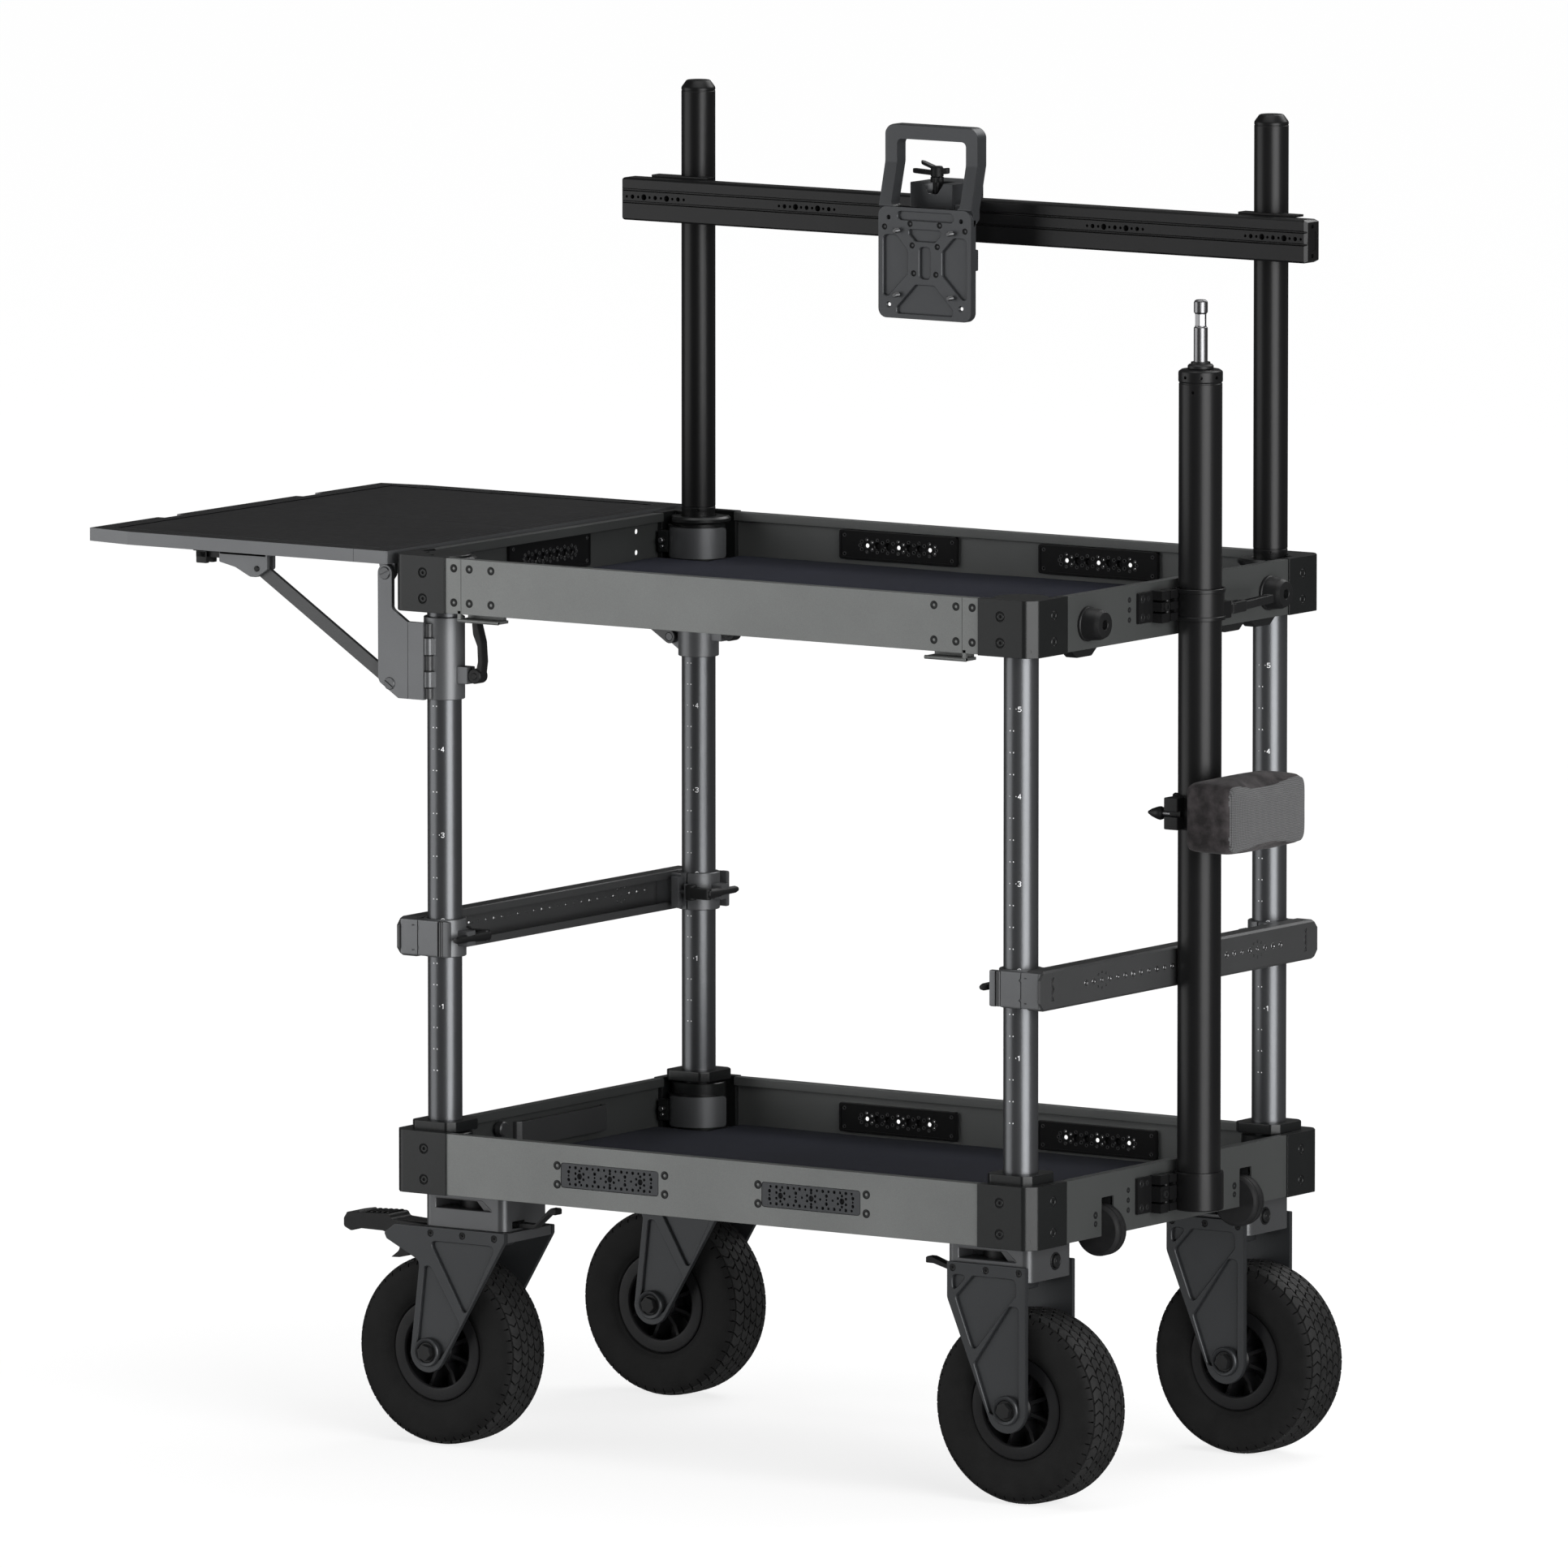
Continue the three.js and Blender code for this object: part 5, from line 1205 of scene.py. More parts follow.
def fork_plates(end, outline, pockets, corner=None):
    """Two outer plates: raised ribs round sunk pockets, a ring at the axle, and rests for the screws."""
    trail, screw_places, screw_z, _, _ = CASTERS[end]
    y = FORK_OUT
    tools = [pocket("y", fillet(sunk, 6, 5), y, 3.8, 1) for sunk in pockets]
    rest = [(0, y - 4), (3.9, y - 4), (3.9, y - 1), (5, y + 1), (0, y + 1)]
    tools += [turned("y", (x, screw_z), rest, 28) for x in screw_places]
    if corner:
        tools.append(rod("y", corner, 1.6, (y - 3, y + 5), 14, 0))
    body = cut(prism("y", outline, (FORK_IN, y), 1.1), *tools)
    ring = [(12.4, y - 4), (17, y - 4), (17, y + 2.2), (16, y + 3.4), (14, y + 3.4), (12.4, y + 2.4)]
    plate = joined(body, turned("y", (trail, WHEEL_Z), ring, 64, closed=True))
    return [plate, mirrored(plate, 1, -1), rod("y", (trail, WHEEL_Z), 6, (-52, 52), 32)]


def axle_bolt(trail):
    centre, y = (trail, WHEEL_Z), FORK_OUT
    washer = turned("y", centre, [(0, y - 4), (12, y - 4), (12, y + 1.4), (11.4, y + 2), (0, y + 2)], 40)
    outline = [polar(centre, 9.8, 60 * i + 15) for i in range(6)]
    return joined(washer, prism("y", outline, (y - 1, y + 8), 0.8))


def braked_fork():
    outline = [(94, 259.2), (-61.5, 259.2), (-61.5, 249)] + arc((48, 112), 24, 212, 356, 20)
    outline += [(59, 218.2), (106, 241), (109.5, 248)]
    pockets = (
        [(45, 243), (-48, 243), (-5, 158)],
        [(52, 213), (43.5, 213), (2.5, 148), (31, 104), (64.5, 104)],
    )
    parts = fork_plates("left", fillet(outline, [5, 1.5, 5] + [0] * 21 + [10, 3, 3]), pockets)
    parts += [
        rod("z", (0, 0), 33, (238, 248), 56, 1.2),
        tube("y", (70, 236), 6, 3, (-14, 14), 24),
        rod("y", BRAKE_AXIS, 4, (45.9, 50), 24),
        rod("y", BRAKE_AXIS, 4, (-50, -45.9), 24),
    ]
    inner_edge = box((-61.2, -55), (-44, 44), (247.6, 258.8), 0.6)
    crown = box((-57, 57), (-45.4, 45.4), (247.2, 259.2), 0.6)
    return joined(*parts), joined(crown, inner_edge)


def plain_fork():
    outline = [(56.1, 278), (-52, 278), (-52, 236.5)] + arc((29.5, 112), 26.6, 205, 360, 22)
    pockets = (
        [(-17, 263.5), (41.5, 263.5), (43, 246), (-16, 176), (-40.5, 238)],
        [(-44.5, 263.5), (-24, 263.5), (-44.5, 243)],
        [(46, 232), (33, 232), (-15, 163), (6.5, 106), (46, 106)],
    )
    parts = fork_plates("right", fillet(outline, [1.5, 1.5, 14] + [0] * 23), pockets, (-38.5, 257))
    return joined(*parts, rod("z", (0, 0), 33, (247, 259.4), 56, 1.2)), None


def caster_head(lean, fixed):
    """The quick-release block with its latch windows; lean is the way their slanted ends point."""
    window = [(-40 * lean, 294), (26 * lean, 294), (40 * lean, 282.5), (-40 * lean, 282.5)]
    tools = [pocket("y", fillet(window, 1, 2), s * 45, 30, s) for s in BOTH]
    tools.append(rod("x", BUTTON, 8.4, (45, 70), 40, 0))
    tools.append(box((-60, -37), (4, 29), (262, 270.6), 0))
    if not fixed:
        tools += [box((-70, 70), (s * 45.2, s * 60), (255, 278.4), 0) for s in BOTH]
    body = cut(prism("z", rounded((-57, 57), (-45, 45), 10, 8), (259.5, 301.2), 1), *tools)
    blade = []
    for s in BOTH:
        face = [(12 * lean, 294.5), (26 * lean, 294.5), (39 * lean, 282), (24 * lean, 282)]
        edge = bar_outline((25.6 * lean, 293.6), (38 * lean, 283), 0.7, 4)
        line = [(-40 * lean, 294.4), (26 * lean, 294.4), (26 * lean, 293.7), (-40 * lean, 293.7)]
        blade += [
            prism("y", face, span(s, 37, 38.6), 0.2),
            prism("y", edge, span(s, 38, 44.4), 0.2),
            prism("y", line, span(s, 40, 44.9), 0),
        ]
    core = [
        box((-52, 52), (-14, 14), (281, 296), 0),
        rod("z", (0, 0), 30, (270, 300.9), 48),
        tube("x", BUTTON, 10.4, 8.5, (56, 58), 40, 0.4),
    ]
    return body, joined(*blade), joined(*core)


def release_button():
    profile = [
        (0, 50.5), (7.7, 50.5), (7.7, 58.6), (7, 60), (6.4, 60.4), (5.4, 60.4), (5, 60), (3.4, 60), (3, 60.4),
        (0, 60.4),
    ]
    return turned("x", BUTTON, profile, 40)


def latch_lever(reach, lift):
    pivot, y = -64.3, 17
    z0, z1 = 263, 269
    knee, tip = 30 - reach, 9 - reach
    side = fillet(
        [(pivot + 2, z0 + 0.4), (pivot + 2, z1), (knee, z1), (tip, z1 + lift), (-reach, z1 + lift),
         (-reach, z0 + lift - 1), (tip + 1, z0 + lift - 1), (knee + 1, z0 + 0.4)],
        [0, 0, 4, 4, 1.5, 1.5, 4, 4], 4,
    )
    parts = [
        rod("z", (pivot, y), 7, (z0, z1), 32, 0.8),
        box((pivot, -50), (y - 5, y + 5), (z0 + 0.6, z1 - 0.6), 0.6),
        prism("y", side, (y - 6.5, y + 6.5), 0.9),
    ]
    for i in range(3):
        x = -reach + 1.6 + 2.6 * i
        parts.append(box((x, x + 1.2), (y - 6, y + 6), (z1 + lift - 1, z1 + lift + 0.6), 0.2))
    parts.append(rod("z", (pivot, y), 3.2, (z1 - 1, z1 + 0.8), 20, 0.4))
    return joined(*parts)


def brake_pedal():
    top = PEDAL_TOP
    drop = [
        (63, 20), (63, 4), (121, 0.6), (125, -5.4), (184, -2.6), (188.5, 4), (188.5, 14), (177, 19),
        (172, 14.6), (130, 15), (115, 36), (129.5, 47), (118, 46.5), (107, 44), (100, 36), (100, 20),
    ]
    radii = [2, 2, 5, 5, 5, 4, 4, 5, 4, 8, 8, 0.3, 6, 6, 6, 3]
    body = prism("y", fillet([(x, top - d) for x, d in drop], radii, 5), (-20, 20), 1.4)
    # the claw below is narrower than the tread of the pedal
    body = cut(body, box((95, 140), (8, 30), (205, 243), 0), box((95, 140), (-30, -8), (205, 243), 0))
    parts = []
    for i in range(5):
        x = 127 + 7.6 * i
        parts.append(box((x, x + 4.2), (-15, 15), (top + 3.6, top + 6.9 - 0.3 * i), 1))
    lip = fillet([(166, top + 2), (169, top + 5.6), (186, top + 2.6), (187, top - 2)], [0, 2, 2, 0])
    parts.append(prism("y", lip, (-18.4, 18.4), 1))
    parts.append(box((66, 118), (-13, 13), (top - 3, top - 0.4), 0.8))
    return joined(body, *parts), rod("y", BRAKE_AXIS, 3.6, (-44.8, 44.8), 24)


def casters():
    tyre_mesh, rim_mesh, button = tyre(), wheel_rim(), release_button()
    pedal, pedal_pin = brake_pedal()
    forks = {"left": braked_fork(), "right": plain_fork()}
    for side, sy in SIDES:
        for end, sx in ENDS:
            trail, screw_places, screw_z, reach, lift = CASTERS[end]
            place = f"{side}_{end}"
            braked = end == "left"
            out = at_corner(SWIVEL_X, SWIVEL_Y, sx, sy)
            hub = out @ Matrix.Translation((trail, 0, WHEEL_Z))
            fork, crown = forks[end]
            fork_body, wheel_body = f"fork_{place}", f"wheel_{place}"
            head_body = "cart" if braked else fork_body
            head, blade, core = caster_head(sx, braked)
            put(out, f"caster_head_{place}_block", head, M_HEAD, head_body, "head_grey",
                [f"caster_head_{place}"])
            put(out, f"caster_latch_{place}", blade, M_STUD, head_body, "steel")
            put(out, f"caster_core_{place}", core, M_PLASTIC, head_body, "black_plastic")
            put(out, f"caster_fork_{place}_plates", fork, M_FORK, fork_body, "fork_grey",
                [f"caster_fork_{place}"])
            if crown:
                put(out, f"caster_crown_{place}", crown, M_HEAD, fork_body, "head_grey")
            heads = [screw("y", (x, screw_z), s * 50.4, s, 3.9, 0.5, 1.8) for x in screw_places for s in BOTH]
            bolts = [axle_bolt(trail), mirrored(axle_bolt(trail), 1, -1)]
            put(out, f"caster_bolts_{place}", joined(*heads, *bolts), M_PLASTIC, fork_body, "black_plastic")
            put(hub, f"wheel_rim_{place}_casting", rim_mesh, M_RIM, wheel_body, "rim_black",
                [f"wheel_rim_{place}"])
            # the tread blocks get the lighter copy of the rubber: painted light, with painted shade in the
            # grooves
            put(hub, f"tyre_{place}_tread", tyre_mesh, M_TYRE, wheel_body, "tyre_black", [f"tyre_{place}"],
                angle=28, second=M_TREAD_LIT)
            put(out, f"release_button_{place}_cap", button, M_PLASTIC, f"button_{place}", "black_plastic",
                [f"release_button_{place}"])
            put(out, f"latch_lever_{place}_arm", latch_lever(reach, lift), M_PLASTIC, f"latch_{place}",
                "black_plastic", [f"latch_lever_{place}"])
            if braked:
                put(out, f"brake_pedal_{side}_body", pedal, M_PLASTIC, f"pedal_{side}", "black_plastic",
                    [f"brake_pedal_{side}"])
                put(out, f"brake_pedal_{side}_pin", pedal_pin, M_STEEL, f"pedal_{side}", "steel")


# Side table and its brackets

TABLE_IN, TABLE_OUT, TABLE_Y, TABLE_TOP = -450, -882, 305, 1048
FOLD = (-462.6, 1020.6)
STRUT_LOW, STRUT_HIGH = (-456, 892.4), (-645, 1014)
INLAY_X0, INLAY_X1, INLAY_Y = TABLE_OUT + 27, TABLE_IN - 27, TABLE_Y - 27


def table_frame():
    """The frame with its notches, grooves and ribs; its underside is a shallow tray."""
    top, x0, x1, y1 = TABLE_TOP, INLAY_X0, INLAY_X1, INLAY_Y
    notch = [(TABLE_OUT, 159), (TABLE_OUT + 10, 159), (TABLE_OUT + 10, 121), (TABLE_OUT, 121)]
    outline = [(TABLE_IN, -TABLE_Y), (TABLE_IN, TABLE_Y)]
    outline += [(TABLE_OUT + 62, TABLE_Y), (TABLE_OUT, TABLE_Y - 10)]
    outline += notch + [(u, -v) for u, v in reversed(notch)]
    outline += [(TABLE_OUT, 10 - TABLE_Y), (TABLE_OUT + 62, -TABLE_Y)]
    tools = [box((x0, x1), (-y1, y1), (top - 1.6, top + 5), 0)]
    # a fine groove round the frame's top, and the joints between its bars
    for s in BOTH:
        tools.append(box((x0 - 14, x1 + 14), (s * (y1 + 14), s * (y1 + 14.8)), (top - 0.6, top + 5), 0))
    for x in (x0 - 14, x1 + 13.2):
        tools.append(box((x, x + 0.8), (-y1 - 14, y1 + 14), (top - 0.6, top + 5), 0))
    for x in (TABLE_OUT + 40, TABLE_IN - 48):
        for s in BOTH:
            tools.append(box((x, x + 0.5), (s * (TABLE_Y - 0.5), s * (TABLE_Y + 5)), (top - 20, top + 5), 0))
    tools.append(box((x0, x1), (-y1, y1), (top - 20, top - 9), 0))
    body = cut(prism("z", fillet(outline, 1.2, 3), (top - 15.4, top), 0.9), *tools)
    ribs = [box((x0 - 1, x1 + 1), (y - 4, y + 4), (top - 14.6, top - 8), 0.6) for y in (-140, 0, 140)]
    return joined(body, *ribs)


def side_table():
    top, x0, x1, y1 = TABLE_TOP, INLAY_X0, INLAY_X1, INLAY_Y
    obj = piece("side_table_frame", table_frame(), M_TABLE, "table", "table_grey", ["side_table"])
    obj.data.materials.append(M_INLAY)
    for face in obj.data.polygons:
        if face.normal.z > 0.9 and face.center.z > (top - 3) * MM:
            face.material_index = 1
    panels = [
        box((x0 + 0.5, x1 - 0.5), ends, (top - 2, top - 0.7), 0.25)
        for ends in ((-y1 + 0.5, -0.4), (0.4, y1 - 0.5))
    ]
    piece("side_table_inlay", joined(*panels), M_INLAY, "table", "table_inlay")
    level = (top - 1, top + 0.25)
    lines = [box((x0 - 1.4, x1 + 1.4), (s * y1, s * (y1 + 1.4)), level, 0.2) for s in BOTH]
    lines += [box((x, x + 1.4), (-y1 - 1.4, y1 + 1.4), level, 0.2) for x in (x0 - 1.4, x1, x1 + 9)]
    piece("side_table_lines", joined(*lines), M_FORK, "table", "table_grey")
    cheek = [(-630, 1033), (-630, 1014), (-645, 1004), (-655, 1004), (-676, 1014), (-699, 1019), (-699, 1033)]
    cheek = fillet(cheek, [0, 3, 8, 8, 4, 2, 0])
    fold_x = FOLD[0]
    eye = [(-13, 1033), (10, 1033), (10, 1018), (4, 1010.6), (-4, 1010.6), (-10, 1018)]
    eye = fillet([(fold_x + u, v) for u, v in eye], [0, 0, 8, 6, 6, 8])
    cheeks, pins, catches = [], [], []
    for _, sy in SIDES:
        cheeks += [
            prism("y", cheek, span(sy, 286, 291), 0.7),
            prism("y", cheek, span(sy, 274.4, 279.4), 0.7),
            box((-699, -632), span(sy, 275, 291), (1028, 1033), 0.6),
            prism("y", eye, span(sy, 279.7, 285.7), 0.6),
        ]
        # the catch leaves a slot for the strut, which lies there when the table is folded
        catches += [
            box((-731, -716), span(sy, 271, 279.2), (1016, 1030.5), 1.2),
            box((-731, -716), span(sy, 286.4, 292.6), (1016, 1030.5), 1.2),
            box((-731, -716), span(sy, 271, 292.6), (1022.8, 1030.5), 0.6),
            box((-720, -690), span(sy, 277, 288), (1023, 1030), 0.8),
            box((-737, -700), span(sy, 274, 290), (1029.6, 1033), 0.6),
        ]
        head = [(0, 286.4), (3.4, 286.4), (3.4, 292), (2.6, 292.8), (0, 292.8)]
        pins.append(turned("y", STRUT_HIGH, [(r, sy * y) for r, y in head], 24))
        pins.append(rod("y", STRUT_HIGH, 3.4, span(sy, 273, 279.2), 24))
    piece("side_table_cheeks", joined(*cheeks), M_TABLE, "table", "table_grey")
    piece("side_table_catches", joined(*catches), M_PLASTIC, "table", "black_plastic")
    piece("side_table_pins", joined(*pins), M_PLASTIC, "table", "black_plastic")


# Axes of the upright hinge and of the clamp lever on a table bracket
HINGE, LEVER_AXIS = (-405.5, 285.3), (-353, 905)


def bracket_plate():
    outline = arc(FOLD, 10, 0, 180, 16)
    outline += [(-472.3, 898), (-470, 893), (-444, 876), (-408, 876), (-408, 966), (-431, 966), (-452.6, 980)]
    outline = fillet(outline, [0] * 17 + [4, 4, 4, 0.5, 0.5, 3, 6], 4)
    seam = box((-430.4, -429.8), (291.5, 300), (870, 990), 0)
    plate = cut(prism("y", outline, (286, 292), 0.8), seam)
    arm = box((-431, -406), (276, 286.5), (878, 964), 0.8)
    ring = tube("z", (-LEG_X, LEG_Y), 24, 20.25, (876, 972), 64, 0.7)
    groove = box((-430, -410), (255, 262), (860, 990), 0)
    return joined(plate, arm, cut(ring, groove))


def bracket_hinge():
    """The knuckles of the upright hinge and the ears that hold the clamp lever."""
    leaf = [(-410, 279), (-392, 275), (-390, 280), (-401, 288), (-404, 290.6), (-409.6, 290.6)]
    knuckles = []
    for ends in ((890.6, 909), (928.4, 948)):
        knuckles += [prism("z", leaf, ends, 0.8), rod("z", HINGE, 6, ends, 28, 0.5)]
    ear = box((-381, -362.4), (252.6, 268.6), (895, 915), 1.2)
    return joined(*knuckles, cut(ear, box((-384, -355), (259.6, 261.6), (890, 920), 0)))


def table_strut():
    low, high = Vector(STRUT_LOW), Vector(STRUT_HIGH)
    step = (high - low).normalized()
    tools = [
        prism("y", bar_outline(low + step * 26, high - step * 24, 5), (270, 282.4), 0),
        rod("y", STRUT_LOW, 5.2, (270, 300), 28, 0),
        rod("y", STRUT_HIGH, 3.6, (270, 300), 24, 0),
    ]
    return cut(prism("y", bar_outline(STRUT_LOW, STRUT_HIGH, 8, 14), (279.9, 285.5), 0.7), *tools)


def table_lever():
    profile = [
        (-358, 898.5), (-347, 896), (-344.4, 905), (-342, 922), (-343.6, 945), (-350, 967.6), (-358, 967.6),
        (-356.4, 953), (-350.4, 940), (-349.6, 922), (-353, 908), (-360.6, 906),
    ]
    profile = fillet(profile, [4, 5, 4, 10, 8, 3, 3, 8, 8, 8, 3, 3])
    return joined(
        rod("y", LEVER_AXIS, 8.8, (LEG_Y - 8, LEG_Y + 8), 32, 1),
        rod("y", LEVER_AXIS, 4, (LEG_Y - 9, LEG_Y + 9), 24),
        prism("y", profile, (LEG_Y - 6, LEG_Y + 6), 1.8),
    )


def table_brackets():
    barrel = joined(*[
        rod("z", (HINGE[0], 284.5), 5, ends, 28, 0.4) for ends in ((877, 889.6), (910, 927.4), (949, 965))
    ])
    gaps = joined(*[
        rod("z", (HINGE[0], 285.5), 6.2, (z - 0.6, z + 0.6), 28, 0) for z in (890.1, 909.5, 927.9, 948.5)
    ])
    heads = joined(
        slotted("y", FOLD, 292, 1, 7.4, 25, 1.4), slotted("y", STRUT_LOW, 292, 1, 7.4, -35, 1.4),
        rod("y", STRUT_LOW, 5, (279.9, 291), 28), rod("y", FOLD, 5, (279.9, 291), 28),
    )
    plate, hinge, strut, lever = bracket_plate(), bracket_hinge(), table_strut(), table_lever()
    for side, sy in SIDES:
        flip = Matrix.Diagonal((1, sy, 1, 1))
        name = f"table_bracket_{side}"
        put(flip, f"{name}_plate", plate, M_TABLE, "cart", "fork_grey", [name])
        put(flip, f"{name}_barrel", barrel, M_BAR, "cart", "fork_grey")
        put(flip, f"{name}_gaps", gaps, M_RUBBER, "cart", "black_plastic")
        put(flip, f"{name}_hinge", hinge, M_TABLE, "cart", "fork_grey")
        put(flip, f"{name}_screws", heads, M_HEAD, "cart", "steel")
        put(flip, f"table_strut_{side}_bar", strut, M_BAR, f"strut_{side}", "fork_grey",
            [f"table_strut_{side}"])
        put(flip, f"table_lever_{side}_body", lever, M_PLASTIC, f"table_lever_{side}", "black_plastic",
            [f"table_clamp_lever_{side}"])


# Crossbars

def crossbar_channel():
    """The C rail at the right end: its web with rows of holes, notched slits and cut corners; and, as painted
    highlights, bright rings at the holes' mouths and bright steel strips in the slits.
    """
    z0, z1 = 575, 621
    middle = 599
    profile = [
        (424, z0 + 9), (424, z0 + 1), (425, z0), (444.4, z0), (447, z0 + 2.6), (447, z1 - 2.6), (444.4, z1),
        (425, z1), (424, z1 - 1), (424, z1 - 9), (426.6, z1 - 9), (426.6, z1 - 3), (444, z1 - 3),
        (444, z0 + 3), (426.6, z0 + 3), (426.6, z0 + 9),
    ]
    tools, highlight_rims = [], []
    for i in range(-6, 7):
        for y, radius in ((i * 32.7, 1.4 if i % 3 else 2.4), (i * 32.7 + 16.3, 2)):
            sunk = [(0, 435), (radius, 435), (radius, 446), (radius + 1.2, 447.2), (0, 447.2)]
            tools.append(turned("x", (y, middle), sunk, 18))
            # a bright ring at the mouth of each hole: painted highlight
            highlight_rims.append(tube("x", (y, middle), radius + 1.5, radius + 0.5, (446.4, 447.16), 18, 0.1))
    cluster = ((13, 0), (-13, 0), (0, 9), (0, -9), (8, 7), (-8, 7), (8, -7), (-8, -7), (20, 0), (-20, 0))
    for y in (-163, 163):
        tools += [rod("x", (y + dy, middle + dz), 1.6, (435, 455), 12, 0) for dy, dz in cluster]
    for s in BOTH:
        for z, dz in ((z0, 11), (z1, -11)):
            corner = [(s * 281, z - dz * 0.1), (s * 292, z - dz * 0.1), (s * 292, z + dz)]
            tools.append(prism("x", corner, (420, 450), 0))
        for dz in (13.5, -13.5):
            z = middle
            notch = [(262, z), (266, z + 0.5 * dz), (262, z + dz), (268.5, z + dz), (268.5, z)]
            notch = [(s * u, v) for u, v in notch]
            tools.append(prism("x", notch, (445.4, 455), 0))
    # a bright steel strip in the notched slits at each end: painted highlight
    lines = [prism("x", rounded(span(s, 265.8, 268.4), (589, 609), 1.2), (444.5, 447.2), 0.2) for s in BOTH]
    return cut(prism("y", profile, (-291, 291), 0), *tools), joined(*lines, *highlight_rims)


def leg_clamp(sy):
    """A crossbar's clamp round its leg: solids, hinge barrel, bolt, and the cam lever on the inner side."""
    x, y = LEG_X, sy * LEG_Y
    inside = y - sy * 29

    def out(*places):
        """Places along y, measured outwards from the leg's axis."""
        return tuple(y + sy * place for place in places)

    split = box((x - 1, x + 1), out(-10, -40), (560, 640), 0)
    ring = cut(tube("z", (x, y), 25, 20.4, (576, 620), 64, 0.8), split)
    block = cut(box((408, 443.9), out(-25, 24), (577, 619), 1.6), rod("z", (x, y), 20.4, (560, 640), 64, 0))
    slot = prism("y", rounded((x - 17, x - 9), (574, 622), 2), out(24, 35), 0)
    groove = [
        (x + 18, 574), (x + 18, 584), (x + 15.5, 586.5), (x + 18, 589), (x + 18, 607), (x + 15.5, 609.5),
        (x + 18, 612), (x + 18, 622), (x + 19.4, 622), (x + 19.4, 574),
    ]
    face = box((x - 25, 443.9), out(22, 28.5), (577, 619), 2.2)
    face = cut(face, slot, prism("y", groove, out(27.3, 35), 0))
    clamp = [
        ring, block, face,
        box((x - 38, x - 20), out(-8, 8), (589, 607), 1.2),
        box((x - 6, x - 2), (inside - sy * 5, inside + sy * 9), (588, 608), 0.8),
        box((x + 6, x + 16), (inside - sy * 5, inside + sy * 9), (580, 616), 0.8),
    ]
    barrel = rod("z", (x - 13, y + sy * 26), 3, (577.6, 618.4), 24, 0.5)
    shaft = rod("x", (inside, 598), 3, (x - 6, x + 19), 24, 0.4)
    grip = [(0, -37), (5, -37), (6.4, -35), (6, -20), (4.6, 0), (4.2, 24), (3, 28.4), (0, 29)]
    handle = [
        rod("z", (x - 9, inside), 7, (589, 607), 28, 1),
        prism("z", bar_outline((x - 9, inside), (x - 34, y - sy * 33), 6, 8), (591.5, 604.5), 1.4),
        turned("y", (x - 35, 598), [(r, y + sy * place) for r, place in grip], 28),
    ]
    return joined(*clamp), barrel, shaft, joined(*handle)


def crossbars():
    channel, lines = crossbar_channel()
    clamps, barrels, shafts, handles = [joined(*pair) for pair in zip(*[leg_clamp(sy) for _, sy in SIDES])]
    for end, sx in ENDS:
        flip = Matrix.Diagonal((sx, 1, 1, 1))
        name = f"crossbar_{end}"
        put(flip, f"{name}_channel", channel, M_BAR, name, "fork_grey", [name])
        # the bright strips and hole rings in steel: painted highlights
        put(flip, f"{name}_edges", lines, M_STEEL, name, "steel")
        put(flip, f"{name}_clamps", clamps, M_TABLE, name, "fork_grey")
        put(flip, f"{name}_barrels", barrels, M_STUD, name, "steel")
        put(flip, f"{name}_shafts", shafts, M_CHROME, name, "chrome")
        put(flip, f"{name}_handles", handles, M_PLASTIC, name, "black_plastic")


# Monitor bar and mount

RAIL_Y0, RAIL_Y1, RAIL_Z0, RAIL_Z1 = 213.4, 240.3, 1390.6, 1440.8


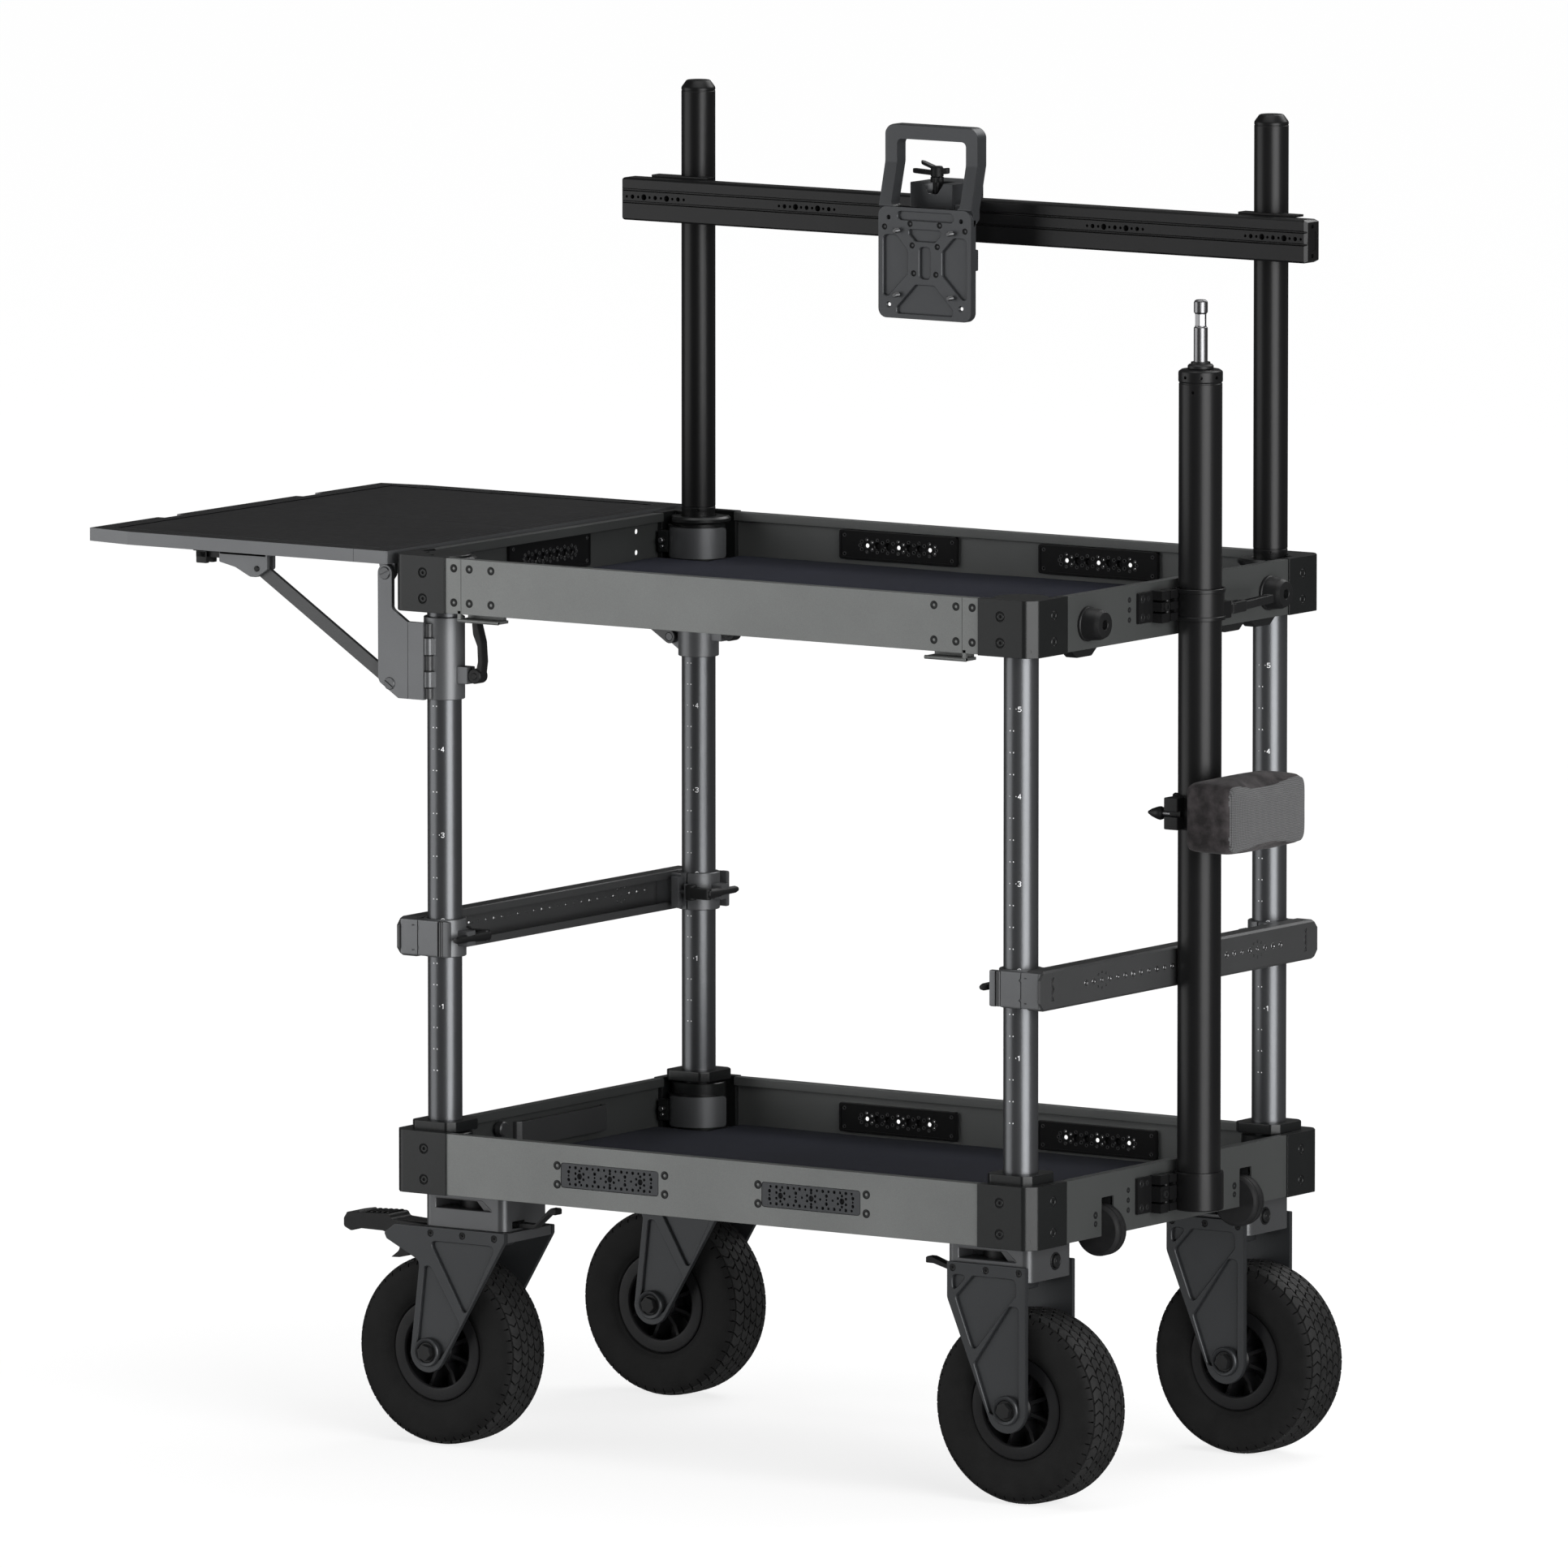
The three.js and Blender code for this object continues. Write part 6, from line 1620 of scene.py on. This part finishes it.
def monitor_bar():
    front, back, z0, z1 = RAIL_Y0, RAIL_Y1, RAIL_Z0, RAIL_Z1
    outline = [
        (front, z0 + 2), (front + 2, z0), (back - 3, z0), (back, z0 + 3), (back, z1 - 3), (back - 3, z1),
        (front + 2, z1), (front, z1 - 2),
        (front, 1428.1), (front + 3, 1427.4), (front + 3, 1425.8), (front, 1425.1),
        (front, 1413.6), (front + 3, 1412.9), (front + 3, 1411.3), (front, 1410.6),
    ]
    tools = []
    for s in BOTH:
        # the ends' corners are cut off
        for z, dz in ((z1, -6), (z0, 6)):
            corner = [(s * 473, z - dz * 0.1), (s * 485, z - dz * 0.1), (s * 485, z + dz * 1.1)]
            tools.append(prism("y", corner, (200, 250), 0))
        edge = [(s * 474.4, front - 1), (s * 485, front - 1), (s * 485, front + 10)]
        tools.append(prism("z", edge, (z0 - 5, z1 + 5), 0))
        tools.append(prism("x", rounded((front + 8, back - 6), (z0 + 14, z1 - 14), 3), span(s, 478, 490), 0))
        for z in (z0 + 8, z1 - 8):
            tools.append(rod("x", ((front + back) / 2, z), 2.6, span(s, 470, 490), 16, 0))
    sizes = (1.7, 2.6, 1.7, 3.6, 1.7, 2.6, 1.7, 3.6, 1.7, 2.6, 1.7)
    for a, b in ((-470, -389), (-254, -176), (177, 254), (395, 471)):
        for i, r in enumerate(sizes):
            tools.append(rod("y", (a + (b - a) * i / (len(sizes) - 1), 1418.6), r, (200, 220), 16, 0))
    body = cut(prism("x", outline, (-478.7, 478.7)), *tools)
    piece("monitor_bar_rail", body, M_BLACK, "monitor_bar", "black_metal", ["monitor_bar"])
    parts = []
    for _, sx in ENDS:
        x, height = sx * LEG_X, (1395.6, 1435.6)
        bore = rod("z", (x, LEG_Y), 20.3, (1380, 1450), 64, 0)
        gap = box((x - 1, x + 1), (278, 295), (1380, 1450), 0)
        parts.append(cut(box((x - 25, x + 25), (240.2, 285.1), height, 2), bore, gap))
        parts.append(cut(box((x - 45, x + 45), (240.2, 252.2), height, 1.4), bore))
        parts += screws_at("y", grid((x - 37, x + 37), (1404, 1427)), 252.2, 1, 4.4, 1, 2)
        parts.append(box((x - sx * 30, x + sx * 50), (236, 252), (1440.8, 1443.6), 0.6))
        parts.append(box((x - sx * 28, x + sx * 40), (238, 250), (1435, 1441.5), 0.4))
    piece("monitor_bar_clamps", joined(*parts), M_BLACK, "monitor_bar", "black_metal")


# The foot of the monitor plate, the axis it tilts about, and places on its face
PLATE_Z, TILT_AXIS, STUD_PLACE, HOLE_X = 1305, (164, 1400), 37.5, 50.5
PLATE_SCREWS = ((20.5, 111), (17.5, 86), (15.5, 53.5), (56, 106))


def monitor_plate():
    z0 = PLATE_Z
    side = [(58, 97), (40, 97), (24, 80), (24, 53), (51, 26), (58, 26)]
    outlines = [rounded((-38, 40), (z0 + 115, z0 + 125), 4.9)]
    top = [(-22, 104.5), (22, 104.5), (22, 99), (14, 91), (-14, 91), (-22, 99)]
    outlines.append(fillet([(u, z0 + v) for u, v in top], 3))
    outlines.append(rounded((-7.7, 7.7), (z0 + 47.5, z0 + 84.5), 5))
    for s in BOTH:
        outlines.append(fillet([(s * u, z0 + v) for u, v in side], [7, 7, 5, 5, 4, 4]))
    foot = [(-13, 40), (13, 40), (39, 13), (39, 6), (-39, 6), (-39, 13)]
    outlines.append(fillet([(u, z0 + v) for u, v in foot], [4, 4, 4, 3, 3, 4]))
    tools = [pocket("y", outline, 140, 3.6, -1, 0.7) for outline in outlines]
    for s in BOTH:
        low = (s * HOLE_X, z0 + 15.5)
        tools += [
            rod("y", (s * HOLE_X, z0 + 117.3), 2.8, (130, 160), 24, 0),
            rod("y", low, 2.2, (130, 160), 24, 0),
            turned("y", low, [(0, 130), (3.6, 130), (3.6, 140.8), (2.2, 142), (0, 142)], 24),
            rod("y", low, 8, (143, 160), 24, 0),
        ]
        tools += [rod("y", (s * u, z0 + v), 3.7, (130, 140.9), 20, 0) for u, v in PLATE_SCREWS]
    return cut(prism("y", rounded((-65, 65), (z0, z0 + 130), 11, 8), (140, 150), 0.9), *tools)


def monitor_handle():
    side = [
        (144, 1413), (158, 1424), (158, 1435), (172, 1486), (172, 1530), (154, 1530), (154, 1486),
        (140.6, 1435.4), (144, 1431),
    ]
    handle = prism("x", fillet(side, [0, 4, 4, 12, 2, 2, 12, 0, 0]), (-65, 65), 1.6)
    tools = [
        prism("y", rounded((-48, 48), (1435, 1513), 6), (120, 190), 0),
        box((-48, 48), (150.2, 190), (1400, 1436), 0),
    ]
    for s in BOTH:
        outer = [(51, 1531), (66, 1531), (66, 1516)] + [polar((51, 1516), 14, a) for a in range(0, 91, 10)]
        tools.append(prism("y", [(s * u, v) for u, v in outer], (120, 190), 0))
    return cut(handle, *tools)


def monitor_carriage():
    """A block that hooks over the bar, with a notch for the lever's neck and ears for the tilting plate."""
    front, top = 178, 1460.8
    notch = [(-30, top + 5), (-27, top - 2), (-20, top - 13), (-8, top - 13), (0, top - 2), (3, top + 5)]
    notch = prism("y", fillet(notch, [0, 3, 3, 3, 3, 0]), (170, 204), 0)
    body = box((-46, 14), (front, 213.1), (1380.6, top), 1.4)
    parts = [
        cut(body, notch, box((-19.8, 19.8), (170, 184), (1375, 1420), 0)),
        box((-46, 12), (208.1, 245.3), (1441.1, top), 1.4),
        box((-46, 12), (208.1, 225), (1380.6, 1390.3), 1.2),
        box((-46, 12), (240.6, 245.3), (1436.4, top), 1),
        cut(box((-31, 31), (180, 192), (1359, 1437), 1.6), box((-19.8, 19.8), (170, 184.5), (1350, 1425), 0)),
        box((16, 34), (184, 202), (1359, 1384), 1.6),
    ]
    ear = [(155, 1391), (164, 1389), (180, 1384), (180, 1425), (164, 1411), (155, 1409)]
    ear = fillet(ear, [6, 6, 0, 0, 6, 6])
    cap = [(0, 30), (7, 30), (7, 33.4), (6, 34.4), (3, 34.4), (3, 32.4), (0, 32.4)]
    for s in BOTH:
        parts.append(prism("x", ear, span(s, 20.3, 31.3), 0.9))
        parts.append(turned("x", TILT_AXIS, [(r, s * x) for r, x in cap], 36))
    return joined(*parts)


def monitor_lever():
    x, y = -16, 190
    neck = rod("z", (x, y), 5, (1440, 1462), 32, 0.4)
    teeth = [polar((x, y), 8 if i % 2 else 7.2, 15 * i) for i in range(24)]
    collar = prism("z", teeth, (1461.2, 1467), 0.3)
    profile = [(0, 1466.8), (6, 1466.8), (7.6, 1468), (7.6, 1477), (6, 1479.6), (0, 1480)]
    hub = turned("z", (x, y), profile, 36)
    there = Matrix.Translation((x, y, 0))
    wings = []
    for tip_x, tip_y, rise, ends in (
        (-26, -4, 2, (1468.5, 1474)), (-15, -3, 6, (1474.5, 1478.6)), (9, 5, 1, (1469.5, 1476.5)),
    ):
        wing = prism("z", bar_outline((x, y), (x + tip_x, y + tip_y), 4.4, 8), ends, 1.4)
        shear = Matrix.Identity(4)
        shear[2][0] = rise / tip_x
        wings.append(changed(wing, there @ shear @ there.inverted()))
    return joined(neck, collar, hub, *wings)


def monitor_mount():
    boss = [rod("x", TILT_AXIS, 9, (-20, 20), 48, 0.8), box((-20, 20), (148, 164), (1391, 1409), 1)]
    face = joined(monitor_plate(), monitor_handle(), *boss)
    piece("monitor_plate_face", face, M_MOUNT, "monitor_plate", "mount_grey", ["monitor_plate"])
    thread = [(0, 132), (2.2, 132), (3, 132.8)]
    w = 132.8
    while w < 140:
        thread += [(2.6, w + 0.45), (3, w + 0.9)]
        w += 0.9
    thread += [(3, 146), (0, 146)]
    studs, heads = [], []
    for sx in BOTH:
        for sz in BOTH:
            studs.append(turned("y", (sx * STUD_PLACE, PLATE_Z + 65 + sz * STUD_PLACE), thread, 20))
        heads += screws_at("y", [(sx * u, PLATE_Z + v) for u, v in PLATE_SCREWS], 141, -1, 2.9, 0.7, 1.5)
    piece("monitor_plate_studs", joined(*studs), M_STUD, "monitor_plate", "steel")
    piece("monitor_plate_screws", joined(*heads), M_PLASTIC, "monitor_plate", "black_plastic")
    piece("monitor_carriage_block", monitor_carriage(), M_MOUNT, "carriage", "mount_grey",
          ["monitor_carriage"])
    piece("monitor_lever_body", monitor_lever(), M_PLASTIC, "monitor_lever", "black_plastic",
          ["monitor_clamp_lever"])


# Mast and pad

MAST = (473, 0)
MAST_X = MAST[0]


def mast():
    def round_mast(mesh, degrees):
        return moved(turn(mesh, "z", degrees), MAST_X)

    profile = [
        (0, 322.3), (24, 322.3), (25, 323.3), (25, 1270.6), (24.5, 1271.2), (24.5, 1272.2), (25.2, 1272.8),
        (25.6, 1274), (25.6, 1283.4), (25, 1285), (22, 1287), (17, 1287.2), (0, 1287.2),
    ]
    hole = rod("x", (0, 1278.6), 2, (21, 30), 18, 0)
    tools = [round_mast(hole, 45 * i - 56) for i in range(8)]
    tools.append(round_mast(rod("x", (0, 1262), 1.8, (21, 30), 18, 0), -78))
    shaft = cut(turned("z", MAST, profile, 72), *tools)
    piece("mast_tube_shaft", shaft, M_BLACK, "mast", "black_metal", ["mast_tube"])
    profile = [
        (0, 1287.4), (14.4, 1287.4), (15, 1288), (15, 1291), (13.6, 1292.6), (11.5, 1293.2), (11, 1295.4),
        (0, 1295.4),
    ]
    piece("baby_pin_flange", turned("z", MAST, profile, 48), M_PLASTIC, "mast", "black_plastic")
    profile = [
        (0, 1293), (8, 1293), (8, 1334), (7.6, 1335), (7, 1335.4), (6.6, 1336), (6.6, 1350.6), (7.2, 1351.4),
        (8, 1352.2), (8, 1363.4), (7.2, 1365.4), (5.6, 1366.5), (0, 1366.5),
    ]
    flat = box((5.9, 12), (-8, 8), (1337, 1350), 0)
    pin = cut(turned("z", MAST, profile, 64), *[round_mast(flat, 60 * i - 40) for i in range(6)])
    piece("baby_pin_spigot", pin, M_CHROME, "mast", "chrome", ["baby_pin"])


def mast_flange(z0, z1):
    """The bracket left of the mast at a tray: plates on the panel and split hinge blocks; and its screws."""
    parts = [box((443.3, 447.4), (a, a + 30), (z0 + 1, z1 - 1), 0.8) for a in (-88, -60)]
    parts.append(box((443.3, 447.4), (-60, 0), (z0 + 1, z1 - 1), 0.6))
    for a, b in ((z0, z0 + 11), (z0 + 13, z1 - 13), (z1 - 11, z1)):
        parts.append(box((446, 460.4), (-60, -44), (a, b), 1))
        parts.append(box((446, 460.4), (-41, -26), (a + 0.8, b - 0.8), 1))
    parts.append(rod("z", (455, -43), 4, (z0, z1), 28))
    parts.append(box((446, 458), (-30, -2), (z0 + 2, z1 - 2), 1))
    screws = []
    for z in (z0 + 8, z1 - 8):
        screws.append(screw("x", (-80.8, z), 447.4, 1, 3.8, 0.8, 1.8))
        screws.append(screw("x", (-69, z), 447.4, 1, 2.4, 0.4, 1.2))
    rivet = [(0, 459), (5, 459), (5, 462), (4.4, 463), (2.4, 463), (2.4, 461.4), (0, 461.4)]
    screws.append(turned("x", (-52, (z0 + z1) / 2), rivet, 28))
    return parts, screws


def mast_hardware():
    lower, lower_screws = mast_flange(318, 362)
    upper, upper_screws = mast_flange(999, 1036)
    cup = [
        (0, 318), (27.4, 318), (28.7, 319.2), (28.7, 360.6), (28, 362), (25.4, 362), (25.2, 361.6),
        (25.2, 322.1), (0, 322.1),
    ]
    lower.append(turned("z", MAST, cup, 72))
    ring = tube("z", MAST, 28, 25.25, (999.2, 1035.8), 72, 0.7)
    ring = cut(ring, box((MAST_X + 5, MAST_X + 15), (20, 40), (1022, 1050), 0))
    upper.append(ring)
    upper += [tube("z", MAST, 29.4, 25.4, ends, 72, 0.6) for ends in ((999.2, 1004), (1031, 1035.8))]
    upper.append(cut(box((482, 498), (6, 28), (1000, 1020), 1.2), rod("z", MAST, 25.4, (990, 1040), 64, 0)))
    piece("mast_socket_cup", joined(*lower), M_BLACK, "cart", "black_metal", ["mast_socket"])
    piece("mast_clamp_ring", joined(*upper), M_BLACK, "cart", "black_metal", ["mast_clamp"])
    piece("mast_screws", joined(*lower_screws, *upper_screws), M_PLASTIC, "cart", "black_plastic")
    hub, tip = (490, 36.3), (476, 139)
    head = prism("z", bar_outline(hub, (487, 62), 8, 14), (1003.6, 1016.4), 2)
    blade = prism("z", bar_outline((488.5, 60), tip, 6.2, 14), (1005.2, 1014.8), 1.8)
    slot = prism("z", bar_outline((489.2, 47), (487.4, 60), 2.8), (1000, 1020), 0)
    recess = prism("z", bar_outline((485.2, 78), (478, 130), 3.4), (1013.4, 1020), 0)
    lever = joined(
        cut(union(head, blade), slot, recess), box((483, 497), (28.4, 34), (1005, 1015), 1),
        rod("z", hub, 8, (1004, 1016), 40, 1.2), rod("z", hub, 3.4, (1003, 1017.2), 24),
    )
    piece("mast_lever_body", lever, M_PLASTIC, "mast_lever", "black_plastic", ["mast_clamp_lever"])


def swollen(mesh, rest, cap):
    """Blows a padded piece up a little with a cloth simulation; no point moves further than cap."""
    obj = bpy.data.objects.new("swelling", mesh)
    scene.collection.objects.link(obj)
    remesh = obj.modifiers.new("remesh", "REMESH")
    remesh.mode = "VOXEL"
    remesh.voxel_size = 0.0045
    obj.data = evaluated(obj)
    obj.modifiers.clear()
    before = [v.co.copy() for v in obj.data.vertices]
    held = obj.vertex_groups.new(name="held")
    held.add([v.index for v in obj.data.vertices if v.co.x < rest], 1.0, "REPLACE")
    cloth = obj.modifiers.new("cloth", "CLOTH")
    cloth.settings.vertex_group_mass = "held"
    cloth.settings.use_pressure = True
    cloth.settings.uniform_pressure_force = 4
    cloth.settings.tension_stiffness = 25
    cloth.settings.compression_stiffness = 25
    cloth.settings.bending_stiffness = 1.2
    cloth.settings.effector_weights.gravity = 0
    for number in range(1, 21):
        scene.frame_set(number)
    obj.data = evaluated(obj)
    obj.modifiers.clear()
    scene.frame_set(1)
    for v, start in zip(obj.data.vertices, before):
        move = v.co - start
        if move.length > cap:
            v.co = start + move * (cap / move.length)
    smooth = obj.modifiers.new("smooth", "SMOOTH")
    smooth.factor = 0.5
    smooth.iterations = 3
    fine = obj.modifiers.new("fine", "SUBSURF")
    fine.levels = 1
    fine.render_levels = 1
    result = evaluated(obj)
    bpy.data.objects.remove(obj)
    return result


# The pad's box, and its seam between the suede and the net
PAD_X, PAD_Y, PAD_Z = (499.2, 563.5), (-72.5, 87.5), (739.5, 819.5)
PAD_MIDDLE = Vector((sum(PAD_Y) / 2, sum(PAD_Z) / 2))
SEAM_X, SEAM_HALF = PAD_X[1] - 5, 2.2


def pad_box():
    """The pad before it swells: rounded rectangles, drawn in a little towards both faces."""
    x0, x1 = PAD_X
    outline = rounded(PAD_Y, PAD_Z, 10, 8)
    places = (
        (x0, 2.5), (x0 + 3, 0.6), (x0 + 12, 0), (x1 - 12, 0), (x1 - 4, 0.6), (x1 - 1, 2.2), (x1, 4.5),
    )
    bm = bmesh.new()
    rings = []
    for x, draw in places:
        ring = []
        for p in map(Vector, outline):
            y = (p.x - PAD_MIDDLE.x) * (1 - draw / 80)
            z = (p.y - PAD_MIDDLE.y) * (1 - draw / 42)
            q = PAD_MIDDLE + Vector((y, z))
            ring.append(bm.verts.new((x, q.x, q.y)))
        rings.append(ring)
    bridge_all(bm, rings)
    return to_mesh(bm)


def pad():
    base = pad_box()
    base.transform(TO_FRAME)
    shape = swollen(base, SHIFT_X + (PAD_X[0] + 2) * MM, 0.005)
    shape.transform(TO_FRAME.inverted())
    for v in shape.vertices:
        near = abs(v.co.x - SEAM_X)
        y, z = PAD_MIDDLE.x - v.co.y, PAD_MIDDLE.y - v.co.z
        if near < SEAM_HALF and (abs(y) > 70 or abs(z) > 30):
            inwards = Vector((0, y, z)).normalized()
            v.co += inwards * 1.1 * (1 - near / SEAM_HALF)
    obj = piece("bump_pad_cushion", shape, M_SUEDE, "pad", "suede", ["bump_pad"], 60)
    obj.data.materials.append(M_NET)
    limit = SHIFT_X + SEAM_X * MM
    for face in obj.data.polygons:
        if face.center.x > limit:
            face.material_index = 1


def pad_clamp():
    low, high = 759, 798
    bore = rod("z", MAST, 25.4, (low - 5, high + 5), 64, 0)
    ring = tube("z", MAST, 31, 25.4, (low, high), 64, 0.9)
    parts = [
        cut(ring, box((440, MAST_X - 20), (-5, 5), (low - 5, high + 5), 0)),
        cut(box((490, 498.8), (-40, 40), (low, high), 1.2), bore),
        cut(box((443.2, 458), (4, 24), (low + 1, high - 1), 1.4), bore),
        cut(box((453, 472), (-45, 0), (low + 1, 775), 1.6), bore),
        cut(box((453, 472), (-45, 0), (781, high - 1), 1.6), bore),
        cut(box((455, 470), (-36, 0), (774, 782), 0.4), bore),
    ]
    piece("pad_clamp_ring", joined(*parts), M_PLASTIC, "pad", "black_metal", ["pad_clamp"])
    axis = (-33, 777)
    grip = [(0, 424.6), (1.6, 424.8), (4.6, 430), (7.4, 438), (8, 441.5), (7.2, 444), (5, 445.6), (0, 445.6)]
    piece("pad_knob_shaft", rod("x", axis, 3.6, (440, 455.5), 28, 0.5), M_CHROME, "pad_knob", "chrome")
    piece("pad_knob_grip", turned("x", axis, grip, 28), M_PLASTIC, "pad_knob", "black_plastic", ["pad_knob"])


camera()
studio()
legs()
posts()
upper_tray()
lower_tray()
drop_panel()
rollers()
felt_mats()
casters()
side_table()
table_brackets()
crossbars()
monitor_bar()
monitor_mount()
mast()
mast_hardware()
pad()
pad_clamp()
